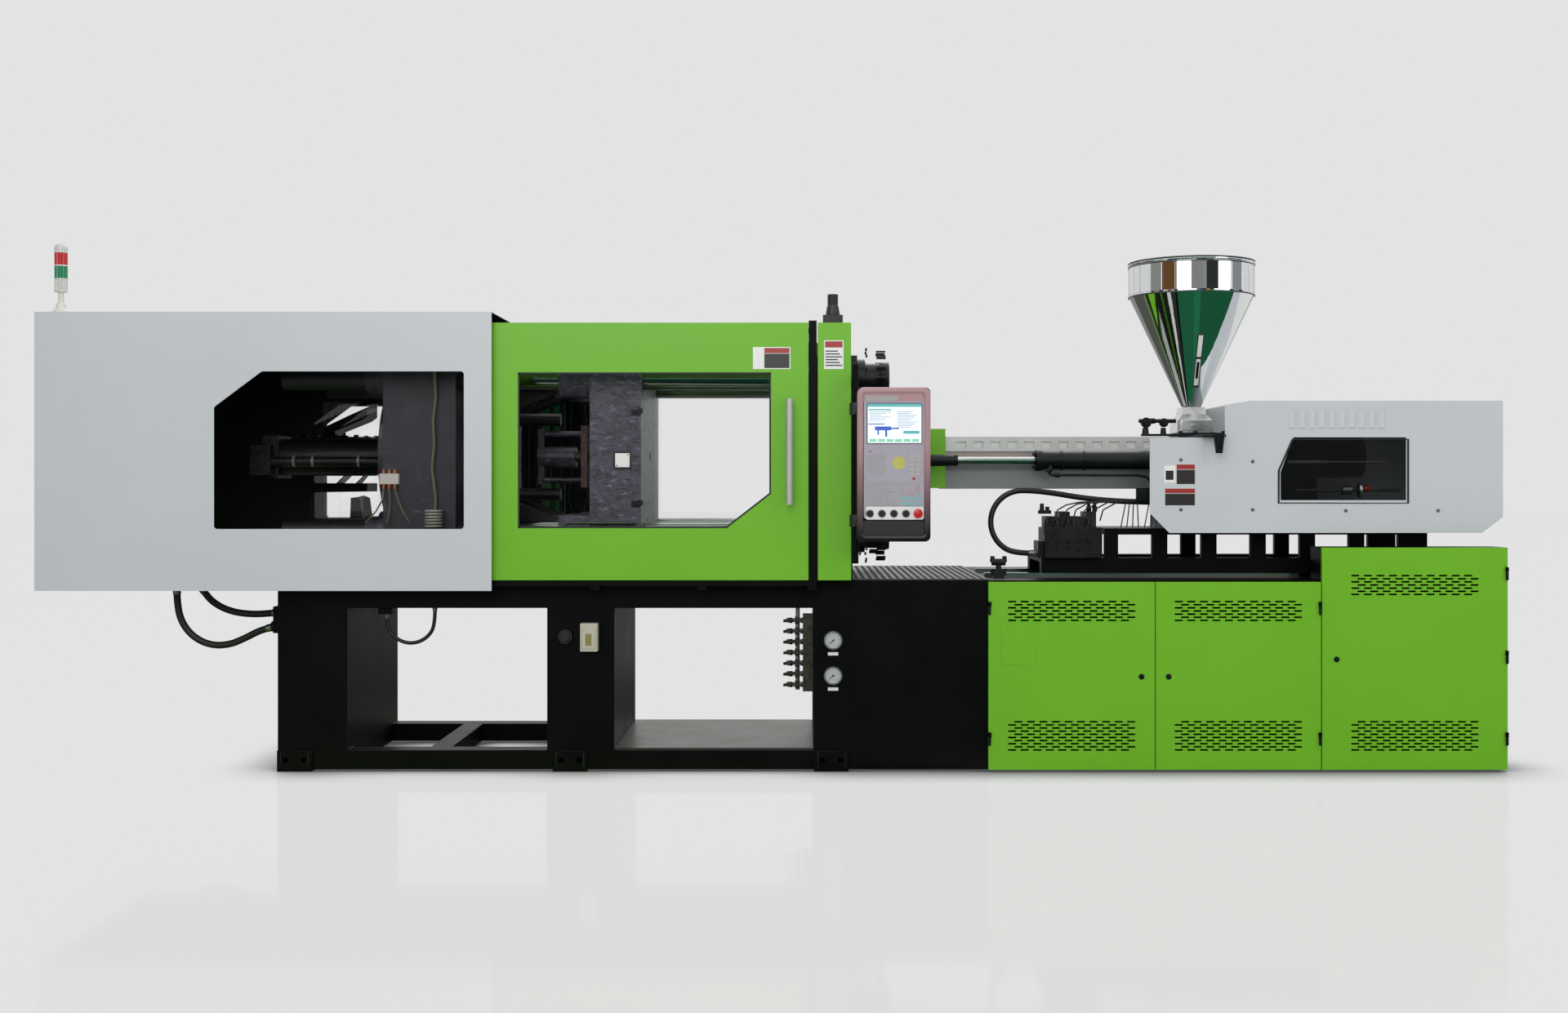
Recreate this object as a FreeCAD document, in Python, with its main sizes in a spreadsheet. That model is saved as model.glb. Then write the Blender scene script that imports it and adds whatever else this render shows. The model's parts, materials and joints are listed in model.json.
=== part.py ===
import FreeCAD, Part
import math
import os
import types

import Sketcher
from FreeCAD import Placement, Rotation, Vector

# Horizontal toggle injection moulding machine, in millimetres.
# +X runs along the machine from the clamp end to the injection end, -Y is the operator's
# side and +Z is up. The origin is on the floor, under the middle of the whole machine.

SIZES = {
    # the whole machine
    "axis_z": 1355.0,
    "operator_reach": 750.0,
    "rear_reach": 750.0,
    # welded base under the clamp
    "base_left": -2155.0,
    "base_join": 295.0,
    "base_half": 450.0,
    "rail_beam": 100.0,
    "deck_z": 819.0,
    "top_beam": 119.0,
    "floor_gap": 9.0,
    "bottom_beam": 82.0,
    "leg_one_width": 298.0,
    "leg_two_left": -1000.0,
    "leg_two_width": 288.0,
    "leg_three_width": 154.0,
    "brace_left": -1520.0,
    "brace_width": 90.0,
    # levelling feet
    "foot_width": 150.0,
    "foot_depth": 110.0,
    "foot_plate": 12.0,
    # base under the injection unit
    "cabinet_left": 2314.0,
    "base_right": 2885.0,
    "base_wall": 10.0,
    "tank_wall_x": 880.0,
    "notch_y": -200.0,
    "plate_thick": 6.0,
    # electrical cabinet
    "cabinet_right": 3108.0,
    "cabinet_top": 960.0,
    "cabinet_head_depth": 140.0,
    # cabinet doors
    "door_proud": 20.0,
    "door_gap": 4.0,
    "door_sheet": 3.0,
    "door_one_left": 892.0,
    "door_one_width": 709.0,
    "door_two_right": 2309.0,
    "door_bottom": 10.0,
    "low_door_top": 813.0,
    "slot_long": 88.0,
    "slot_high": 10.0,
    "slot_pitch_x": 108.0,
    "slot_pitch_z": 26.0,
    "vent_top_drop": 84.0,
    "vent_low_z": 92.0,
    "hinge_pin": 6.0,
    "hinge_long": 34.0,
    "hinge_leaf": 3.0,
    "hinge_gap": 1.0,
    "hinge_inset": 4.0,
    "hinge_low_z": 132.0,
    "hinge_middle_z": 481.0,
    "hinge_high_z": 690.0,
    "hinge_top_z": 838.0,
    "lock_radius": 13.0,
    "lock_z": 408.0,
    # main switch on the cabinet's end
    "switch_z": 306.0,
    "switch_y": -330.0,
    "switch_radius": 30.0,
    "switch_plate": 5.0,
    "switch_knob": 16.0,
    # grey toggle cover
    "cover_left": -3129.0,
    "cover_right": -1210.0,
    "cover_half": 600.0,
    "cover_bottom": 783.0,
    "cover_top": 1955.0,
    "cover_sheet": 3.0,
    "cover_window_left": -2375.0,
    "cover_window_right": -1326.0,
    "cover_window_bottom": 1043.0,
    "cover_window_top": 1705.0,
    "cover_window_cut_x": 200.0,
    "cover_window_cut_z": 150.0,
    "rear_window_left": -2241.0,
    "rear_window_bottom": 1069.0,
    "rear_window_top": 1614.0,
    "rear_window_cut_x": 120.0,
    "rear_window_cut_z": 88.0,
    "window_corner": 14.0,
    # signal tower
    "tower_x": -3043.0,
    "tower_y": -540.0,
    "tower_base_radius": 33.0,
    "tower_base": 40.0,
    "tower_pole_radius": 12.0,
    "tower_pole": 50.0,
    "lamp_radius": 27.0,
    "lamp_high": 52.0,
    "lamp_gap": 5.0,
    "lamp_cap": 36.0,
    # sliding guard doors
    "guard_left": -1290.0,
    "guard_right": 120.0,
    "guard_plane": 565.0,
    "guard_thick": 30.0,
    "guard_sheet": 3.0,
    "guard_bottom": 826.0,
    "guard_top": 1913.0,
    "guard_window_left": -1105.0,
    "guard_window_right": -38.0,
    "guard_window_bottom": 1046.0,
    "guard_window_top": 1703.0,
    "guard_window_cut_x": 186.0,
    "guard_window_cut_z": 145.0,
    "pane_thick": 5.0,
    "pane_lap": 20.0,
    "handle_x": 40.0,
    "handle_radius": 15.0,
    "handle_bottom": 1145.0,
    "handle_long": 445.0,
    "handle_reach": 60.0,
    # guard frame: rails, arms and posts
    "arm_width": 40.0,
    "cover_arm_one": -2110.0,
    "cover_arm_two": -1700.0,
    "cover_arm_three": -1300.0,
    "guard_arm_one": -800.0,
    "guard_arm_two": -350.0,
    "strap_one": -2400.0,
    "strap_two": -1280.0,
    "arm_high": 17.0,
    "guide_left": -2440.0,
    "guide_thick": 15.0,
    "guide_high": 22.0,
    "top_guide_z": 1872.0,
    "post_width": 35.0,
    "post_deep": 65.0,
    "post_top": 1922.0,
    "side_guard_left": 160.0,
    "side_guard_right": 300.0,
    "panel_post_x": 316.0,
    "panel_post_y": -640.0,
    "panel_post_radius": 13.0,
    "panel_post_bottom": 900.0,
    "panel_post_top": 1730.0,
    "panel_arm": 30.0,
    # connector on top of the fixed side guard
    "plug_x": 224.0,
    "plug_collar": 37.0,
    "plug_hood_radius": 30.0,
    "plug_hood": 40.0,
    "plug_cable_radius": 22.0,
    "plug_cable": 50.0,
    # clamp unit
    "platen_half": 430.0,
    "fixed_left": 130.0,
    "fixed_right": 330.0,
    "bar_radius": 50.0,
    "bar_offset": 335.0,
    "bar_left": -2160.0,
    "bar_right": 470.0,
    "bar_play": 0.1,
    "nut_flange_radius": 85.0,
    "nut_flange": 35.0,
    "nut_radius": 66.0,
    "nut_long": 65.0,
    "ring_radius": 72.0,
    "ring_long": 40.0,
    "shoe_half": 30.0,
    "way_high": 20.0,
    "way_left": -2110.0,
    "way_right": 100.0,
    "moving_face": -599.0,
    "moving_plate": 121.0,
    "moving_depth": 221.0,
    "moving_wall": 60.0,
    "bush_radius": 80.0,
    "bush_left": -958.0,
    "tail_left": -1708.0,
    "tail_right": -1396.0,
    "tail_plate": 100.0,
    "pocket_half": 248.0,
    "pocket_up": 335.0,
    "gear_radius": 330.0,
    "gear_hole": 165.0,
    "gear_thick": 48.0,
    "link_slot_up": 390.0,
    "link_slot_deep": 80.0,
    "link_slot_play": 4.0,
    "platen_foot_inset": 20.0,
    "locating_radius": 80.0,
    "locating_deep": 30.0,
    "nozzle_hole": 62.0,
    "bolt_radius": 11.0,
    "bolt_deep": 45.0,
    "bolt_spacing_y": 280.0,
    "bolt_spacing_z": 560.0,
    # toggle linkage, from the machine axis
    "tail_pivot_x": -1330.0,
    "tail_pivot_up": 370.0,
    "open_pivot_gap": 350.0,
    "moving_pivot_up": 320.0,
    "clamp_stroke": 500.0,
    "rear_link_long": 300.0,
    "link_slack": 0.2,
    "ear_reach": 220.0,
    "ear_angle": 25.0,
    "small_link_long": 170.0,
    "crosshead_pin_up": 110.0,
    "eye_radius": 56.0,
    "tail_eye_radius": 60.0,
    "ear_radius": 40.0,
    "pin_radius": 38.0,
    "small_pin_radius": 24.0,
    "pin_play": 0.1,
    "web_half": 38.0,
    "inner_plate_in": 90.0,
    "inner_plate_out": 125.0,
    "rear_link_in": 130.0,
    "rear_link_out": 200.0,
    "outer_plate_in": 205.0,
    "outer_plate_out": 240.0,
    "small_link_in": 46.0,
    "small_link_out": 84.0,
    "crosshead_half": 42.0,
    "crosshead_wide": 84.0,
    "crosshead_up": 212.0,
    "guide_rod_up": 170.0,
    "guide_rod_radius": 28.0,
    "guide_rod_right": -1005.0,
    # clamp cylinder
    "clamp_cylinder_radius": 82.0,
    "clamp_cylinder_left": -2262.0,
    "clamp_head": 72.0,
    "clamp_head_half": 96.0,
    "clamp_rod_radius": 38.0,
    "clamp_rod_left": -2200.0,
    "oil_pipe_radius": 22.0,
    "oil_pipe_y": -120.0,
    "oil_pipe_drop": 22.0,
    # ejector
    "ejector_plate_left": -905.0,
    "ejector_plate": 30.0,
    "ejector_half": 76.0,
    "ejector_up": 140.0,
    "ejector_rod": 22.0,
    "ejector_tip_x": -640.0,
    "ejector_guide_up": 105.0,
    "ejector_guide_radius": 13.0,
    "ejector_cylinder_left": -1105.0,
    "ejector_cylinder_right": -935.0,
    "ejector_cylinder_radius": 48.0,
    "ejector_insert": 160.0,
    # injection unit
    "way_two_half": 20.0,
    "way_two_y": 200.0,
    "way_two_left": 885.0,
    "carriage_left": 1150.0,
    "carriage_right": 2860.0,
    "carriage_rail": 67.0,
    "carriage_wall": 30.0,
    "carriage_web_z": 1008.0,
    "carriage_top": 1036.0,
    "carriage_bay_left": 1492.0,
    "carriage_bay": 150.0,
    "carriage_pitch": 218.0,
    "housing_left": 1740.0,
    "housing_long": 250.0,
    "housing_half": 185.0,
    "housing_bottom": 1036.0,
    "housing_top": 1433.0,
    "barrel_radius": 60.0,
    "barrel_bore": 25.1,
    "barrel_left": 560.0,
    "nozzle_radius": 30.0,
    "nozzle_long": 75.0,
    "nozzle_tip": 14.0,
    "nozzle_tip_long": 35.0,
    "band_thick": 9.0,
    "band_long": 130.0,
    "band_pitch": 190.0,
    "band_left": 600.0,
    "screw_radius": 25.0,
    "screw_tip": 45.0,
    "screw_left": 640.0,
    "thrust_left": 2250.0,
    "thrust_long": 150.0,
    "thrust_half": 120.0,
    "thrust_bottom": 1230.0,
    "drive_radius": 95.0,
    "drive_long": 230.0,
    "shot_cylinder_y": 235.0,
    "shot_cylinder_radius": 48.0,
    "shot_cylinder_long": 210.0,
    "shot_rod_radius": 22.0,
    "shot_stroke": 200.0,
    # guards over the barrel
    "purge_left": 330.0,
    "purge_right": 731.0,
    "purge_half": 170.0,
    "purge_bottom": 1214.0,
    "purge_top": 1478.0,
    "barrel_guard_left": 724.0,
    "barrel_guard_half": 132.0,
    "barrel_guard_bottom": 1211.0,
    "barrel_guard_top": 1444.0,
    "guard_skin": 3.0,
    # seat cylinders
    "seat_y": 250.0,
    "seat_z": 1336.0,
    "seat_rod_radius": 16.0,
    "seat_rod_right": 1240.0,
    "seat_sleeve_radius": 21.0,
    "seat_sleeve_right": 774.0,
    "seat_cylinder_left": 1121.0,
    "seat_cylinder_radius": 40.0,
    "seat_stroke": 250.0,
    # valve manifold
    "manifold_left": 1160.0,
    "manifold_long": 250.0,
    "manifold_front": -262.0,
    "manifold_back": -60.0,
    "manifold_top": 1040.0,
    "valve_size": 46.0,
    "valve_high": 70.0,
    # grey injection cover
    "hood_left": 1594.0,
    "hood_right": 3118.0,
    "hood_rear_left": 1760.0,
    "hood_foot_left": 1774.0,
    "hood_half": 400.0,
    "hood_bottom": 1021.0,
    "hood_low_top": 1433.0,
    "hood_step_x": 1918.0,
    "hood_step_z": 1574.0,
    "hood_top_x": 2028.0,
    "hood_top": 1592.0,
    "hood_cut_left_x": 84.0,
    "hood_cut_left_z": 85.0,
    "hood_cut_right_x": 90.0,
    "hood_cut_right_z": 68.0,
    "hood_sheet": 3.0,
    "hood_window_left": 2158.0,
    "hood_window_right": 2700.0,
    "hood_window_bottom": 1162.0,
    "hood_window_top": 1434.0,
    "hood_window_cut_x": 56.0,
    "hood_window_cut_z": 150.0,
    "louvre_left": 2200.0,
    "louvre_wide": 18.0,
    "louvre_high": 66.0,
    "louvre_pitch": 43.0,
    "louvre_z": 1480.0,
    # hopper
    "hopper_x": 1864.0,
    "hopper_radius": 280.0,
    "hopper_rim_z": 2234.0,
    "hopper_band_z": 2084.0,
    "hopper_neck_z": 1582.0,
    "hopper_neck_radius": 46.0,
    "hopper_wall": 2.5,
    "hopper_bead": 284.0,
    "hopper_bead_high": 14.0,
    "lid_rise": 9.0,
    "lid_knuckle": 5.0,
    "knuckle_in": 20.5,
    "knuckle_out": 40.0,
    "knuckle_inset": 12.0,
    "lid_knuckle_half": 20.0,
    "lid_crown_radius": 60.0,
    "lid_knob_radius": 16.0,
    "lid_knob": 4.0,
    "throat_left": 1784.0,
    "throat_right": 2010.0,
    "throat_half": 105.0,
    "throat_foot": 16.0,
    "drawer_half": 80.0,
    "throat_body_top": 1566.0,
    "gate_thick": 12.0,
    "gate_half": 50.0,
    "gate_front": -436.0,
    "gate_back": 141.0,
    "gate_play": 1.0,
    "gate_grip_z": 1364.0,
    "gate_stroke": 90.0,
    # control panel
    "panel_left": 320.0,
    "panel_right": 623.0,
    "panel_front": -725.0,
    "panel_thick": 60.0,
    "panel_bottom": 994.0,
    "panel_top": 1631.0,
    "panel_corner": 22.0,
    "screen_left": 364.0,
    "screen_wide": 221.0,
    "screen_bottom": 1401.0,
    "screen_high": 161.0,
    "screen_recess": 3.0,
    "knob_radius": 13.0,
    "knob_out": 14.0,
    "knob_z": 1110.0,
    "knob_left": 373.0,
    "knob_pitch": 49.5,
    "stop_radius": 19.0,
    "stop_out": 19.0,
    "stop_stem": 8.0,
    # instruments on the base
    "gauge_x": 226.0,
    "gauge_high_z": 563.0,
    "gauge_drop": 151.0,
    "gauge_radius": 40.0,
    "gauge_thick": 24.0,
    "socket_left": -852.0,
    "socket_wide": 74.0,
    "socket_bottom": 518.0,
    "socket_high": 120.0,
    "socket_thick": 55.0,
    "header_left": 96.0,
    "header_size": 34.0,
    "header_bottom": 340.0,
    "header_high": 334.0,
    "header_y": -430.0,
    "tap_count": 7.0,
    "tap_pitch": 46.0,
    "tap_long": 66.0,
    "tap_size": 12.0,
    # drive inside the injection base
    "pump_x": 1240.0,
    "pump_y": 250.0,
    "pump_z": 330.0,
    "motor_radius": 150.0,
    "motor_long": 480.0,
    "pump_radius": 75.0,
    "pump_long": 260.0,
    "pump_bell": 90.0,
    "pump_bed_half": 160.0,
    "pump_bed_high": 100.0,
    "pump_bed_reach": 60.0,
    "motor_seat_half": 90.0,
    "motor_seat_inset": 40.0,
    # hoses
    "hose_radius": 15.0,
    "small_hose_radius": 8.0,
    "shot_hose_radius": 12.5,
    "outer_hose_y": -330.0,
    "inner_hose_y": -250.0,
    "beam_hose_y": -400.0,
    "carriage_hose_y": -150.0,
    "hose_block": 46.0,
    "port_margin": 35.0,
    "port_low": 585.0,
    "port_high": 700.0,
    "shelf_left": -2660.0,
    "shelf_long": 120.0,
    "shelf_z": 790.0,
    "shelf_thick": 16.0,
    "shelf_arm": 30.0,
    "shelf_arm_near": 270.0,
    "pad_x": -1699.0,
    "pad_half": 30.0,
    "pad_thick": 28.0,
}

doc = FreeCAD.newDocument("InjectionMouldingMachine")
sheet = doc.addObject("Spreadsheet::Sheet", "Sizes")
for row, (alias, number) in enumerate(SIZES.items(), start=1):
    sheet.set(f"A{row}", alias)
    sheet.set(f"B{row}", str(number))
    sheet.setAlias(f"B{row}", alias)
doc.recompute()


class Size(float):
    """A length that also remembers the spreadsheet expression that it comes from."""

    def __new__(cls, number, text):
        size = float.__new__(cls, number)
        size.text = text
        return size

    def __add__(self, other):
        return Size(float(self) + float(other), f"({self.text} + {text_of(other)})")

    def __sub__(self, other):
        return Size(float(self) - float(other), f"({self.text} - {text_of(other)})")

    def __mul__(self, other):
        return Size(float(self) * float(other), f"({self.text} * {text_of(other)})")

    def __truediv__(self, other):
        return Size(float(self) / float(other), f"({self.text} / {text_of(other)})")

    def __radd__(self, other):
        return Size(float(other) + float(self), f"({text_of(other)} + {self.text})")

    def __rsub__(self, other):
        return Size(float(other) - float(self), f"({text_of(other)} - {self.text})")

    def __rmul__(self, other):
        return Size(float(other) * float(self), f"({text_of(other)} * {self.text})")

    def __neg__(self):
        return Size(-float(self), f"(0 - {self.text})")


def text_of(value):
    return value.text if isinstance(value, Size) else f"({float(value):.9g})"


S = types.SimpleNamespace(
    **{alias: Size(number, f"Sizes.{alias}") for alias, number in SIZES.items()}
)

nodes = {}
made = {}


def unique(name):
    made[name] = made.get(name, 0) + 1
    return f"{name}_{made[name]}"


def bind(thing, field, value):
    if isinstance(value, Size):
        thing.setExpression(field, value.text)
    else:
        head, _, tail = field.rpartition(".")
        if head:
            base = thing.Placement.Base
            setattr(base, tail, float(value))
            thing.Placement = Placement(base, thing.Placement.Rotation)
        else:
            setattr(thing, field, float(value))


def put(thing, corner):
    for letter, value in zip("xyz", corner):
        bind(thing, f"Placement.Base.{letter}", value)
    return thing


def block(x, y, z):
    """A box between two coordinates along each axis, as ((x0, x1), (y0, y1), (z0, z1))."""
    thing = doc.addObject("Part::Box", unique("block"))
    for field, (low, high) in zip(("Length", "Width", "Height"), (x, y, z)):
        bind(thing, field, high - low)
    return put(thing, (x[0], y[0], z[0]))


TURNS = {
    "x": Rotation(Vector(0, 1, 0), 90),
    "y": Rotation(Vector(1, 0, 0), -90),
    "z": Rotation(),
}


def rod(along, radius, start, end, across):
    """A round bar along x, y or z, between two coordinates, at the other two in across."""
    thing = doc.addObject("Part::Cylinder", unique("rod"))
    bind(thing, "Radius", radius)
    bind(thing, "Height", end - start)
    thing.Placement = Placement(Vector(), TURNS[along])
    where = list(across)
    where.insert("xyz".index(along), start)
    return put(thing, where)


def taper(along, first, second, start, end, across):
    """A cone frustum along x, y or z, with its first radius at the start."""
    thing = doc.addObject("Part::Cone", unique("taper"))
    bind(thing, "Radius1", first)
    bind(thing, "Radius2", second)
    bind(thing, "Height", end - start)
    thing.Placement = Placement(Vector(), TURNS[along])
    where = list(across)
    where.insert("xyz".index(along), start)
    return put(thing, where)


def join(*things):
    if len(things) == 1:
        return things[0]
    thing = doc.addObject("Part::MultiFuse", unique("join"))
    thing.Shapes = list(things)
    thing.Refine = True
    return thing


def cut(base, *tools):
    thing = doc.addObject("Part::Cut", unique("cut"))
    thing.Base = base
    thing.Tool = tools[0] if len(tools) == 1 else join(*tools)
    return thing


def group(*things):
    thing = doc.addObject("Part::Compound", unique("group"))
    thing.Links = list(things)
    return thing


def node(name, *things):
    """Names a finished sub-part, whose file takes its label."""
    thing = things[0] if len(things) == 1 else group(*things)
    thing.Label = name
    nodes[name] = thing
    return thing


PLANES = {"xz": ("XZ_Plane", 1), "yz": ("YZ_Plane", 0), "xy": ("XY_Plane", 2)}


def draw(sketch, points):
    """A closed outline whose every corner is held by two bound distances."""
    first = sketch.GeometryCount
    corners = [Vector(float(u), float(v), 0) for u, v in points]
    count = len(corners)
    sketch.addGeometry(
        [Part.LineSegment(corners[i], corners[(i + 1) % count]) for i in range(count)]
    )
    rules = [
        Sketcher.Constraint("Coincident", first + i, 2, first + (i + 1) % count, 1)
        for i in range(count)
    ]
    values = []
    for i, (u, v) in enumerate(points):
        rules.append(Sketcher.Constraint("DistanceX", first + i, 1, float(u)))
        rules.append(Sketcher.Constraint("DistanceY", first + i, 1, float(v)))
        values += [u, v]
    added = sketch.addConstraint(rules)
    for rule, value in zip(added[count:], values):
        if isinstance(value, Size):
            sketch.setExpression(f"Constraints[{rule}]", value.text)


def plate(plane, outline, start, end, *windows):
    """A padded outline across x, y or z, between two coordinates, with its openings."""
    body = doc.addObject("PartDesign::Body", unique("plate"))
    role, letter = PLANES[plane]
    sketch = body.newObject("Sketcher::SketchObject", unique("outline"))
    face = [f for f in body.Origin.OriginFeatures if f.Role == role][0]
    sketch.AttachmentSupport = [(face, "")]
    sketch.MapMode = "FlatFace"
    for points in (outline, *windows):
        draw(sketch, points)
    pad = body.newObject("PartDesign::Pad", unique("pad"))
    pad.Profile = sketch
    pad.Reversed = plane == "xz"
    bind(pad, "Length", end - start)
    where = [0.0, 0.0, 0.0]
    where[letter] = start
    return put(body, where)


def soften(body, radius, choose):
    """Rounds the edges of a body's last feature that a test of their middle picks."""
    doc.recompute([body], True)
    tip = body.Tip
    offset = body.Placement.Base
    names = []
    for number, edge in enumerate(tip.Shape.Edges, start=1):
        middle = edge.valueAt((edge.FirstParameter + edge.LastParameter) / 2) + offset
        if choose(edge, middle):
            names.append(f"Edge{number}")
    fillet = body.newObject("PartDesign::Fillet", unique("fillet"))
    fillet.Base = (tip, names)
    bind(fillet, "Radius", radius)
    body.Tip = fillet
    return body


def runs_along(edge, letter):
    """True for a straight edge that is parallel to one axis."""
    if len(edge.Vertexes) < 2:
        return False
    step = edge.Vertexes[1].Point - edge.Vertexes[0].Point
    size = step.Length
    return size > 1e-6 and abs(abs(step["xyz".index(letter)]) - size) < 1e-6


def rectangle(left, right, bottom, top):
    return [(left, bottom), (right, bottom), (right, top), (left, top)]


def both(make):
    """The same piece on the operator's side and, mirrored, on the rear side."""
    return [make(-1), make(1)]


def span(side, near, far):
    """Two coordinates in order, at a side of the machine's middle plane."""
    return (near, far) if side > 0 else (-far, -near)


# ---------------------------------------------------------------- base frames


def clamp_base():
    """Welded base of the clamp: two top beams, two floor beams and three closed legs."""
    floor = (S.floor_gap, S.floor_gap + S.bottom_beam)
    beams = []
    for side in (-1, 1):
        y = span(side, S.base_half - S.rail_beam, S.base_half)
        beams.append(block((S.base_left, S.base_join), y, (S.deck_z - S.top_beam, S.deck_z)))
        beams.append(block((S.base_left, S.base_join), y, floor))
    legs = (
        (S.base_left, S.base_left + S.leg_one_width),
        (S.leg_two_left, S.leg_two_left + S.leg_two_width),
        (S.base_join - S.leg_three_width, S.base_join),
    )
    for leg in legs:
        beams.append(block(leg, (-S.base_half, S.base_half), (S.floor_gap, S.deck_z)))
    brace = (S.brace_left, S.brace_left + S.brace_width)
    inner = S.base_half - S.rail_beam
    beams.append(block(brace, (-inner, inner), floor))
    node("clamp_base", join(*beams))


def hinge_leaf(edge_x, inward, z):
    """Fixed leaf and knuckle beside a door's edge, standing on the door's own knuckle."""
    axis_x = edge_x + S.hinge_inset * inward
    axis_y = -(S.base_half + S.door_proud + S.hinge_pin)
    low = z + S.hinge_long / 2 + S.hinge_gap
    high = low + S.hinge_long * 0.6
    outer = edge_x - (S.hinge_gap + S.hinge_leaf) * inward
    inner = edge_x - S.hinge_gap * inward
    x = (outer, inner) if inward > 0 else (inner, outer)
    reach = (outer, axis_x) if inward > 0 else (axis_x, outer)
    return join(
        block(x, (axis_y - S.hinge_pin / 2, -S.base_half + 0.0), (low, high)),
        block(reach, (axis_y - S.hinge_pin / 2, axis_y + S.hinge_pin / 2), (low, high)),
        rod("z", S.hinge_pin, low, high, (axis_x, axis_y)),
    )


def injection_base():
    """Box of the injection end, with an oil tank at its left and bays behind the doors."""
    wall = S.base_wall
    low, high = S.floor_gap, S.deck_z
    body = join(
        block((S.base_join, S.cabinet_left), (-S.base_half, S.rear_reach), (low, high)),
        block((S.cabinet_left, S.base_right), (S.notch_y, S.rear_reach), (low, high)),
    )
    inner_z = (low + wall, high - wall)
    bay_left = S.tank_wall_x + wall
    bays = join(
        block((bay_left, S.cabinet_left - wall), (-S.base_half + wall, S.rear_reach - wall), inner_z),
        block((S.cabinet_left - wall, S.base_right - wall), (S.notch_y + wall, S.rear_reach - wall), inner_z),
    )
    doorway = [
        block((left, right), (-S.base_half - 1, -S.base_half + wall + 1), (low + 40, high - 40))
        for left, right in (
            (S.door_one_left + 30, S.door_one_left + S.door_one_width - 30),
            (S.door_one_left + S.door_one_width + 34, S.door_two_right - 30),
        )
    ]
    leaves = [
        hinge_leaf(S.door_one_left, 1, z) for z in (S.hinge_low_z, S.hinge_high_z)
    ] + [
        hinge_leaf(S.door_two_right, -1, z) for z in (S.hinge_low_z, S.hinge_high_z)
    ]
    node("injection_base", join(cut(body, bays, *doorway), *leaves))


def levelling_feet():
    """Pads under both bases, each with the bracket that holds it to the beam's face."""
    feet = []
    spots = [
        (S.base_left, S.base_half),
        (S.leg_two_left + 25, S.base_half),
        (S.base_join - S.foot_width - 2, S.base_half),
    ]
    for left, half in spots:
        for side in (-1, 1):
            x = (left, left + S.foot_width)
            pad = block(x, span(side, half - S.foot_depth, half + S.foot_plate), (0.0, S.floor_gap))
            plate_y = span(side, half, half + S.foot_plate)
            bracket = block(x, plate_y, (S.floor_gap, S.floor_gap + S.bottom_beam))
            feet.append(join(pad, bracket))
    for left in (S.tank_wall_x, S.cabinet_left - 300.0, S.base_right - S.foot_width):
        for y in (
            (S.notch_y, S.notch_y + S.foot_depth),
            (S.rear_reach - S.foot_depth, S.rear_reach),
        ):
            feet.append(block((left, left + S.foot_width), y, (0.0, S.floor_gap)))
    node("levelling_feet", *feet)


def deck_plates():
    """Chequer plate between the platen and the injection unit, and the drip tray below."""
    step = block(
        (S.fixed_right - S.platen_foot_inset + 2, S.door_one_left - 2),
        (-S.base_half + 6, S.rear_reach - 10),
        (S.deck_z, S.deck_z + S.plate_thick),
    )
    tray_z = S.floor_gap + S.bottom_beam
    tray = block(
        (S.leg_two_left + S.leg_two_width, S.base_join - S.leg_three_width),
        (-S.base_half + 10, S.base_half - 10),
        (tray_z, tray_z + S.plate_thick),
    )
    node("deck_plates", step, tray)


def electrical_cabinet():
    """Sheet housing at the operator's side of the injection end, open behind its door."""
    wall = S.door_sheet
    front = -S.base_half
    low = (S.cabinet_left, S.cabinet_right)
    body = join(
        block(low, (front, S.notch_y), (S.door_bottom, S.deck_z)),
        block(low, (front, front + S.cabinet_head_depth), (S.deck_z, S.cabinet_top)),
    )
    inside_x = (S.cabinet_left + wall, S.cabinet_right - wall)
    hollow = join(
        block(inside_x, (front - 1, S.notch_y - wall), (S.door_bottom + wall, S.deck_z - wall)),
        block(
            inside_x,
            (front - 1, front + S.cabinet_head_depth - wall),
            (S.deck_z - wall - 1, S.cabinet_top - wall),
        ),
    )
    leaves = []
    for z in (S.hinge_low_z, S.hinge_middle_z, S.hinge_top_z):
        leaves.append(hinge_leaf(S.cabinet_right - S.hinge_gap, -1, z))
        low = z + S.hinge_long / 2 + S.hinge_gap
        leaves.append(
            block(
                (S.cabinet_right - wall, S.cabinet_right + S.hinge_leaf),
                (front, front + 30),
                (low, low + S.hinge_long * 0.6),
            )
        )
    tray = block(
        (S.cabinet_left + 40, S.cabinet_right - 40),
        (S.notch_y - wall - 22, S.notch_y - wall),
        (80.0, 760.0),
    )
    switch = rod(
        "x",
        S.switch_radius + 6,
        S.cabinet_right - 1,
        S.cabinet_right + S.switch_plate,
        (S.switch_y, S.switch_z),
    )
    node("electrical_cabinet", join(cut(body, hollow), tray, switch, *leaves))


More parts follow.
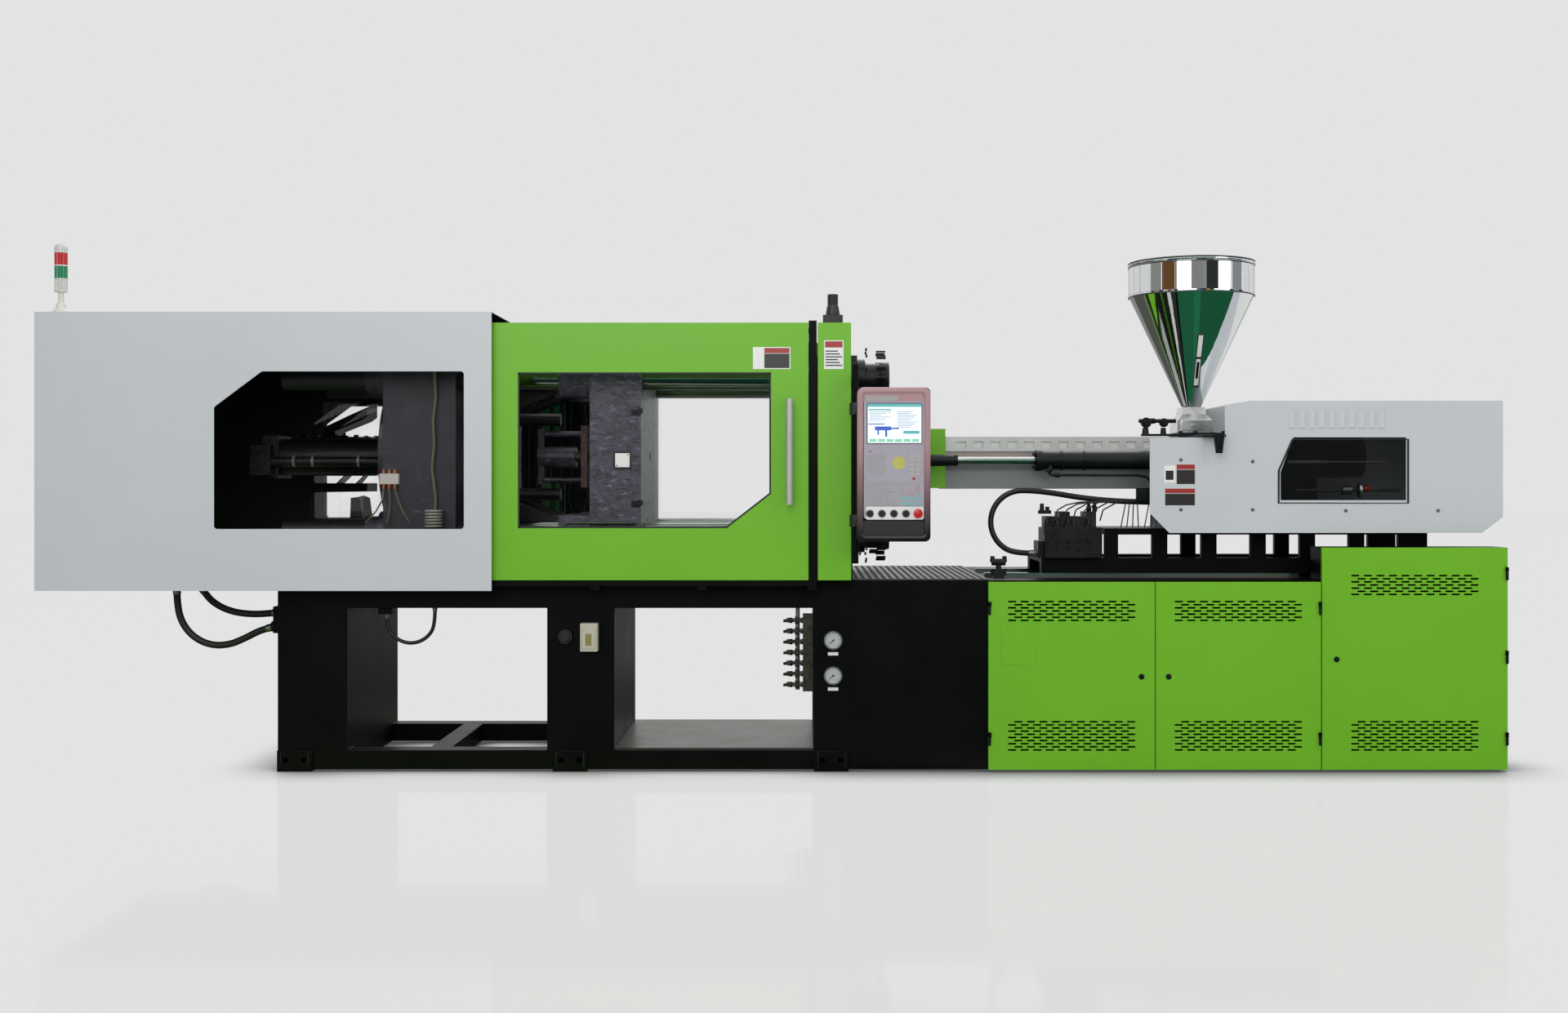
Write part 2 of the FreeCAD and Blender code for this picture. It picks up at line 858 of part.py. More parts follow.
def cabinet_door(name, left, right, top, hinge_side, levels, lock_x, lock_z, vents):
    """Pan of folded sheet with two fields of slots, its hinge knuckles and its lock."""
    front = -S.base_half - S.door_proud
    back = -S.base_half - 1.0
    sheet_y = front + S.door_sheet
    slots = []
    for low_z, rows in vents:
        for i in range(rows):
            z = low_z + i * S.slot_pitch_z
            for j in range(5):
                shift = 0.0 if i % 2 == 0 else S.slot_pitch_x / 4
                x = (left + right) / 2 + (j - 2.1) * S.slot_pitch_x + shift - S.slot_long / 2
                slots.append(
                    block((x, x + S.slot_long), (front - 1, sheet_y + 1), (z, z + S.slot_high))
                )
    skin = block((left, right), (front, sheet_y), (S.door_bottom, top))
    skin = cut(skin, group(*slots))
    frame = plate(
        "xz",
        rectangle(left, right, S.door_bottom, top),
        sheet_y,
        back,
        rectangle(
            left + S.door_sheet, right - S.door_sheet, S.door_bottom + S.door_sheet, top - S.door_sheet
        ),
    )
    axis_x = left + S.hinge_inset if hinge_side < 0 else right - S.hinge_inset
    axis_y = front - S.hinge_pin
    knuckles = []
    for z in levels:
        knuckles.append(
            rod("z", S.hinge_pin, z - S.hinge_long / 2, z + S.hinge_long / 2, (axis_x, axis_y))
        )
    lock = rod("y", S.lock_radius, front - 4.0, sheet_y, (lock_x, lock_z))
    node(name, join(skin, frame, lock, *knuckles))


def cabinet_doors():
    vent_top = S.low_door_top - S.vent_top_drop - 3 * S.slot_pitch_z
    low_vents = ((S.vent_low_z, 5), (vent_top, 4))
    one_right = S.door_one_left + S.door_one_width
    levels = (S.hinge_low_z, S.hinge_high_z)
    cabinet_door(
        "cabinet_door_left", S.door_one_left, one_right, S.low_door_top,
        -1, levels, one_right - 57.0, S.lock_z, low_vents,
    )
    two_left = one_right + S.door_gap
    cabinet_door(
        "cabinet_door_middle", two_left, S.door_two_right, S.low_door_top,
        1, levels, two_left + 55.0, S.lock_z, low_vents,
    )
    high_top = S.cabinet_top - S.vent_top_drop - 30.0 - 3 * S.slot_pitch_z
    three_left = S.cabinet_left + S.door_gap / 2
    cabinet_door(
        "cabinet_door_right", three_left, S.cabinet_right - S.hinge_gap, S.cabinet_top,
        1, (S.hinge_low_z, S.hinge_middle_z, S.hinge_top_z),
        three_left + 62.0, S.lock_z + 74.0, ((S.vent_low_z, 5), (high_top, 4)),
    )


def main_switch():
    """Rotary isolator handle on the cabinet's end."""
    start = S.cabinet_right + S.switch_plate
    disc = rod("x", S.switch_radius, start, start + S.switch_knob / 2, (S.switch_y, S.switch_z))
    grip = block(
        (start, start + S.switch_knob),
        (S.switch_y - 7.0, S.switch_y + 7.0),
        (S.switch_z - S.switch_radius - 6, S.switch_z + S.switch_radius + 6),
    )
    node("main_switch", join(disc, grip))


# ---------------------------------------------------------------- covers and guards


def toggle_cover():
    """Grey sheet cover over the toggle, open below and towards the mould space."""
    front_window = [
        (S.cover_window_left, S.cover_window_bottom),
        (S.cover_window_right, S.cover_window_bottom),
        (S.cover_window_right, S.cover_window_top),
        (S.cover_window_left + S.cover_window_cut_x, S.cover_window_top),
        (S.cover_window_left, S.cover_window_top - S.cover_window_cut_z),
    ]
    rear_window = [
        (S.rear_window_left, S.rear_window_bottom),
        (S.cover_window_right, S.rear_window_bottom),
        (S.cover_window_right, S.rear_window_top),
        (S.rear_window_left + S.rear_window_cut_x, S.rear_window_top),
        (S.rear_window_left, S.rear_window_top - S.rear_window_cut_z),
    ]
    outline = rectangle(S.cover_left, S.cover_right, S.cover_bottom, S.cover_top)

    def side_sheet(side):
        y = span(side, S.cover_half - S.cover_sheet, S.cover_half)
        sheet_body = plate("xz", outline, y[0], y[1], front_window if side < 0 else rear_window)

        def in_window(edge, middle):
            inside = S.cover_left + 1 < middle.x < S.cover_right - 1
            return runs_along(edge, "y") and inside

        return soften(sheet_body, S.window_corner, in_window)

    inner = S.cover_half - S.cover_sheet
    top = block(
        (S.cover_left, S.cover_right), (-inner, inner), (S.cover_top - S.cover_sheet, S.cover_top)
    )
    end = block(
        (S.cover_left, S.cover_left + S.cover_sheet),
        (-inner, inner),
        (S.cover_bottom, S.cover_top - S.cover_sheet),
    )
    node("toggle_cover", *both(side_sheet), top, end)
    lap = S.pane_lap
    panes = [
        block(
            (left - lap, S.cover_window_right + lap),
            span(side, inner - S.pane_thick, inner),
            (bottom - lap, top + lap),
        )
        for side, left, bottom, top in (
            (-1, S.cover_window_left, S.cover_window_bottom, S.cover_window_top),
            (1, S.rear_window_left, S.rear_window_bottom, S.rear_window_top),
        )
    ]
    node("toggle_cover_panes", *panes)


def signal_tower():
    """Foot and pole of the signal tower, and its three lamps and cap."""
    at = (S.tower_x, S.tower_y)
    z = S.cover_top
    foot = join(
        rod("z", S.tower_base_radius, z, z + S.tower_base / 2, at),
        rod("z", S.tower_base_radius * 0.6, z + S.tower_base / 2, z + S.tower_base, at),
        rod("z", S.tower_pole_radius, z + S.tower_base, z + S.tower_base + S.tower_pole, at),
    )
    lamps = [foot]
    low = z + S.tower_base + S.tower_pole
    for i in range(3):
        lamps.append(rod("z", S.lamp_radius, low, low + S.lamp_high, at))
        low = low + S.lamp_high
        if i < 2:
            lamps.append(rod("z", S.lamp_radius * 0.92, low, low + S.lamp_gap, at))
            low = low + S.lamp_gap
    lamps.append(rod("z", S.lamp_radius, low, low + S.lamp_cap, at))
    node("signal_tower", *lamps)


def sliding_guard(side, name, pane_name):
    """Sliding guard door: a folded sheet pan with its window, and the pane behind it."""
    window = [
        (S.guard_window_left, S.guard_window_bottom),
        (S.guard_window_right - S.guard_window_cut_x, S.guard_window_bottom),
        (S.guard_window_right, S.guard_window_bottom + S.guard_window_cut_z),
        (S.guard_window_right, S.guard_window_top),
        (S.guard_window_left, S.guard_window_top),
    ]
    outline = rectangle(S.guard_left, S.guard_right, S.guard_bottom, S.guard_top)
    rim = rectangle(
        S.guard_left + S.guard_sheet,
        S.guard_right - S.guard_sheet,
        S.guard_bottom + S.guard_sheet,
        S.guard_top - S.guard_sheet,
    )
    skin_y = span(side, S.guard_plane - S.guard_sheet, S.guard_plane)
    rim_y = span(side, S.guard_plane - S.guard_thick, S.guard_plane - S.guard_sheet)
    skin = plate("xz", outline, skin_y[0], skin_y[1], window)

    def in_window(edge, middle):
        inside = S.guard_left + 1 < middle.x < S.guard_right - 1
        return runs_along(edge, "y") and inside

    soften(skin, S.window_corner, in_window)
    folded = plate("xz", outline, rim_y[0], rim_y[1], rim)
    lap = S.pane_lap
    pane_y = span(
        side, S.guard_plane - S.guard_sheet - S.pane_thick, S.guard_plane - S.guard_sheet
    )
    pane = block(
        (S.guard_window_left - lap, S.guard_window_right + lap),
        pane_y,
        (S.guard_window_bottom - lap, S.guard_window_top + lap),
    )
    parts = [skin, folded]
    if side > 0:
        parts.append(door_handle(side))
    node(name, join(*parts))
    node(pane_name, pane)


def door_handle(side):
    """Upright tubular handle on two short stand-offs."""
    centre = S.guard_plane + S.handle_reach - S.handle_radius
    y = centre * side
    z0 = S.handle_bottom
    z1 = S.handle_bottom + S.handle_long
    bar = rod("z", S.handle_radius, z0, z1, (S.handle_x, y))
    feet = []
    for z in (z0 + 30, z1 - 30):
        foot_y = span(side, S.guard_plane, centre)
        feet.append(rod("y", S.handle_radius * 0.6, foot_y[0], foot_y[1], (S.handle_x, z)))
    return join(bar, *feet)


def hose_port():
    """Ranges of the block where the oil hoses leave the base's end."""
    return (
        (S.base_left - S.hose_block, S.base_left),
        (S.outer_hose_y - S.port_margin, S.inner_hose_y + S.port_margin),
        (S.port_low, S.port_high),
    )


def hose_shelf():
    """Ranges of the plate under the cover that takes the hoses' upper ends."""
    return (
        (S.shelf_left, S.shelf_left + S.shelf_long),
        (S.outer_hose_y - S.port_margin, S.inner_hose_y + S.port_margin),
        (S.shelf_z, S.shelf_z + S.shelf_thick),
    )


def guard_frame():
    """Black steel: arms, door rails, closing posts, panel post and hose bulkheads."""
    things = []
    arm_z = (S.cover_bottom, S.cover_bottom + S.arm_high)
    arm_top = arm_z[1]
    for side in (-1, 1):
        cover_y = span(side, S.base_half, S.cover_half - S.cover_sheet)
        guard_y = span(side, S.base_half, S.guard_plane)
        for x in (S.cover_arm_one, S.cover_arm_two, S.cover_arm_three):
            things.append(block((x, x + S.arm_width), cover_y, arm_z))
        for x in (S.guard_arm_one, S.guard_arm_two):
            things.append(block((x, x + S.arm_width), guard_y, arm_z))
        things.append(block((S.guard_right - 5, S.guard_right + S.post_width), guard_y, arm_z))
        middle = S.guard_plane - S.guard_thick / 2
        rail_y = span(side, middle - S.guide_thick / 2, middle + S.guide_thick / 2)
        rail_z = (arm_top, arm_top + S.guide_high)
        things.append(block((S.guide_left, S.guard_right + 1), rail_y, rail_z))
        post_y = span(side, S.guard_plane - S.post_deep, S.guard_plane)
        post_x = (S.guard_right + 1, S.guard_right + S.post_width)
        things.append(block(post_x, post_y, (arm_top, S.post_top)))
        guide_y = span(
            side,
            S.guard_plane - S.guard_thick - S.guide_thick - 3,
            S.guard_plane - S.guard_thick - 3,
        )
        guide_top = S.top_guide_z + S.guide_high
        things.append(block((S.guide_left, S.guard_right + 1), guide_y, (S.top_guide_z, guide_top)))
        for x in (S.strap_one, S.strap_two):
            strap_z = (guide_top, S.cover_top - S.cover_sheet)
            things.append(block((x, x + S.arm_width), guide_y, strap_z))
    at = (S.panel_post_x, S.panel_post_y)
    things.append(rod("z", S.panel_post_radius, S.panel_post_bottom, S.panel_post_top, at))
    for z in (S.panel_post_bottom + 40, S.panel_post_top - 70):
        bracket = block(
            (S.side_guard_right + 2, S.fixed_right),
            (S.panel_post_y, -S.platen_half),
            (z, z + S.panel_arm),
        )
        hole = rod("z", S.panel_post_radius, z - 1, z + S.panel_arm + 1, at)
        things.append(cut(bracket, hole))
    things.append(block(*hose_port()))
    shelf = hose_shelf()
    things.append(block(*shelf))
    arm_x = (S.shelf_left + S.shelf_long, S.base_left)
    things.append(block(arm_x, (-S.shelf_arm_near - S.shelf_arm, -S.shelf_arm_near), shelf[2]))
    beam_low = S.deck_z - S.top_beam
    pad_y = (S.beam_hose_y - S.pad_half, S.beam_hose_y + S.pad_half)
    pad_x = (S.pad_x - S.pad_half, S.pad_x + S.pad_half)
    things.append(block(pad_x, pad_y, (beam_low - S.pad_thick, beam_low)))
    node("guard_frame", *things)


def side_guards():
    """Narrow folded guards at both sides of the fixed platen."""
    sheets = []
    for side in (-1, 1):
        front = span(side, S.guard_plane - S.guard_sheet, S.guard_plane)
        returns = span(side, S.platen_half, S.guard_plane - S.guard_sheet)
        z = (S.guard_bottom, S.guard_top)
        left, right = S.side_guard_left, S.side_guard_right
        sheets.append(
            join(
                block((left, right), front, z),
                block((left, left + S.guard_sheet), returns, z),
                block((right - S.guard_sheet, right), returns, z),
                block(
                    (left + S.guard_sheet, right - S.guard_sheet),
                    returns,
                    (S.guard_top - S.guard_sheet, S.guard_top),
                ),
            )
        )
    node("side_guards", *sheets)


def interface_connector():
    """Plug on top of the operator's side guard: collar, flared hood and cable end."""
    at = (S.plug_x, -(S.guard_plane + S.platen_half) / 2)
    z = S.guard_top
    collar = block(
        (S.plug_x - 42.0, S.plug_x + 42.0),
        (at[1] - 30.0, at[1] + 30.0),
        (z, z + S.plug_collar),
    )
    hood = taper(
        "z", S.plug_hood_radius, S.plug_cable_radius + 3,
        z + S.plug_collar, z + S.plug_collar + S.plug_hood, at,
    )
    low = z + S.plug_collar + S.plug_hood
    cable = rod("z", S.plug_cable_radius, low, low + S.plug_cable, at)
    return join(collar, hood, cable)


# ---------------------------------------------------------------- clamp unit


def bar_spots():
    return [
        (S.bar_offset * y_side, S.axis_z + S.bar_offset * z_side)
        for y_side in (-1, 1)
        for z_side in (-1, 1)
    ]


def bar_holes(left, right):
    radius = S.bar_radius + S.bar_play
    return [rod("x", radius, left - 1, right + 1, spot) for spot in bar_spots()]


def bolt_holes(face, side):
    """Tapped holes of the mould face, drilled from the face into the platen."""
    x = (face - S.bolt_deep, face + 1) if side > 0 else (face - 1, face + S.bolt_deep)
    return [
        rod("x", S.bolt_radius, x[0], x[1], (S.bolt_spacing_y * y / 2, S.axis_z + S.bolt_spacing_z * z / 2))
        for y in (-1, 1)
        for z in (-1, 1)
    ]


def fixed_platen():
    """Casting with the tie-bar holes, the locating bore and the nozzle's opening."""
    x = (S.fixed_left, S.fixed_right)
    half = S.platen_half
    slab = block(x, (-half, half), (S.axis_z - half, S.axis_z + half))
    slab_feet = [
        block(
            (S.fixed_left + S.platen_foot_inset, S.fixed_right - S.platen_foot_inset),
            span(side, half - 100, half),
            (S.deck_z, S.axis_z - half),
        )
        for side in (-1, 1)
    ]
    centre = (0.0, S.axis_z)
    holes = [
        rod("x", S.locating_radius, S.fixed_left - 1, S.fixed_left + S.locating_deep, centre),
        rod("x", S.nozzle_hole, S.fixed_left, S.fixed_right, centre),
        taper(
            "x", S.nozzle_hole, S.nozzle_hole + 70,
            S.fixed_left + S.locating_deep + 30, S.fixed_right + 1, centre,
        ),
    ]
    holes += bar_holes(S.fixed_left, S.fixed_right)
    holes += bolt_holes(S.fixed_left, -1)
    node("fixed_platen", cut(join(slab, *slab_feet), *holes))


def tie_bars():
    node(
        "tie_bars",
        *[rod("x", S.bar_radius, S.bar_left, S.bar_right, spot) for spot in bar_spots()],
    )


def tie_bar_nuts():
    """Flange, nut and end ring on each tie bar, outside the fixed platen."""
    nuts = []
    for spot in bar_spots():
        flange_end = S.fixed_right + S.nut_flange
        nut_end = flange_end + S.nut_long
        nut = join(
            rod("x", S.nut_flange_radius, S.fixed_right, flange_end, spot),
            rod("x", S.nut_radius, flange_end, nut_end, spot),
            rod("x", S.ring_radius, nut_end, nut_end + S.ring_long, spot),
        )
        bore = rod("x", S.bar_radius + S.bar_play, S.fixed_right - 1, S.bar_right + 20, spot)
        nuts.append(cut(nut, bore))
    node("tie_bar_nuts", *nuts)


def slide_rails():
    """Hardened ways under the platens and ground rails under the injection carriage."""
    rails = []
    for side in (-1, 1):
        rails.append(
            block(
                (S.way_left, S.way_right),
                span(side, S.platen_half - 2 * S.shoe_half - 5, S.platen_half + 5),
                (S.deck_z, S.deck_z + S.way_high),
            )
        )
        rails.append(
            block(
                (S.way_two_left + 15, S.carriage_right + 10),
                span(side, S.way_two_y - S.way_two_half, S.way_two_y + S.way_two_half),
                (S.deck_z, S.deck_z + S.way_high),
            )
        )
    node("slide_rails", *rails)


def pivot_lug(y, start_x, pivot_x, pivot_z, radius):
    """An arm of a platen that ends in a round eye at a pivot."""
    low, high = pivot_z - radius, pivot_z + radius
    x = (start_x, pivot_x) if float(start_x) < float(pivot_x) else (pivot_x, start_x)
    return join(block(x, y, (low, high)), rod("y", radius, y[0], y[1], (pivot_x, pivot_z)))


def pin_through(pivot_x, pivot_z, radius, y):
    return rod("y", radius, y[0], y[1], (pivot_x, pivot_z))


def tail_platen():
    """Box casting at the clamp end, with the pivot lugs, pins and adjusting nuts."""
    half = S.platen_half
    z = (S.axis_z - half, S.axis_z + half)
    slab = block((S.tail_left, S.tail_right), (-half, half), z)
    shoes = [
        block(
            (S.tail_left, S.tail_right),
            span(side, half - 2 * S.shoe_half, half),
            (S.deck_z + S.way_high, S.axis_z - half),
        )
        for side in (-1, 1)
    ]
    pocket = block(
        (S.tail_left + S.tail_plate, S.tail_right + 1),
        (-S.pocket_half, S.pocket_half),
        (S.axis_z - S.pocket_up, S.axis_z + S.pocket_up),
    )
    rod_bore = rod(
        "x", S.clamp_rod_radius + 1, S.tail_left - 1, S.tail_left + S.tail_plate + 1, (0.0, S.axis_z)
    )
    slots = [
        block(
            (S.tail_right - S.link_slot_deep, S.tail_right + 1),
            span(side, S.rear_link_in - S.link_slot_play, S.rear_link_out + S.link_slot_play),
            (S.axis_z - S.link_slot_up, S.axis_z + S.link_slot_up),
        )
        for side in (-1, 1)
    ]
    holes = bar_holes(S.tail_left, S.tail_right)
    body = cut(join(slab, *shoes), pocket, rod_bore, *slots, *holes)
    extras = []
    for z_side in (-1, 1):
        pivot_z = S.axis_z + S.tail_pivot_up * z_side
        for side in (-1, 1):
            for slab_y in (
                (S.inner_plate_in, S.inner_plate_out),
                (S.outer_plate_in, S.outer_plate_out),
            ):
                y = span(side, *slab_y)
                extras.append(
                    pivot_lug(y, S.tail_right - 5, S.tail_pivot_x, pivot_z, S.tail_eye_radius)
                )
            pin_y = span(side, S.inner_plate_in - 4, S.outer_plate_out + 4)
            extras.append(pin_through(S.tail_pivot_x, pivot_z, S.pin_radius, pin_y))
    nuts = []
    for spot in bar_spots():
        nut = join(
            rod("x", S.nut_flange_radius + 8, S.tail_left - 30, S.tail_left, spot),
            rod("x", S.nut_radius + 6, S.tail_left - 85, S.tail_left - 30, spot),
        )
        bore = rod("x", S.bar_radius + S.bar_play, S.tail_left - 90, S.tail_left + 1, spot)
        nuts.append(cut(nut, bore))
    gear_x = (S.tail_left - S.gear_thick, S.tail_left)
    centre = (0.0, S.axis_z)
    gear = cut(
        rod("x", S.gear_radius, *gear_x, centre),
        rod("x", S.gear_hole, gear_x[0] - 1, gear_x[1] + 1, centre),
    )
    node("tail_platen", join(body, *extras, *nuts, gear))


def clamp_cylinder():
    """Clamp cylinder behind the tail platen, with its head block and oil pipe."""
    centre = (0.0, S.axis_z)
    head_left = S.clamp_cylinder_left - S.clamp_head
    tube = rod("x", S.clamp_cylinder_radius, S.clamp_cylinder_left, S.tail_left, centre)
    square = S.clamp_head_half
    head = block(
        (head_left, S.clamp_cylinder_left), (-square, square), (S.axis_z - square, S.axis_z + square)
    )
    collar = block(
        (S.tail_left - 40, S.tail_left), (-square, square), (S.axis_z - square, S.axis_z + square)
    )
    pipe_at = (S.oil_pipe_y, S.axis_z - S.oil_pipe_drop)
    pipe = rod("x", S.oil_pipe_radius, head_left + 20, S.tail_left - 20, pipe_at)
    ports = [
        block(
            (x, x + 40),
            (S.oil_pipe_y - S.oil_pipe_radius - 6, -square + 1),
            (pipe_at[1] - S.oil_pipe_radius - 6, pipe_at[1] + S.oil_pipe_radius + 6),
        )
        for x in (head_left, S.tail_left - 40)
    ]
    bore = rod("x", S.clamp_rod_radius + 1, S.clamp_rod_left - 10, S.tail_left + 1, centre)
    node("clamp_cylinder", cut(join(tube, head, collar, pipe, *ports), bore))


def toggle_geometry():
    """Rest and closed positions of the linkage, worked out from its driving lengths."""
    tail = (float(S.tail_pivot_x), float(S.tail_pivot_up))
    moving = (tail[0] + float(S.open_pivot_gap), float(S.moving_pivot_up))
    shut_x = moving[0] + float(S.clamp_stroke)
    reach = math.hypot(shut_x - tail[0], moving[1] - tail[1]) + float(S.link_slack)
    rear = float(S.rear_link_long)
    front = reach - rear

    def angles(pivot_x):
        run = pivot_x - tail[0]
        rise = moving[1] - tail[1]
        base = math.hypot(run, rise)
        lean = math.acos((rear**2 + base**2 - front**2) / (2 * rear * base))
        rear_angle = math.atan2(rise, run) - lean
        knee = (tail[0] + rear * math.cos(rear_angle), tail[1] + rear * math.sin(rear_angle))
        front_angle = math.atan2(moving[1] - knee[1], pivot_x - knee[0])
        ear_angle = rear_angle - math.radians(float(S.ear_angle))
        ear = (
            tail[0] + float(S.ear_reach) * math.cos(ear_angle),
            tail[1] + float(S.ear_reach) * math.sin(ear_angle),
        )
        drop = ear[1] - float(S.crosshead_pin_up)
        run = math.sqrt(float(S.small_link_long) ** 2 - drop**2)
        cross_x = ear[0] + run
        small_angle = math.atan2(drop, -run)
        return types.SimpleNamespace(
            rear=rear_angle, knee=knee, front=front_angle, ear=ear, cross_x=cross_x, small=small_angle
        )

    return types.SimpleNamespace(
        tail=tail, moving=moving, front_long=front, rest=angles(moving[0]), shut=angles(shut_x)
    )


TOGGLE = toggle_geometry()


def link_plate(y, length, first_radius, second_radius, hole, *more):
    """One plate of a link: two round eyes and the web between them, along +X from 0."""
    web = (0.0, length) if length > 0 else (length, 0.0)
    pieces = [
        rod("y", first_radius, y[0], y[1], (0.0, 0.0)),
        rod("y", second_radius, y[0], y[1], (length, 0.0)),
        block(web, y, (-S.web_half, S.web_half)),
        *more,
    ]
    return cut(join(*pieces), rod("y", hole, y[0] - 1, y[1] + 1, (0.0, 0.0)))


def swing(thing, x, z, angle, flip):
    """Turns a link about Y to its rest angle and, for a lower link, mirrors it."""
    turn = Rotation(Vector(0, 1, 0), -math.degrees(angle))
    if flip:
        turn = Rotation(Vector(0, 1, 0), math.degrees(angle)).multiply(Rotation(Vector(1, 0, 0), 180))
    thing.Placement = Placement(Vector(x, 0, float(S.axis_z) + (-z if flip else z)), turn)
    return thing


def toggle_links():
    """Rear, front and crosshead links, upper and lower, each a pair across the machine."""
    rest = TOGGLE.rest
    ear_angle = -math.radians(float(S.ear_angle))
    for level, flip in (("upper", False), ("lower", True)):
        rear, front, small = [], [], []
        for side in (-1, 1):
            y = span(side, S.rear_link_in, S.rear_link_out)
            ear_x = float(S.ear_reach) * math.cos(ear_angle)
            ear_z = float(S.ear_reach) * math.sin(ear_angle)
            ear = rod("y", S.ear_radius, y[0], y[1], (ear_x, ear_z))
            arm = plate(
                "xz",
                [(0.0, -50.0), (ear_x - 5.0, ear_z - 38.0), (ear_x + 30.0, ear_z + 20.0), (60.0, 20.0)],
                y[0],
                y[1],
            )
            rear.append(
                link_plate(
                    y, S.rear_link_long, S.tail_eye_radius - 2, S.eye_radius,
                    S.pin_radius + S.pin_play, ear, arm,
                )
            )
            for slab in (
                (S.inner_plate_in, S.inner_plate_out),
                (S.outer_plate_in, S.outer_plate_out),
            ):
                fy = span(side, *slab)
                boss_y = span(side, slab[0] - 2, slab[1] + 3)
                boss = rod("y", S.pin_radius, boss_y[0], boss_y[1], (-TOGGLE.front_long, 0.0))
                front.append(
                    link_plate(
                        fy, -TOGGLE.front_long, S.eye_radius - 2, S.eye_radius - 2,
                        S.pin_radius + S.pin_play, boss,
                    )
                )
            sy = span(side, S.small_link_in, S.small_link_out)
            small.append(
                link_plate(
                    sy, S.small_link_long, S.ear_radius - 2, S.ear_radius - 4,
                    S.small_pin_radius + S.pin_play,
                )
            )
        swing(node(f"rear_link_{level}", *rear), *TOGGLE.tail, rest.rear, flip)
        swing(node(f"front_link_{level}", *front), *TOGGLE.moving, rest.front, flip)
        small_at = (rest.cross_x, float(S.crosshead_pin_up))
        swing(node(f"crosshead_link_{level}", *small), *small_at, rest.small, flip)


def crosshead():
    """Crosshead plate with its trunnion pins, on two guide rods."""
    x = TOGGLE.rest.cross_x
    half = S.crosshead_wide / 2
    low = (x - half, x + half)
    body = block(
        low,
        (-S.crosshead_half, S.crosshead_half),
        (S.axis_z - S.crosshead_up, S.axis_z + S.crosshead_up),
    )
    holes = [
        rod("x", S.guide_rod_radius + S.bar_play, low[0] - 1, low[1] + 1, (0.0, S.axis_z + up))
        for up in (S.guide_rod_up, -S.guide_rod_up)
    ]
    pins = [
        rod("y", S.small_pin_radius, -S.small_link_out - 3, S.small_link_out + 3, (x, S.axis_z + up))
        for up in (S.crosshead_pin_up, -S.crosshead_pin_up)
    ]
    piston = rod("x", S.clamp_rod_radius, S.clamp_rod_left, low[0], (0.0, S.axis_z))
    node("crosshead", join(cut(body, *holes), *pins, piston))
    rods = [
        rod(
            "x", S.guide_rod_radius, S.tail_left + S.tail_plate, S.guide_rod_right, (0.0, S.axis_z + up)
        )
        for up in (S.guide_rod_up, -S.guide_rod_up)
    ]
    node("crosshead_guide_rods", *rods)


def moving_platen():
    """Moving platen: mould plate, side walls, tie-bar bushes, link lugs and pins."""
    half = S.platen_half
    face = S.moving_face
    plate_left = face - S.moving_plate
    z = (S.axis_z - half, S.axis_z + half)
    slab = block((plate_left, face), (-half, half), z)
    walls = [
        block(
            (face - S.moving_depth, face),
            span(side, half - S.moving_wall, half),
            (S.deck_z + S.way_high, S.axis_z + half),
        )
        for side in (-1, 1)
    ]
    bushes = [rod("x", S.bush_radius, S.bush_left, plate_left, spot) for spot in bar_spots()]
    lugs = []
    pins = []
    pivot_x = S.tail_pivot_x + S.open_pivot_gap
    for z_side in (-1, 1):
        pivot_z = S.axis_z + S.moving_pivot_up * z_side
        for side in (-1, 1):
            y = span(side, S.rear_link_in, S.rear_link_out)
            lugs.append(pivot_lug(y, plate_left + 5, pivot_x, pivot_z, S.tail_eye_radius))
            pin_y = span(side, S.inner_plate_in - 4, S.outer_plate_out + 4)
            pins.append(pin_through(pivot_x, pivot_z, S.pin_radius, pin_y))
    centre = (0.0, S.axis_z)
    guides = []
    for up in (S.ejector_guide_up, -S.ejector_guide_up):
        guides.append(
            rod(
                "x", S.ejector_guide_radius, S.ejector_cylinder_left, plate_left + 5, (0.0, S.axis_z + up)
            )
        )
    flange = block(
        (S.ejector_cylinder_left, S.ejector_cylinder_left + 20),
        (-30.0, 30.0),
        (S.axis_z - S.ejector_guide_up - 20, S.axis_z + S.ejector_guide_up + 20),
    )
    tube = rod(
        "x", S.ejector_cylinder_radius, S.ejector_cylinder_left, S.ejector_cylinder_right, centre
    )
    bore = rod(
        "x", S.ejector_rod + 1,
        S.ejector_plate_left - S.ejector_insert - 10, S.ejector_cylinder_right + 1, centre,
    )
    ejector_hole = rod("x", S.ejector_rod + 1, plate_left - 1, face + 1, centre)
    holes = bar_holes(S.bush_left, face) + bolt_holes(face, 1) + [ejector_hole]
    body = cut(join(slab, *walls, *bushes), *holes)
    ejector_unit = cut(join(flange, tube), bore)
    node("moving_platen", join(body, ejector_unit, *guides, *lugs, *pins))


def ejector():
    """Ejector plate that slides on its two guides, with its rod through the platen."""
    left = S.ejector_plate_left
    right = left + S.ejector_plate
    body = block(
        (left, right), (-S.ejector_half, S.ejector_half), (S.axis_z - S.ejector_up, S.axis_z + S.ejector_up)
    )
    holes = [
        rod("x", S.ejector_guide_radius + S.bar_play, left - 1, right + 1, (0.0, S.axis_z + up))
        for up in (S.ejector_guide_up, -S.ejector_guide_up)
    ]
    push = rod("x", S.ejector_rod, left - S.ejector_insert, S.ejector_tip_x, (0.0, S.axis_z))
    node("ejector_plate", join(cut(body, *holes), push))


# ---------------------------------------------------------------- injection unit


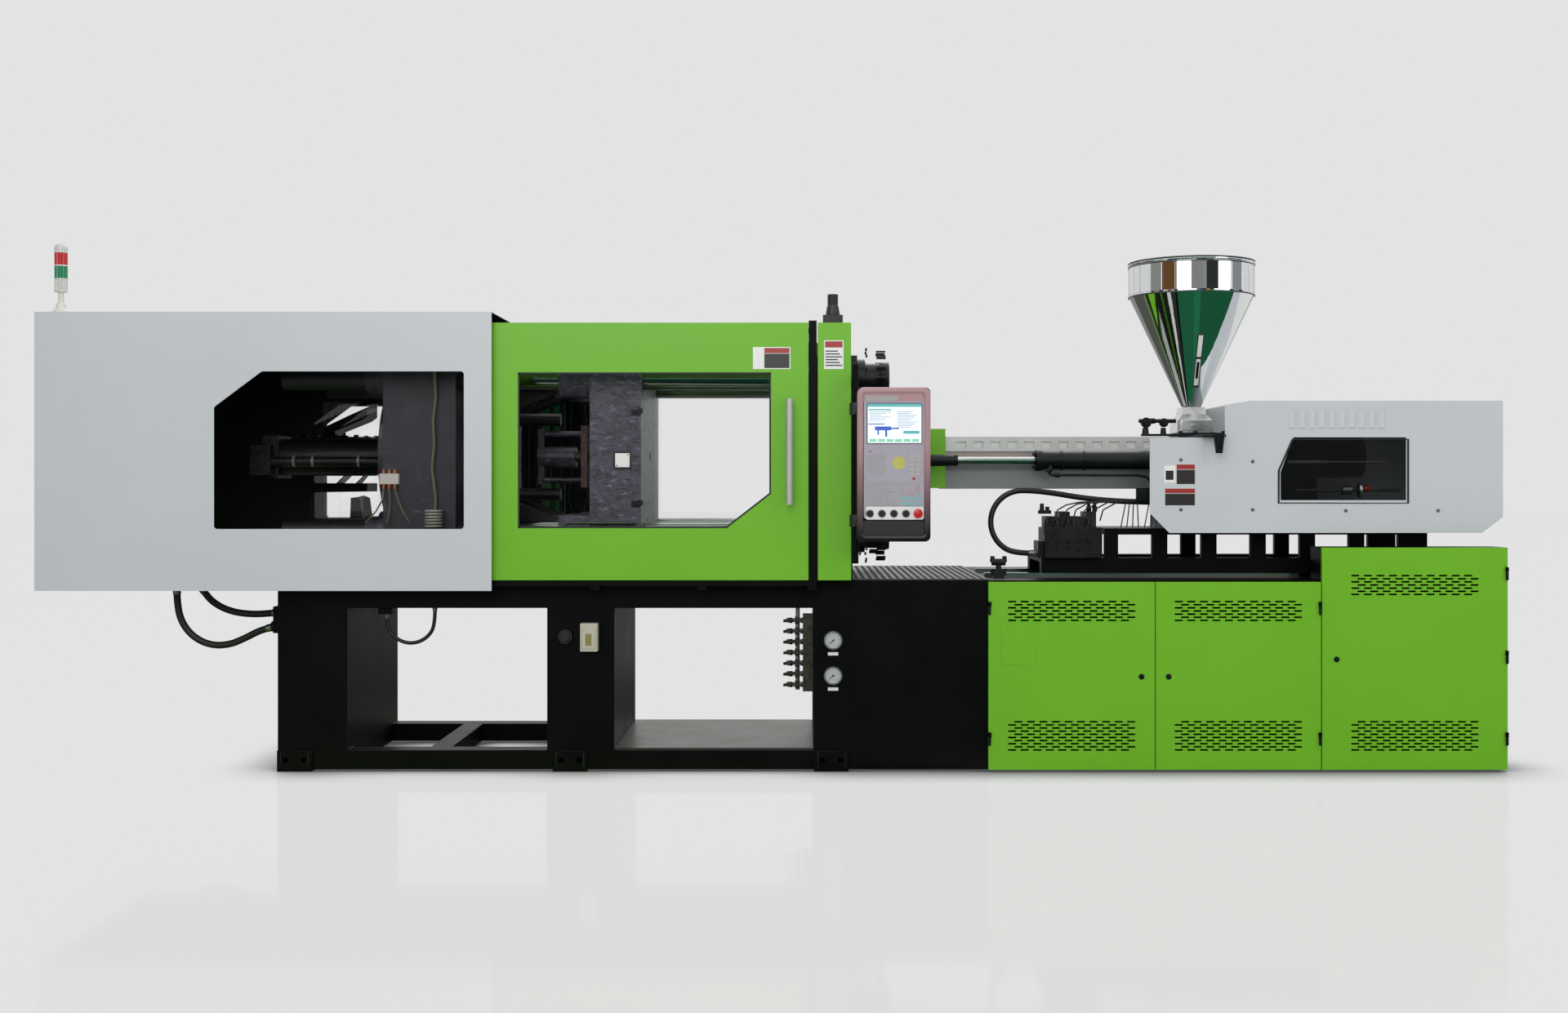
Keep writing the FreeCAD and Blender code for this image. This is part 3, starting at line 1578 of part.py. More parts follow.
def injection_carriage():
    """Cast carriage on two rails: side webs with windows, top table and left shelf."""
    low = S.deck_z + S.way_high
    rail_top = low + S.carriage_rail
    y_in = S.way_two_y - S.carriage_wall / 2
    y_out = S.way_two_y + S.carriage_wall / 2
    webs = []
    web_left = S.carriage_bay_left - 60
    for side in (-1, 1):
        y = span(side, y_in, y_out)
        windows = []
        count = 6 if side < 0 else 3
        step = 1 if side < 0 else 2
        for i in range(count):
            left = S.carriage_bay_left + i * step * S.carriage_pitch
            wide = S.carriage_bay if side < 0 else S.carriage_bay + S.carriage_pitch
            windows.append(rectangle(left, left + wide, rail_top, S.carriage_web_z))
        outline = [
            (web_left, low + 1),
            (S.carriage_right, low + 1),
            (S.carriage_right, S.carriage_top),
            (web_left, S.carriage_top),
        ]
        webs.append(plate("xz", outline, y[0], y[1], *windows))
        webs.append(
            block(
                (S.carriage_left, S.carriage_right),
                span(side, S.way_two_y - S.way_two_half - 12, S.way_two_y + S.way_two_half + 12),
                (low, rail_top),
            )
        )
    table = block(
        (web_left, S.carriage_right), (-y_out, y_out), (S.carriage_web_z, S.carriage_top)
    )
    shelf = block(
        (S.carriage_left, S.carriage_left + 300), (-y_in, y_in), (rail_top - 20, rail_top)
    )
    tie = block((S.carriage_right - 40, S.carriage_right), (-y_in, y_in), (low + 20, rail_top))
    node("injection_carriage", join(*webs, table, shelf, tie))


def valve_manifold():
    """Oil manifold with its row of valves, on the carriage's left shelf."""
    low = S.deck_z + S.way_high + S.carriage_rail
    x = (S.manifold_left, S.manifold_left + S.manifold_long)
    body = block(x, (S.manifold_front, S.manifold_back), (low, S.manifold_top))
    step = block(
        (x[0] - 24, x[0]), (S.manifold_front + 30, S.manifold_back - 20), (low, S.manifold_top - 60)
    )
    valves = []
    for i in range(4):
        left = x[0] + 10 + i * (S.valve_size + 12)
        valves.append(
            block(
                (left, left + S.valve_size),
                (S.manifold_front + 20, S.manifold_back - 30),
                (S.manifold_top, S.manifold_top + S.valve_high * (1.0 if i % 2 else 0.7)),
            )
        )
    node("valve_manifold", join(body, step, *valves))


def injection_housing():
    """Front housing that holds the barrel, with the shot cylinders at its sides."""
    x = (S.housing_left, S.housing_left + S.housing_long)
    body = block(x, (-S.housing_half, S.housing_half), (S.carriage_top, S.housing_top))
    body = join(
        body,
        *[
            block(
                (x[0] + 30, x[1]),
                span(side, S.housing_half, S.shot_cylinder_y + S.shot_cylinder_radius),
                (S.axis_z - 70, S.axis_z + 70),
            )
            for side in (-1, 1)
        ],
    )
    barrel_seat = rod("x", S.barrel_radius, x[0] - 1, x[1] + 1, (0.0, S.axis_z))
    feed = rod("z", S.hopper_neck_radius - 8, S.axis_z, S.housing_top + 1, (S.hopper_x, 0.0))
    cylinders = []
    for side in (-1, 1):
        at = (S.shot_cylinder_y * side, S.axis_z)
        tube = rod("x", S.shot_cylinder_radius, x[1], x[1] + S.shot_cylinder_long, at)
        hole = rod("x", S.shot_rod_radius + 1, x[1] - 60, x[1] + S.shot_cylinder_long + 1, at)
        cylinders.append((tube, hole))
    whole = join(body, *[tube for tube, _ in cylinders])
    node("injection_housing", cut(whole, barrel_seat, feed, *[hole for _, hole in cylinders]))


def barrel():
    """Barrel with its feed opening, end cap and nozzle, and the heater bands round it."""
    centre = (0.0, S.axis_z)
    right = S.housing_left + S.housing_long
    tube = rod("x", S.barrel_radius, S.barrel_left, right, centre)
    cap = rod("x", S.barrel_radius + 14, S.barrel_left - 20, S.barrel_left + 35, centre)
    nozzle_left = S.barrel_left - 20 - S.nozzle_long
    nozzle = rod("x", S.nozzle_radius, nozzle_left, S.barrel_left - 20, centre)
    tip = taper("x", S.nozzle_tip, S.nozzle_radius, nozzle_left - S.nozzle_tip_long, nozzle_left, centre)
    bore = rod("x", S.barrel_bore, S.screw_left - S.screw_tip - 10, right + 1, centre)
    feed = rod("z", S.hopper_neck_radius - 8, S.axis_z, S.axis_z + S.barrel_radius + 1, (S.hopper_x, 0.0))
    body = cut(join(tube, cap, nozzle, tip), bore, feed)
    bands = []
    for i in range(5):
        left = S.band_left + i * S.band_pitch
        ring = rod("x", S.barrel_radius + S.band_thick, left, left + S.band_long, centre)
        hole = rod("x", S.barrel_radius, left - 1, left + S.band_long + 1, centre)
        bands.append(cut(ring, hole))
    node("barrel", body, *bands)


def screw():
    """Screw with its pointed tip, whose shank is held in the thrust housing."""
    centre = (0.0, S.axis_z)
    shank = rod("x", S.screw_radius, S.screw_left, S.thrust_left + 20, centre)
    tip = taper("x", 4.0, S.screw_radius - 3, S.screw_left - S.screw_tip, S.screw_left, centre)
    collar = rod("x", S.screw_radius + 12, S.thrust_left - 60, S.thrust_left - 5, centre)
    node("screw", join(shank, tip, collar))


def thrust_housing():
    """Thrust housing behind the screw, with the drive motor and the shot rods."""
    x = (S.thrust_left, S.thrust_left + S.thrust_long)
    body = block(x, (-S.shot_cylinder_y - 50, S.shot_cylinder_y + 50), (S.axis_z - 90, S.axis_z + 90))
    foot = block(x, (-S.thrust_half, S.thrust_half), (S.carriage_top, S.axis_z - 90))
    drive = rod("x", S.drive_radius, x[1], x[1] + S.drive_long, (0.0, S.axis_z))
    rods = []
    for side in (-1, 1):
        at = (S.shot_cylinder_y * side, S.axis_z)
        left = S.housing_left + S.housing_long - 50
        rods.append(rod("x", S.shot_rod_radius, left, x[0], at))
    shank = rod("x", S.screw_radius + 0.1, x[0] - 1, x[0] + 21, (0.0, S.axis_z))
    node("thrust_housing", cut(join(body, foot, drive, *rods), shank))


def sheet_tunnel(x, half, bottom, top, skin):
    """A folded sheet tunnel that is open at both ends and below."""
    return join(
        block(x, (-half, half), (top - skin, top)),
        *[block(x, span(side, half - skin, half), (bottom, top)) for side in (-1, 1)],
    )


def barrel_guards():
    """Green purge guard on the fixed platen, and the guard that slides into it."""
    purge = sheet_tunnel(
        (S.purge_left, S.purge_right), S.purge_half, S.purge_bottom, S.purge_top, S.guard_skin
    )
    node("purge_guard", purge)
    x = (S.barrel_guard_left, S.housing_left)
    half = S.barrel_guard_half
    tunnel = sheet_tunnel(x, half, S.barrel_guard_bottom, S.barrel_guard_top, S.guard_skin)
    slots = []
    for i in range(12):
        left = S.barrel_guard_left + 60 + i * 76.0
        slots.append(
            block(
                (left, left + 44),
                (-half - 1, half + 1),
                (S.barrel_guard_top - 52, S.barrel_guard_top - 22),
            )
        )
    node("barrel_guard", cut(tunnel, *slots))


def seat_cylinders():
    """Two cylinders on the carriage that pull the unit along rods from the platen."""
    rods, tubes = [], []
    for side in (-1, 1):
        at = (S.seat_y * side, S.seat_z)
        rods.append(
            join(
                rod("x", S.seat_rod_radius, S.fixed_right, S.seat_rod_right, at),
                rod("x", S.seat_sleeve_radius, S.fixed_right, S.seat_sleeve_right, at),
            )
        )
        tube = join(
            rod("x", S.seat_cylinder_radius, S.seat_cylinder_left, S.housing_left, at),
            rod("x", S.seat_cylinder_radius + 6, S.seat_cylinder_left, S.seat_cylinder_left + 26, at),
            block(
                (S.housing_left - 30, S.housing_left),
                span(side, S.housing_half - 40, S.seat_y),
                (S.seat_z - 40, S.seat_z + 40),
            ),
        )
        bore = rod(
            "x", S.seat_rod_radius + 1,
            S.seat_cylinder_left - 1, S.seat_rod_right + S.seat_stroke + 10, at,
        )
        tubes.append(cut(tube, bore))
    node("seat_rods", *rods)
    node("seat_cylinders", *tubes)


def injection_cover():
    """Grey cover over the injection unit, with its window, louvres and pane."""
    outline = [
        (S.hood_left + S.hood_cut_left_x, S.hood_bottom),
        (S.hood_right - S.hood_cut_right_x, S.hood_bottom),
        (S.hood_right, S.hood_bottom + S.hood_cut_right_z),
        (S.hood_right, S.hood_top),
        (S.hood_top_x, S.hood_top),
        (S.hood_step_x, S.hood_step_z),
        (S.hood_step_x, S.hood_low_top),
        (S.hood_left, S.hood_low_top),
        (S.hood_left, S.hood_bottom + S.hood_cut_left_z),
    ]
    window = [
        (S.hood_window_left, S.hood_window_bottom),
        (S.hood_window_right, S.hood_window_bottom),
        (S.hood_window_right, S.hood_window_top),
        (S.hood_window_left + S.hood_window_cut_x, S.hood_window_top),
        (S.hood_window_left, S.hood_window_top - S.hood_window_cut_z),
    ]
    louvres = []
    for i in range(10):
        left = S.louvre_left + i * S.louvre_pitch
        louvres.append(
            block(
                (left, left + S.louvre_wide),
                (-S.hood_half - 1, -S.hood_half + S.hood_sheet + 1),
                (S.louvre_z, S.louvre_z + S.louvre_high),
            )
        )
    skin = S.hood_sheet
    front = plate("xz", outline, -S.hood_half, -S.hood_half + skin, window)
    front = cut(front, group(*louvres))
    rear_outline = [
        (S.hood_rear_left, S.hood_bottom), *outline[1:7], (S.hood_rear_left, S.hood_low_top)
    ]
    back = plate("xz", rear_outline, S.hood_half - skin, S.hood_half)
    inner = S.hood_half - skin
    roof = block((S.hood_top_x, S.hood_right), (-inner, inner), (S.hood_top - skin, S.hood_top))
    end = block(
        (S.hood_right - skin, S.hood_right),
        (-inner, inner),
        (S.hood_bottom + S.hood_cut_right_z, S.hood_top - skin),
    )
    step = block(
        (S.hood_top_x, S.hood_top_x + skin), (-inner, inner), (S.hood_low_top, S.hood_top - skin)
    )
    feet = [
        block(
            (x, x + 40),
            span(side, S.way_two_y + S.carriage_wall / 2, inner),
            (S.hood_bottom, S.hood_bottom + 14),
        )
        for side in (-1, 1)
        for x in (S.hood_foot_left, S.carriage_right - 60)
    ]
    node("injection_cover", join(front, back, roof, end, step, *feet))
    pane = block(
        (S.hood_window_left - 14, S.hood_window_right + 14),
        (-S.hood_half + skin, -S.hood_half + skin + S.pane_thick),
        (S.hood_window_bottom - 14, S.hood_window_top + 14),
    )
    node("injection_cover_pane", pane)


def hopper():
    """Polished hopper with a rolled rim, its lid, its throat casting and its gate."""
    at = (S.hopper_x, 0.0)
    wall = S.hopper_wall
    band = cut(
        join(
            rod("z", S.hopper_radius, S.hopper_band_z, S.hopper_rim_z, at),
            rod("z", S.hopper_bead, S.hopper_rim_z - S.hopper_bead_high, S.hopper_rim_z, at),
        ),
        rod("z", S.hopper_radius - wall, S.hopper_band_z - 1, S.hopper_rim_z + 1, at),
    )
    cone_z = (S.hopper_neck_z, S.hopper_band_z)
    cone = cut(
        taper("z", S.hopper_neck_radius, S.hopper_radius, *cone_z, at),
        taper("z", S.hopper_neck_radius - wall, S.hopper_radius - wall, *cone_z, at),
    )
    hinge_at = (S.hopper_bead + S.lid_knuckle, S.hopper_rim_z)
    knuckles = []
    for x in (
        (S.hopper_x - S.knuckle_out, S.hopper_x - S.knuckle_in),
        (S.hopper_x + S.knuckle_in, S.hopper_x + S.knuckle_out),
    ):
        knuckles.append(rod("x", S.lid_knuckle, x[0], x[1], hinge_at))
        knuckles.append(
            block(
                x,
                (S.hopper_bead - S.knuckle_inset, hinge_at[0]),
                (S.hopper_rim_z - S.lid_knuckle, S.hopper_rim_z - 1),
            )
        )
    node("hopper_band", join(band, *knuckles))
    node("hopper_cone", cone)
    lid_low = S.hopper_rim_z
    crown_z = lid_low + S.lid_rise
    lid_x = (S.hopper_x - S.lid_knuckle_half, S.hopper_x + S.lid_knuckle_half)
    lid = join(
        rod("z", S.hopper_bead, lid_low, lid_low + 6, at),
        taper("z", S.hopper_bead - 4, S.lid_crown_radius, lid_low + 6, crown_z, at),
        rod("z", S.lid_knob_radius, crown_z, crown_z + S.lid_knob, at),
        rod("x", S.lid_knuckle, *lid_x, hinge_at),
        block(
            lid_x,
            (S.hopper_bead - S.knuckle_inset, hinge_at[0]),
            (lid_low, lid_low + S.lid_knuckle),
        ),
    )
    node("hopper_lid", lid)
    gate_low = S.housing_top + S.gate_play
    gate_top = gate_low + S.gate_thick
    x = (S.throat_left, S.throat_right)
    foot_low = S.housing_top
    foot_top = gate_top + S.gate_play + S.throat_foot
    foot = block(x, (-S.throat_half, S.throat_half), (foot_low, foot_top))
    drawer_x = (S.hopper_x - S.drawer_half, S.hopper_x + S.drawer_half)
    body = block(drawer_x, (-S.drawer_half, S.drawer_half), (foot_top, S.throat_body_top))
    neck = rod("z", S.hopper_neck_radius + 14, S.throat_body_top, S.hopper_neck_z, at)
    channel = block(
        (S.hopper_x - S.gate_half - S.gate_play, S.hopper_x + S.gate_half + S.gate_play),
        (-S.throat_half - 1, S.throat_half + 1),
        (S.housing_top - 1, gate_top + S.gate_play),
    )
    hole = rod("z", S.hopper_neck_radius - 10, S.housing_top - 1, S.hopper_neck_z + 1, at)
    node("hopper_throat", cut(join(foot, body, neck), channel, hole))
    slide = block(
        (S.hopper_x - S.gate_half, S.hopper_x + S.gate_half),
        (S.gate_front, S.gate_back),
        (gate_low, gate_top),
    )
    hole_at = (S.hopper_x, S.gate_stroke)
    slide_hole = rod("z", S.hopper_neck_radius - 10, gate_low - 1, gate_top + 1, hole_at)
    grip_y = S.gate_front - 16
    grip = taper("z", 15.0, 24.0, S.gate_grip_z, gate_top, (S.hopper_x + 16, grip_y))
    node("hopper_gate", join(cut(slide, slide_hole), grip))


# ---------------------------------------------------------------- controls and instruments


def control_panel():
    """Operator's panel on its swivel arm: housing, screen recess and four selectors."""
    y = (S.panel_front, S.panel_front + S.panel_thick)
    outline = rectangle(S.panel_left, S.panel_right, S.panel_bottom, S.panel_top)
    housing = plate("xz", outline, y[0], y[1])

    def corner(edge, middle):
        return runs_along(edge, "y")

    soften(housing, S.panel_corner, corner)
    recess = block(
        (S.screen_left, S.screen_left + S.screen_wide),
        (y[0] - 1, y[0] + S.screen_recess),
        (S.screen_bottom, S.screen_bottom + S.screen_high),
    )
    knobs = [
        rod(
            "y", S.knob_radius, y[0] - S.knob_out, y[0] + 5, (S.knob_left + i * S.knob_pitch, S.knob_z)
        )
        for i in range(4)
    ]
    stop_x = S.knob_left + 4 * S.knob_pitch
    stem_hole = rod("y", S.stop_stem + 0.5, y[0] - 1, y[0] + 31, (stop_x, S.knob_z))
    sleeves = []
    for z in (S.panel_bottom + 60, S.panel_top - 110):
        arm = block(
            (S.panel_post_x, S.panel_left + 30),
            (y[1] - 5, S.panel_post_y + 10),
            (z, z + 50),
        )
        eye = rod("z", S.panel_post_radius + 12, z, z + 50, (S.panel_post_x, S.panel_post_y))
        sleeves.append(join(arm, eye))
    bores = [
        rod("z", S.panel_post_radius + 0.1, z - 1, z + 51, (S.panel_post_x, S.panel_post_y))
        for z in (S.panel_bottom + 60, S.panel_top - 110)
    ]
    node("control_panel", cut(join(housing, *knobs, *sleeves), recess, stem_hole, *bores))
    head = rod("y", S.stop_radius, y[0] - S.stop_out - 6, y[0] - 6, (stop_x, S.knob_z))
    stem = rod("y", S.stop_stem, y[0] - 6, y[0] + 20, (stop_x, S.knob_z))
    node("emergency_stop", join(head, stem))


def instruments():
    """Pressure gauges, socket box and cooling-water header on the base's legs."""
    front = -S.base_half
    gauges = []
    for i in range(2):
        z = S.gauge_high_z - i * S.gauge_drop
        case = rod("y", S.gauge_radius, front - S.gauge_thick, front, (S.gauge_x, z))
        dial = rod("y", S.gauge_radius - 6, front - S.gauge_thick - 1, front - S.gauge_thick + 4, (S.gauge_x, z))
        gauges.append(cut(case, dial))
    node("pressure_gauges", *gauges)
    socket = block(
        (S.socket_left, S.socket_left + S.socket_wide),
        (front - S.socket_thick, front),
        (S.socket_bottom, S.socket_bottom + S.socket_high),
    )
    node("electrical_sockets", socket, interface_connector())
    leg = S.base_join - S.leg_three_width
    header = block(
        (S.header_left, leg),
        (S.header_y, S.header_y + S.header_size),
        (S.header_bottom, S.header_bottom + S.header_high),
    )
    taps = []
    middle_y = S.header_y + S.header_size / 2
    for i in range(int(S.tap_count)):
        z = S.header_bottom + 29 + i * S.tap_pitch
        taps.append(
            block(
                (S.header_left - S.tap_long, S.header_left),
                (middle_y - S.tap_size / 2, middle_y + S.tap_size / 2),
                (z - S.tap_size / 2, z + S.tap_size / 2),
            )
        )
        taps.append(
            block(
                (S.header_left - 34, S.header_left - 22),
                (middle_y - S.tap_size, middle_y + S.tap_size),
                (z - 16, z + 16),
            )
        )
        taps.append(
            block(
                (S.header_left - S.tap_long - 3, S.header_left - S.tap_long + 15),
                (middle_y - S.tap_size, middle_y + S.tap_size),
                (z - 10, z + 10),
            )
        )
    node("cooling_header", join(header, *taps))


def pump_set():
    """Servo motor and pump inside the injection base, on a mounting frame."""
    at = (S.pump_y, S.pump_z)
    motor_right = S.pump_x + S.motor_long
    motor = rod("x", S.motor_radius, S.pump_x, motor_right, at)
    pump_left = motor_right + S.pump_bell
    bell = rod("x", S.pump_radius + 25, motor_right, pump_left, at)
    pump = rod("x", S.pump_radius, pump_left, pump_left + S.pump_long, at)
    floor = S.floor_gap + S.base_wall
    bed_top = floor + S.pump_bed_high
    bed = block(
        (S.pump_x - S.pump_bed_reach, motor_right + S.pump_bed_reach),
        (S.pump_y - S.pump_bed_half, S.pump_y + S.pump_bed_half),
        (floor, bed_top),
    )
    seat = block(
        (S.pump_x + S.motor_seat_inset, motor_right - S.motor_seat_inset),
        (S.pump_y - S.motor_seat_half, S.pump_y + S.motor_seat_half),
        (bed_top, S.pump_z - S.motor_radius / 2),
    )
    node("pump_set", join(motor, bell, pump, bed, seat))


# ---------------------------------------------------------------- hoses


def hose(points, radius, label):
    """A tube along straight runs joined by tangent arcs; returns the shape."""
    route = [Vector(*[float(v) for v in point]) for point in points]
    edges = []
    radii = []
    start = route[0]
    for before, corner, after in zip(route, route[1:], route[2:]):
        in_run, out_run = corner - before, after - corner
        turn = in_run.getAngle(out_run)
        bend = 0.45 * min(in_run.Length, out_run.Length) / math.tan(turn / 2)
        back = bend * math.tan(turn / 2)
        first = corner - in_run.normalize() * back
        last = corner + out_run.normalize() * back
        chord = (first + last) / 2 - corner
        middle = corner + chord.normalize() * (bend / math.cos(turn / 2) - bend)
        edges.append(Part.LineSegment(start, first).toShape())
        edges.append(Part.Arc(first, middle, last).toShape())
        start = last
        radii.append(bend)
    edges.append(Part.LineSegment(start, route[-1]).toShape())
    path = Part.Wire(edges)
    direction = (route[1] - route[0]).normalize()
    ring = Part.Wire([Part.Circle(route[0], direction, float(radius)).toShape()])
    tube = path.makePipeShell([ring], True, False)
    expected = math.pi * float(radius) ** 2 * path.Length
    print(
        f"{label}: length {path.Length:.0f}, least radius {min(radii):.0f}, "
        f"volume ratio {tube.Volume / expected:.4f}"
    )
    return tube


def trimmed(tube, ranges):
    """Cuts a hose's end flush with the block that it meets."""
    start = Vector(*[float(pair[0]) for pair in ranges])
    end = Vector(*[float(pair[1]) for pair in ranges])
    return tube.cut(Part.makeBox(*(end - start), start))


def hoses():
    """Oil hoses at the base's left end, the hose under its beam and the carriage's hose."""
    big, small, shot = S.hose_radius, S.small_hose_radius, S.shot_hose_radius
    y_one, y_two, y_low = S.outer_hose_y, S.inner_hose_y, S.beam_hose_y
    housing = [
        (S.housing_left, S.housing_left + 50),
        (S.carriage_hose_y - 50, S.carriage_hose_y + 50),
        (S.housing_bottom, S.housing_top),
    ]
    outer = [
        (-2201, 612), (-2262, 598), (-2330, 562), (-2400, 532), (-2475, 528),
        (-2545, 555), (-2600, 610), (-2630, 690), (-2632, 790),
    ]
    inner = [
        (-2201, 668), (-2270, 660), (-2340, 659), (-2410, 668), (-2475, 693),
        (-2528, 735), (-2562, 790),
    ]
    low_loop = [(-1699, 672)] + [
        (
            -1595 + 104 / math.cos(math.pi / 12) * math.cos(math.radians(195 + 30 * i)),
            650 + 104 / math.cos(math.pi / 12) * math.sin(math.radians(195 + 30 * i)),
        )
        for i in range(6)
    ] + [(-1491, 700)]
    shot_loop = [
        (1740, 1150), (1600, 1152), (1460, 1158), (1330, 1172), (1215, 1192), (1120, 1203),
    ] + [
        (
            1075 + 140 / math.cos(math.pi / 12) * math.cos(math.radians(105 + 30 * i)),
            1063 + 140 / math.cos(math.pi / 12) * math.sin(math.radians(105 + 30 * i)),
        )
        for i in range(6)
    ] + [(1136, 923)]
    for name, routes, blocks in (
        (
            "base_hoses",
            ((outer, y_one, big), (inner, y_two, big), (low_loop, y_low, small)),
            (hose_port(), hose_shelf()),
        ),
        ("injection_hose", ((shot_loop, S.carriage_hose_y, shot),), (housing,)),
    ):
        tubes = []
        for number, (route, y, radius) in enumerate(routes, start=1):
            points = [(x, y, z) for x, z in route]
            tube = hose(points, radius, f"{name} {number}")
            for ranges in blocks:
                tube = trimmed(tube, ranges)
            tubes.append(tube)
        thing = doc.addObject("Part::Feature", unique("tubes"))
        thing.Shape = tubes[0] if len(tubes) == 1 else Part.makeCompound(tubes)
        node(name, thing)


BUILD = (
    clamp_base,
    injection_base,
    levelling_feet,
    deck_plates,
    electrical_cabinet,
    cabinet_doors,
    main_switch,
    toggle_cover,
    signal_tower,
    lambda: sliding_guard(-1, "front_door", "front_door_pane"),
    lambda: sliding_guard(1, "rear_door", "rear_door_pane"),
    lambda: node("front_door_handle", door_handle(-1)),
    guard_frame,
    side_guards,
    fixed_platen,
    tie_bars,
    tie_bar_nuts,
    slide_rails,
    tail_platen,
    clamp_cylinder,
    toggle_links,
    crosshead,
    moving_platen,
    ejector,
    injection_carriage,
    valve_manifold,
    injection_housing,
    barrel,
    screw,
    thrust_housing,
    barrel_guards,
    seat_cylinders,
    injection_cover,
    hopper,
    control_panel,
    instruments,
    pump_set,
    hoses,
)

for step in BUILD:
    step()

doc.recompute()

os.makedirs("parts", exist_ok=True)
for thing in doc.Objects:
    if "Invalid" in thing.State or "Error" in thing.State:
        raise RuntimeError(f"{thing.Name} ({thing.Label}) failed: {thing.State}")
for name, thing in nodes.items():
    shape = thing.Shape
    if shape.isNull() or not shape.isValid():
        raise RuntimeError(f"{name} has no valid shape")
for name, thing in nodes.items():
    thing.Shape.exportStep(f"parts/{name}.step")
print(len(nodes), "sub-parts")
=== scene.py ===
"""Finishes and fine pieces of a horizontal injection moulding machine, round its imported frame."""

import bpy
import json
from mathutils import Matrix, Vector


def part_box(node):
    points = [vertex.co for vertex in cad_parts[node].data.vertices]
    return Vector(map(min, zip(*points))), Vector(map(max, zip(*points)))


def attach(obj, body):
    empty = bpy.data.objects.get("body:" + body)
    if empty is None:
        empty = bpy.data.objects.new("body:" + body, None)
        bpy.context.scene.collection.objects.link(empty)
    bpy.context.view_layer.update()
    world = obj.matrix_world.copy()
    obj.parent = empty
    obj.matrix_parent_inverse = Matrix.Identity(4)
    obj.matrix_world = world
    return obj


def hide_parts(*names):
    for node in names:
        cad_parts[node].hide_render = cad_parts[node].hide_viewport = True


bl_info = {
    "name": "Moulding Machine Finishes",
    "version": (1, 0, 0),
    "blender": (4, 5, 0),
    "location": "View3D > Sidebar > Machine",
    "description": "Dresses the packed frame of an injection moulding machine",
    "category": "Object",
}

import json
import math

import bmesh
import bpy
from bpy.props import FloatProperty, IntProperty, PointerProperty, StringProperty
from bpy.types import Operator, Panel, PropertyGroup
from mathutils import Matrix, Vector

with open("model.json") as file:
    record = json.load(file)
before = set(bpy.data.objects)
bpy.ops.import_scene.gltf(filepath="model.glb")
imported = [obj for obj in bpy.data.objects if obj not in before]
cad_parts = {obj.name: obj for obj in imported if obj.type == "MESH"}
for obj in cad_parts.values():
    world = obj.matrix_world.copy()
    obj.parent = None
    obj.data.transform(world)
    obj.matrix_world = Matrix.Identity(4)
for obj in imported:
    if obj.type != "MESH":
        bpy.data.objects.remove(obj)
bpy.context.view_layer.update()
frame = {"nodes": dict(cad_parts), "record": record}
MM = 0.001

# ------------------------------------------------------------------ sizes read from the frame


def low(node):
    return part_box(node)[0]


def high(node):
    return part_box(node)[1]


def body_of(node):
    bodies = frame["record"]["behaviour"]["bodies"]
    return next(body for body, nodes in bodies.items() if node in nodes)


# Height of the tie bars' axis, top of the clamp base and front of both bases, in metres.
AXIS_Z = (low("tie_bars").z + high("tie_bars").z) / 2
DECK_Z = high("clamp_base").z
BASE_FRONT = low("clamp_base").y


class MachineSizes(PropertyGroup):
    """Sizes of the fine pieces, in metres."""

    slot_length: FloatProperty(
        name="Slot length", description="Length of one air slot", default=0.036, unit="LENGTH"
    )
    slot_height: FloatProperty(
        name="Slot height", description="Height of one air slot", default=0.0075, unit="LENGTH"
    )
    slot_pitch: FloatProperty(
        name="Slot pitch", description="Distance between slots in a row", default=0.0536,
        unit="LENGTH",
    )
    row_pitch: FloatProperty(
        name="Row pitch", description="Distance between rows of slots", default=0.0134,
        unit="LENGTH",
    )
    door_sheet: FloatProperty(
        name="Door sheet", description="Thickness of the door's sheet", default=0.003, unit="LENGTH"
    )
    tread_pitch: FloatProperty(
        name="Tread pitch", description="Distance between the deck's raised bars", default=0.03,
        unit="LENGTH",
    )
    hopper_facets: IntProperty(
        name="Hopper facets", description="Flats rolled round the hopper's band", default=28
    )


class MachineColours(PropertyGroup):
    """Colours of the finishes, as sRGB hex values."""

    green: StringProperty(name="Green", description="Apple green powder coat", default="6CB516")
    grey: StringProperty(name="Grey", description="Pale grey powder coat", default="C4C9CC")
    black: StringProperty(name="Black", description="Black base enamel", default="070708")
    casting: StringProperty(name="Casting", description="Painted castings", default="22202A")
    studio: StringProperty(name="Studio", description="Floor and background", default="E3E3E3")


def sizes():
    return bpy.context.scene.machine_sizes


def colours():
    return bpy.context.scene.machine_colours


# ------------------------------------------------------------------ materials


def linear(hex_value):
    """Turns an sRGB hex value into the linear colour that the shader wants."""
    channels = []
    for i in (0, 2, 4):
        c = int(hex_value[i : i + 2], 16) / 255
        channels.append(c / 12.92 if c <= 0.04045 else ((c + 0.055) / 1.055) ** 2.4)
    return (*channels, 1.0)


def add(tree, kind, **settings):
    """Adds a node: names in small letters are its properties, the others inputs to set or link."""
    made = tree.nodes.new(kind)
    for key, value in settings.items():
        if key[0].islower():
            setattr(made, key, value)
            continue
        socket = made.inputs[int(key[1:])] if key[0] == "_" else made.inputs[key.replace("_", " ")]
        if isinstance(value, bpy.types.Node):
            value = value.outputs[0]
        if isinstance(value, bpy.types.NodeSocket):
            tree.links.new(value, socket)
        else:
            socket.default_value = value
    return made


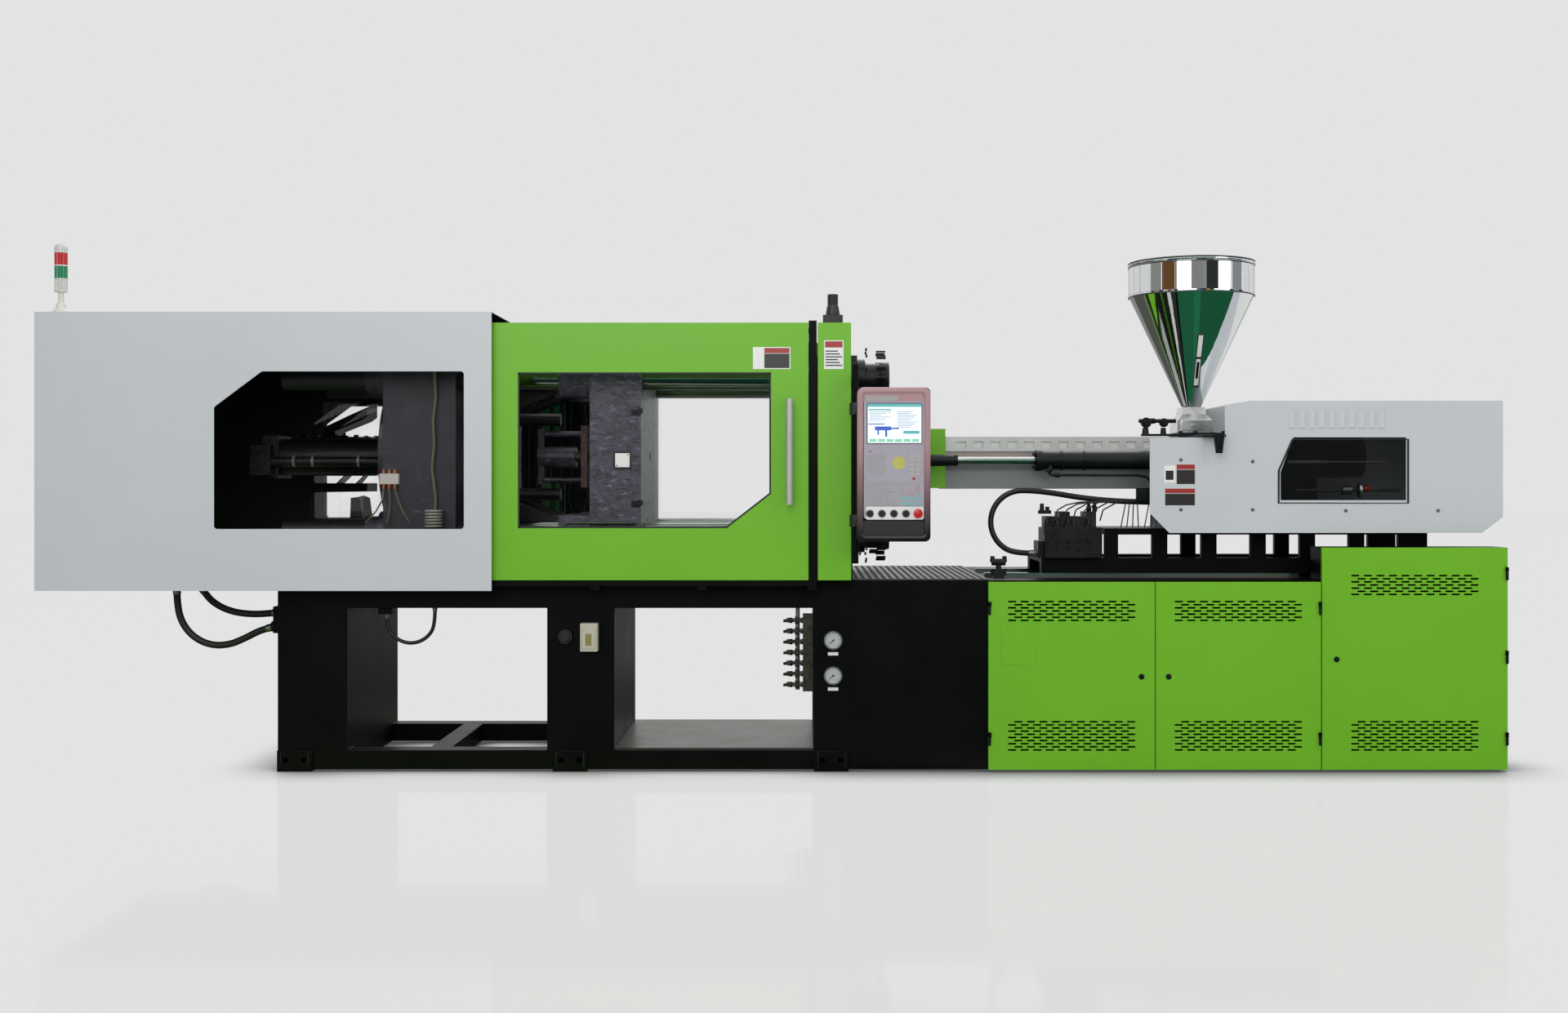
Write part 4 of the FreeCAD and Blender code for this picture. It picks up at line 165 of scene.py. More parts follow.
class Skin:
    """A principled material and what its patterns build on: tree, sockets and coordinates."""

    def __init__(self, name, hex_value, roughness, metallic, sockets):
        self.material = bpy.data.materials.new(name)
        self.material.use_nodes = True
        self.tree = self.material.node_tree
        self.colour, self.roughness = linear(hex_value), roughness
        self.shader = self.tree.nodes["Principled BSDF"].inputs
        own = {"Base Color": self.colour, "Roughness": roughness, "Metallic": metallic, **sockets}
        if "Emission Strength" in sockets:
            own["Emission Color"] = self.colour
        for key, value in own.items():
            self.shader[key].default_value = value
        self.material.diffuse_color = self.colour
        self.place = self.tree.nodes.new("ShaderNodeTexCoord").outputs["Object"]

    def drive(self, name, output):
        self.tree.links.new(output, self.shader[name])

    def overlay(self, factor, hex_value):
        """Lays another colour over the base colour as far as the factor says."""
        under = self.shader["Base Color"].links[0].from_socket
        mix = add(
            self.tree, "ShaderNodeMix", data_type="RGBA", _0=factor, _6=under, _7=linear(hex_value)
        )
        self.drive("Base Color", mix.outputs[2])


def mottle(skin, amount, size_mm, swing):
    """Varies colour and roughness gently over patches of a real size."""
    noise = add(
        skin.tree, "ShaderNodeTexNoise", Vector=skin.place, Scale=1000 / size_mm, Detail=4.0,
        Roughness=0.6,
    )
    ramp = add(skin.tree, "ShaderNodeValToRGB", Fac=noise)
    ends = ((0.3, 1 - amount), (0.7, 1 + amount))
    for point, (position, share) in zip(ramp.color_ramp.elements, ends):
        point.position = position
        point.color = (*(min(1.0, c * share) for c in skin.colour[:3]), 1.0)
    spread = add(
        skin.tree, "ShaderNodeMapRange", Value=noise,
        _3=skin.roughness - swing, _4=skin.roughness + swing,
    )
    skin.drive("Base Color", ramp.outputs[0])
    skin.drive("Roughness", spread.outputs[0])


def relief(skin, size_mm, height_mm, stretch=(1, 1, 1), detail=2.0, strength=0.6):
    """Adds a fine bumpy surface whose grain has a real size."""
    mapped = add(skin.tree, "ShaderNodeMapping", Vector=skin.place, Scale=stretch)
    noise = add(
        skin.tree, "ShaderNodeTexNoise", Vector=mapped, Scale=1000 / size_mm, Detail=detail,
        Roughness=0.5,
    )
    bump = add(
        skin.tree, "ShaderNodeBump", Height=noise, Strength=strength, Distance=height_mm * MM
    )
    skin.drive("Normal", bump.outputs[0])


def flecks(skin, hex_value, size_mm, share):
    """Scattered scratches and chips of another colour, drawn out sideways."""
    mapped = add(skin.tree, "ShaderNodeMapping", Vector=skin.place, Scale=(0.55, 0.55, 1.5))
    noise = add(
        skin.tree, "ShaderNodeTexNoise", Vector=mapped, Scale=1000 / size_mm, Detail=6.0,
        Roughness=0.72,
    )
    spread = add(skin.tree, "ShaderNodeMapRange", Value=noise, From_Min=share, From_Max=share + 0.1)
    skin.overlay(spread, hex_value)


def masked(skin, axis, test, level, hex_value):
    """Gives the material another colour on one side of a level along an axis, in metres."""
    split = add(skin.tree, "ShaderNodeSeparateXYZ", Vector=skin.place)
    side = add(skin.tree, "ShaderNodeMath", operation=test, _0=split.outputs[axis], _1=level)
    skin.overlay(side, hex_value)
    return side


def painted_shade_inside(skin):
    """Paints shade on the inner face of the toggle cover's sheet, leaving it nearly black."""
    sheet = 1.5 * MM
    split = add(skin.tree, "ShaderNodeSeparateXYZ", Vector=skin.place).outputs
    across = add(skin.tree, "ShaderNodeMath", operation="ABSOLUTE", _0=split["Y"])
    inside = 1.0
    for value, test, level in (
        (split["X"], "LESS_THAN", 0.0),
        (split["X"], "GREATER_THAN", low("toggle_cover").x + sheet),
        (across, "LESS_THAN", -low("toggle_cover").y - sheet),
        (split["Z"], "LESS_THAN", high("toggle_cover").z - sheet),
    ):
        passed = add(skin.tree, "ShaderNodeMath", operation=test, _0=value, _1=level)
        inside = add(skin.tree, "ShaderNodeMath", operation="MULTIPLY", _0=inside, _1=passed)
    # Near black painted shade over the cover's inner face.
    skin.overlay(inside, "070808")


def darkened_behind_tail_platen(skin):
    """Makes the tie bars near black, dull and not metallic behind the tail platen."""
    behind = masked(skin, "X", "LESS_THAN", high("tail_platen").x + 0.02, "121315")
    metal = add(skin.tree, "ShaderNodeMath", operation="SUBTRACT", _0=1.0, _1=behind)
    dull = add(
        skin.tree, "ShaderNodeMath", operation="MULTIPLY_ADD", _0=behind, _1=0.4, _2=0.12
    )
    skin.drive("Metallic", metal.outputs[0])
    skin.drive("Roughness", dull.outputs[0])


def painted_shade_foot(skin):
    """Paints shade on the panel's lacquer, darker towards its foot."""
    split = add(skin.tree, "ShaderNodeSeparateXYZ", Vector=skin.place)
    foot = low("control_panel").z
    fade = add(
        skin.tree, "ShaderNodeMapRange", Value=split.outputs["Z"],
        From_Min=foot + 0.4, From_Max=foot + 0.04,
    )
    # Dark painted shade, full at the foot and gone 0.4 m above it.
    skin.overlay(fade, "120F10")


PAINT = {"IOR": 1.5}

# Each finish: colour of the sidebar or hex value, roughness, metallic, the shader's other sockets,
# then its patterns in order, with their values.
FINISHES = {
    # Baked powder paint: even colour, a soft gloss and a faint orange-peel skin. The peel is about
    # 2 mm across, drawn at 6 mm so that it shows from a few metres.
    "green_powder_coat": ("green", 0.36, 0, PAINT, (mottle, 0.025, 420, 0.04), (relief, 6, 0.05)),
    # The same green coat darkened with painted shade.
    "green_shade_coat": ("1F7A38", 0.36, 0, PAINT, (mottle, 0.025, 420, 0.04), (relief, 6, 0.05)),
    # Pale grey powder coat, with painted shade that leaves its inner face under the sheet nearly black.
    "grey_powder_coat": (
        "grey", 0.34, 0, PAINT, (mottle, 0.02, 600, 0.04), (relief, 6, 0.05), (painted_shade_inside,),
    ),
    # Brushed-on machine enamel over welded plate: black, half glossy, slightly dusty.
    "black_machine_enamel": (
        "black", 0.4, 0, {"IOR": 1.4, "Specular IOR Level": 0.14},
        (mottle, 0.35, 260, 0.09), (relief, 9, 0.12),
    ),
    # The moving platen: brushed violet primer, scratched by moulds, and its milled mould face.
    "scratched_casting": (
        "3A3845", 0.42, 0, PAINT, (mottle, 0.55, 46, 0.14), (flecks, "686476", 24, 0.54),
        (flecks, "1A1920", 44, 0.56),
        (masked, "X", "GREATER_THAN", high("moving_platen").x - 0.0006, "59625C"),
        (flecks, "1E2522", 70, 0.56), (relief, 20, 5.0, (1.0, 1.0, 0.8), 6.0),
    ),
    # Primed and painted sand casting: dark violet grey. Sand grain is under 1 mm; it is drawn at
    # 12 mm and stretched upwards, as a brush leaves paint.
    "painted_casting": (
        "casting", 0.5, 0, PAINT, (mottle, 0.45, 90, 0.12), (flecks, "524F60", 40, 0.62),
        (relief, 12, 0.9, (1.6, 1.6, 0.5), 5.0),
    ),
    # Oily iron of the ejector: dark, with brown film rust.
    "film_rusted_iron": (
        "4A3A36", 0.5, 0.5, {},
        (mottle, 0.5, 30, 0.1), (flecks, "7A6258", 18, 0.6), (relief, 8, 0.4),
    ),
    # Ground and hard-chromed bar: bright, with faint rings round it from grinding.
    "hard_chrome": (
        "A9AEAB", 0.11, 1, {}, (mottle, 0.05, 300, 0.04), (relief, 5, 0.02, (1, 0.02, 0.02)),
    ),
    # Tie bars: chromed between the platens, near black, dull and not metallic behind the tail platen.
    "oily_tie_bar": (
        "7C8580", 0.13, 1, {}, (mottle, 0.08, 260, 0.05), (darkened_behind_tail_platen,),
        (relief, 5, 0.02, (1, 0.02, 0.02)),
    ),
    # Turned and oiled carbon steel: mid grey metal with a satin sheen.
    "turned_steel": (
        "8C8F92", 0.32, 1, {}, (mottle, 0.12, 70, 0.09), (relief, 5, 0.05, (1, 0.1, 0.1)),
    ),
    # Black-oxided steel of screws, nuts and links: near black with a dull metal sheen.
    "blackened_steel": ("1B1C1F", 0.42, 0.6, {}, (mottle, 0.35, 60, 0.1), (relief, 8, 0.15)),
    # Rolled stainless sheet of the barrel's guard, with painted light and shade in level bands where its
    # folds catch light.
    "brushed_stainless_sheet": (
        "CDCFCE", 0.36, 0.6, {},
        # Level bands of painted light and shade on the guard's folds.
        (mottle, 0.06, 200, 0.05), (masked, "Z", "LESS_THAN", 1.378, "A1948C"),
        (masked, "Z", "LESS_THAN", 1.335, "6E6F70"), (masked, "Z", "LESS_THAN", 1.296, "8C8D8E"),
    ),
    # Weld seam ground back by hand: dull, darker than the polished sheet beside it.
    "ground_weld_seam": ("5C5F60", 0.42, 1, {}, (mottle, 0.3, 14, 0.12)),
    # Mirror-polished stainless sheet. It waves over about 60 mm, which breaks what it reflects
    # into streaks.
    "mirror_stainless": ("E2E4E5", 0.035, 1, {}, (relief, 60, 0.5, (1, 1, 0.06), 3.0)),
    # Brushed stainless sheet with a satin mill finish: pale, streaked, slightly blurred.
    "brushed_stainless": (
        "D4D6D5", 0.22, 1, {}, (mottle, 0.12, 50, 0.08), (relief, 6, 0.05, (1, 1, 0.08)),
    ),
    # Rolled stainless of the hopper's lid: dull, so that it mirrors nothing sharply.
    "satin_lid_stainless": (
        "7E8182", 0.5, 0.85, {}, (mottle, 0.06, 160, 0.06), (relief, 4, 0.03, (0.1, 1, 1)),
    ),
    # Worn checker plate: dull grey steel with bright tops where feet have rubbed it.
    "checker_plate_steel": ("4C4E4A", 0.4, 0.8, {}, (mottle, 0.2, 120, 0.1), (relief, 7, 0.1)),
    # Oily sheet of the drip tray: olive grey.
    "oily_tray_steel": ("4A4A40", 0.35, 0.6, {}, (mottle, 0.25, 150, 0.12), (relief, 9, 0.1)),
    # Clear polycarbonate of the guard windows: nearly invisible, with a soft reflection.
    "clear_polycarbonate": (
        "F4F8F6", 0.04, 0,
        {"IOR": 1.2, "Transmission Weight": 1.0, "Alpha": 0.05, "Specular IOR Level": 0.1},
        (mottle, 0.02, 220, 0.02),
    ),
    # Smoked acrylic window of the injection cover: dark brown-black, very glossy.
    "smoked_acrylic": (
        "101213", 0.07, 0, {"IOR": 1.3, "Alpha": 0.5, "Specular IOR Level": 0.2},
        (mottle, 0.1, 300, 0.02),
    ),
    # Rubber-covered hydraulic hose: black, with the wrap marks of its cloth curing.
    "nitrile_hose_cover": (
        "131314", 0.5, 0, {"IOR": 1.52}, (mottle, 0.25, 40, 0.08), (relief, 6, 0.25),
    ),
    # Nickelled brass fittings, dulled to olive grey by cooling water.
    "dull_brass": ("45453A", 0.4, 0.8, {}, (mottle, 0.35, 25, 0.1)),
    # Rose-grey metallic lacquer over moulded plastic, with painted shade that darkens it towards its
    # foot.
    "rose_grey_lacquer": (
        "AC888C", 0.3, 0, PAINT, (mottle, 0.05, 120, 0.05), (painted_shade_foot,), (relief, 4, 0.03),
    ),
    # Anodised aluminium of the door's bow handle: pale, even and satin.
    "satin_aluminium": (
        "BFC4BA", 0.4, 0.55, {}, (mottle, 0.05, 80, 0.05), (relief, 5, 0.02, (1, 1, 0.05)),
    ),
}

# Injection-moulded ABS and printed film, with a fine sparked grain.
for name, hex_value, roughness in (
    ("black_abs", "141416", 0.42),
    ("graphite_abs", "1F1C21", 0.42),
    ("dark_bezel_abs", "6A6F78", 0.42),
    ("ivory_abs", "BDBAA8", 0.35),
    ("red_abs", "C01712", 0.25),
    ("amber_flap", "8F8650", 0.2),
    ("milky_acrylic", "D9DDDB", 0.12),
    ("white_polycarbonate", "DAD9D2", 0.3),
    ("pale_heater_jacket", "D2D2CE", 0.5),
    ("pale_zinc_block", "B4AFAA", 0.4),
    ("grey_pipe_enamel", "6E6E76", 0.3),
    ("orange_ferrule", "B8603A", 0.4),
    ("olive_cable", "5B5D45", 0.45),
    ("grey_cable", "8B8E84", 0.45),
    ("white_dial_enamel", "B4B6B4", 0.3),
    ("black_dial_ink", "1A1A1A", 0.4),
    ("white_label_film", "E9E9E6", 0.3),
    ("grey_label_film", "A3A09D", 0.3),
    ("dark_label_film", "2A2526", 0.3),
    ("red_label_film", "A02A2A", 0.3),
    ("pearl_panel_film", "A6A2AE", 0.25),
    ("grey_key_film", "A09F9F", 0.3),
    ("teal_key_film", "7FB5B0", 0.3),
    ("olive_key_film", "B2B39F", 0.3),
    ("pink_key_film", "C08A96", 0.3),
    ("yellow_key_film", "BDBB5E", 0.3),
):
    FINISHES[name] = (
        hex_value, roughness, 0, {"IOR": 1.53}, (mottle, 0.04, 90, 0.05), (relief, 4, 0.06)
    )

# Tinted polycarbonate lenses, with upright ribs that scatter the light inside.
for name, hex_value, glow in (
    ("clear_lens", "C9CCC6", 0.0), ("green_lens", "0E7A52", 0.1), ("red_lens", "B01E22", 0.1),
):
    FINISHES[name] = (
        hex_value, 0.18, 0, {"IOR": 1.58, "Emission Strength": glow},
        (relief, 1000 / 220, 0.3, (1, 1, 1), 2.0, 0.4),
    )

# Backlit display: even colours with a weak glow under flat glass.
for name, hex_value in (
    ("screen_paper", "E4ECF2"), ("screen_teal", "58A7A8"), ("screen_blue", "3D5CB4"),
    ("screen_green", "7CC6A0"), ("screen_rows", "7B8EA6"),
):
    FINISHES[name] = (hex_value, 0.12, 0, {"IOR": 1.5, "Emission Strength": 0.35})


def finish(name):
    """The material of that name, made at its first use."""
    made = bpy.data.materials.get(name)
    if made:
        return made
    hex_value, roughness, metallic, sockets, *patterns = FINISHES[name]
    skin = Skin(name, getattr(colours(), hex_value, hex_value), roughness, metallic, sockets)
    for pattern, *values in patterns:
        pattern(skin, *values)
    return skin.material


# ------------------------------------------------------------------ mesh helpers


class Shape:
    """Collects solids in one mesh, in millimetres in the machine's frame."""

    def __init__(self):
        self.mesh = bmesh.new()

    def box(self, x, y, z):
        """A box between two coordinates along each axis."""
        made = bmesh.ops.create_cube(self.mesh, size=1.0)["verts"]
        for vertex in made:
            for axis, (start, end) in enumerate((x, y, z)):
                vertex.co[axis] = start if vertex.co[axis] < 0 else end
        return made

    def rod(self, start, end, radius, second=None, sides=28):
        """A round bar or cone between two points."""
        start, end = Vector(start), Vector(end)
        run = end - start
        turn = Vector((0, 0, 1)).rotation_difference(run).to_matrix().to_4x4()
        place = Matrix.Translation((start + end) / 2) @ turn
        bmesh.ops.create_cone(
            self.mesh, cap_ends=True, segments=sides, radius1=radius,
            radius2=radius if second is None else second, depth=run.length, matrix=place,
        )

    def hexagon(self, start, end, radius):
        """A hexagon head or nut."""
        self.rod(start, end, radius, sides=6)

    def tube(self, route, y, radius, sides=28):
        """Rods end to end through points of X and Z at one depth."""
        for (xa, za), (xb, zb) in zip(route, route[1:]):
            self.rod((xa, y, za), (xb, y, zb), radius, None, sides)

    def rings(self, rings, closed=False, caps=False):
        """Faces between rings of points, with the ends closed on each other, capped or open."""
        rings = [[self.mesh.verts.new(point) for point in ring] for ring in rings]
        pairs = list(zip(rings, rings[1:]))
        if closed:
            pairs.append((rings[-1], rings[0]))
        count = len(rings[0])
        for lower, upper in pairs:
            for i in range(count):
                j = (i + 1) % count
                self.mesh.faces.new((lower[i], lower[j], upper[j], upper[i]))
        if caps:
            self.mesh.faces.new(rings[0])
            self.mesh.faces.new(rings[-1])

    def prism(self, outline, axis, start, end):
        """A flat outline swept along one axis; its points use the other two axes in order."""
        self.rings(
            [[(*point[:axis], level, *point[axis:]) for point in outline] for level in (start, end)],
            caps=True,
        )

    def lathe(self, profile, centre, sides=48, closed=True):
        """A profile of radius and height turned round an upright axis."""
        turns = [2 * math.pi * i / sides for i in range(sides)]
        self.rings(
            [
                [(centre[0] + r * math.cos(a), centre[1] + r * math.sin(a), height) for a in turns]
                for r, height in profile
            ],
            closed,
        )

    def turn(self, vertices, centre, axis, degrees):
        bmesh.ops.rotate(
            self.mesh, verts=vertices, cent=Vector(centre),
            matrix=Matrix.Rotation(math.radians(degrees), 3, axis),
        )

    def object(self, name):
        """Ends the mesh as an object at the origin, in metres."""
        bmesh.ops.recalc_face_normals(self.mesh, faces=self.mesh.faces)
        bmesh.ops.scale(self.mesh, vec=(MM, MM, MM), verts=self.mesh.verts)
        data = bpy.data.meshes.new(name)
        self.mesh.to_mesh(data)
        self.mesh.free()
        made = bpy.data.objects.new(name, data)
        bpy.context.scene.collection.objects.link(made)
        return made

    def piece(self, name, material, body, slot, bevel=0.0, smooth=30.0, merge=False):
        """Ends the mesh as one piece that rides on a body."""
        if merge:
            bmesh.ops.remove_doubles(self.mesh, verts=self.mesh.verts, dist=0.01)
        return dress(self.object(name), material, body, bevel, smooth)


def dress(made, material, body, bevel=0.0, smooth=30.0):
    """Links an object, gives it a material, rounded edges and a body to ride on."""
    if made.name not in bpy.context.scene.collection.all_objects:
        bpy.context.scene.collection.objects.link(made)
    if not made.data.materials:
        made.data.materials.append(finish(material))
    if smooth and made.type == "MESH":
        made.data.shade_smooth()
        made.data.set_sharp_from_angle(angle=math.radians(smooth))
    if bevel:
        rounding = made.modifiers.new("rounded edges", "BEVEL")
        rounding.width = bevel * MM
        rounding.segments = 2
        rounding.limit_method = "ANGLE"
        rounding.angle_limit = math.radians(40)
        rounding.use_clamp_overlap = True
    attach(made, body)
    return made


def finish_node(name, material, round_mm):
    """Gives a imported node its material; a rounded, joined copy stands in for it if asked."""
    node = frame["nodes"][name]
    if not round_mm:
        node.data.materials.clear()
        node.data.materials.append(finish(material))
        return
    joined = bmesh.new()
    joined.from_mesh(node.data)
    bmesh.ops.remove_doubles(joined, verts=joined.verts, dist=0.02 * MM)
    bmesh.ops.dissolve_limit(
        joined, angle_limit=math.radians(0.5), verts=joined.verts, edges=joined.edges
    )
    data = bpy.data.meshes.new(name + "_rounded")
    joined.to_mesh(data)
    joined.free()
    made = bpy.data.objects.new(name + "_rounded", data)
    dress(made, material, body_of(name), round_mm)
    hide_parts(name)


def fit(name, material, body, slot, *parts, bevel=0.6):
    """One piece out of boxes, given by three spans, and rods, given by two ends and radii."""
    shape = Shape()
    for part in parts:
        if len(part[0]) == 2:
            shape.box(*part)
        else:
            shape.rod(*part)
    return shape.piece(name, material, body, slot, bevel)


def window_seal(corners, wide, y0, y1, name, body):
    """A flat rubber strip along the inside of an outline given as corners of X and Z."""
    middle = Vector((sum(p[0] for p in corners), sum(p[1] for p in corners))) / len(corners)
    strip = Shape()
    for start, end in zip(corners, corners[1:] + corners[:1]):
        a, b = Vector(start), Vector(end)
        inward = [point + (middle - point).normalized() * wide * 1.4 for point in (b, a)]
        strip.prism([tuple(p) for p in (a, b, *inward)], 1, y0, y1)
    strip.piece(name, "nitrile_hose_cover", body, "hose_rubber")


# ------------------------------------------------------------------ geometry node trees


def new_tree(name, **inputs):
    """A geometry node tree with named inputs and one geometry output."""
    tree = bpy.data.node_groups.new(name, "GeometryNodeTree")
    for label, kind in inputs.items():
        tree.interface.new_socket(
            label.replace("_", " "), in_out="INPUT", socket_type=f"NodeSocket{kind}"
        )
    tree.interface.new_socket("Geometry", in_out="OUTPUT", socket_type="NodeSocketGeometry")
    return tree, tree.nodes.new("NodeGroupInput").outputs


def close_tree(tree, geometry, material):
    real = add(tree, "GeometryNodeRealizeInstances", Geometry=geometry)
    add(
        tree, "NodeGroupOutput",
        _0=add(tree, "GeometryNodeSetMaterial", Geometry=real, Material=finish(material)),
    )


def grow(tree, name, **values):
    """Runs a tree on an empty object and returns the plain mesh object that it makes."""
    blank = bpy.data.objects.new(name + "_source", bpy.data.meshes.new(name + "_blank"))
    bpy.context.scene.collection.objects.link(blank)
    modifier = blank.modifiers.new("tree", "NODES")
    modifier.node_group = tree
    for item in tree.interface.items_tree:
        if item.in_out == "INPUT":
            modifier[item.identifier] = values[item.name.replace(" ", "_")]
    bpy.context.view_layer.update()
    ready = blank.evaluated_get(bpy.context.evaluated_depsgraph_get())
    data = bpy.data.meshes.new_from_object(ready)
    bpy.data.objects.remove(blank)
    data.name = name
    return bpy.data.objects.new(name, data)


def stand_up(made, place):
    """Turns a flat mesh in XY to face the operator, at a place in metres."""
    made.data.transform(Matrix.Translation(place) @ Matrix.Rotation(math.pi / 2, 4, "X"))


def slotted_sheet_tree(material):
    """A sheet with two fields of staggered slots, cut by filling curves inside its outline."""
    tree, source = new_tree(
        "slotted_sheet", Width="Float", Height="Float", Slot_Length="Float", Slot_Height="Float",
        Pitch="Float", Row_Pitch="Float", Columns="Int", Upper_Rows="Int", Lower_Rows="Int",
        Upper_Centre="Float", Lower_Centre="Float", Thickness="Float",
    )
    outline = add(
        tree, "GeometryNodeCurvePrimitiveQuadrilateral",
        Width=source["Width"], Height=source["Height"],
    )
    slot = add(
        tree, "GeometryNodeCurvePrimitiveQuadrilateral",
        Width=source["Slot Length"], Height=source["Slot Height"],
    )
    nearly_half = add(
        tree, "ShaderNodeMath", operation="MULTIPLY", _0=source["Slot Height"], _1=0.49
    )
    rounded = add(tree, "GeometryNodeFilletCurve", Curve=slot, Radius=nearly_half)
    mode = rounded.inputs.get("Mode")
    if mode:
        mode.default_value = "Poly"
    else:
        rounded.mode = "POLY"
    rounded.inputs["Count"].default_value = 3
    joined = tree.nodes.new("GeometryNodeJoinGeometry")
    tree.links.new(outline.outputs[0], joined.inputs[0])
    for rows, centre in (("Upper Rows", "Upper Centre"), ("Lower Rows", "Lower Centre")):
        sides = []
        for count, pitch in (("Columns", "Pitch"), (rows, "Row Pitch")):
            gaps = add(tree, "ShaderNodeMath", operation="SUBTRACT", _0=source[count], _1=1.0)
            sides.append(
                add(tree, "ShaderNodeMath", operation="MULTIPLY", _0=gaps, _1=source[pitch])
            )
        grid = add(
            tree, "GeometryNodeMeshGrid", Size_X=sides[0], Size_Y=sides[1],
            Vertices_X=source["Columns"], Vertices_Y=source[rows],
        )
        number = tree.nodes.new("GeometryNodeInputIndex")
        row = add(tree, "ShaderNodeMath", operation="MODULO", _0=number, _1=source[rows])
        odd = add(tree, "ShaderNodeMath", operation="MODULO", _0=row, _1=2.0)
        share = add(tree, "ShaderNodeMath", operation="MULTIPLY_ADD", _0=odd, _1=0.5, _2=-0.25)
        shift = add(tree, "ShaderNodeMath", operation="MULTIPLY", _0=share, _1=source["Pitch"])
        place = add(tree, "ShaderNodeCombineXYZ", X=shift, Y=source[centre])
        moved = add(tree, "GeometryNodeSetPosition", Geometry=grid, Offset=place)
        copies = add(tree, "GeometryNodeInstanceOnPoints", Points=moved, Instance=rounded)
        real = add(tree, "GeometryNodeRealizeInstances", Geometry=copies)
        tree.links.new(real.outputs[0], joined.inputs[0])
    flat = add(tree, "GeometryNodeFillCurve", Curve=joined)
    up = add(
        tree, "GeometryNodeExtrudeMesh", mode="FACES",
        Mesh=flat, Offset_Scale=source["Thickness"], Individual=False,
    )
    under = add(tree, "GeometryNodeFlipFaces", Mesh=flat)
    both = tree.nodes.new("GeometryNodeJoinGeometry")
    for side in (up, under):
        tree.links.new(side.outputs[0], both.inputs[0])
    closed = add(tree, "GeometryNodeMergeByDistance", Geometry=both, Distance=1e-5)
    close_tree(tree, closed, material)
    return tree


def grid_tree(name, material, turn_rows=0.0):
    """Copies a small piece over a grid; every second copy may be turned."""
    tree, source = new_tree(
        name, Piece="Object", Size_X="Float", Size_Y="Float", Columns="Int", Rows="Int"
    )
    grid = add(
        tree, "GeometryNodeMeshGrid", Size_X=source["Size X"], Size_Y=source["Size Y"],
        Vertices_X=source["Columns"], Vertices_Y=source["Rows"],
    )
    number = tree.nodes.new("GeometryNodeInputIndex")
    odd = add(tree, "ShaderNodeMath", operation="MODULO", _0=number, _1=2.0)
    angle = add(
        tree, "ShaderNodeMath", operation="MULTIPLY_ADD",
        _0=odd, _1=math.radians(turn_rows), _2=-math.radians(turn_rows) / 2,
    )
    spin = add(tree, "ShaderNodeCombineXYZ", Z=angle)
    what = add(tree, "GeometryNodeObjectInfo", Object=source["Piece"])
    copies = add(
        tree, "GeometryNodeInstanceOnPoints", Points=grid, Instance=what.outputs["Geometry"],
        Rotation=spin,
    )
    close_tree(tree, copies, material)
    return tree


# ------------------------------------------------------------------ operators


class Build(Operator):
    bl_options = {"REGISTER", "UNDO"}


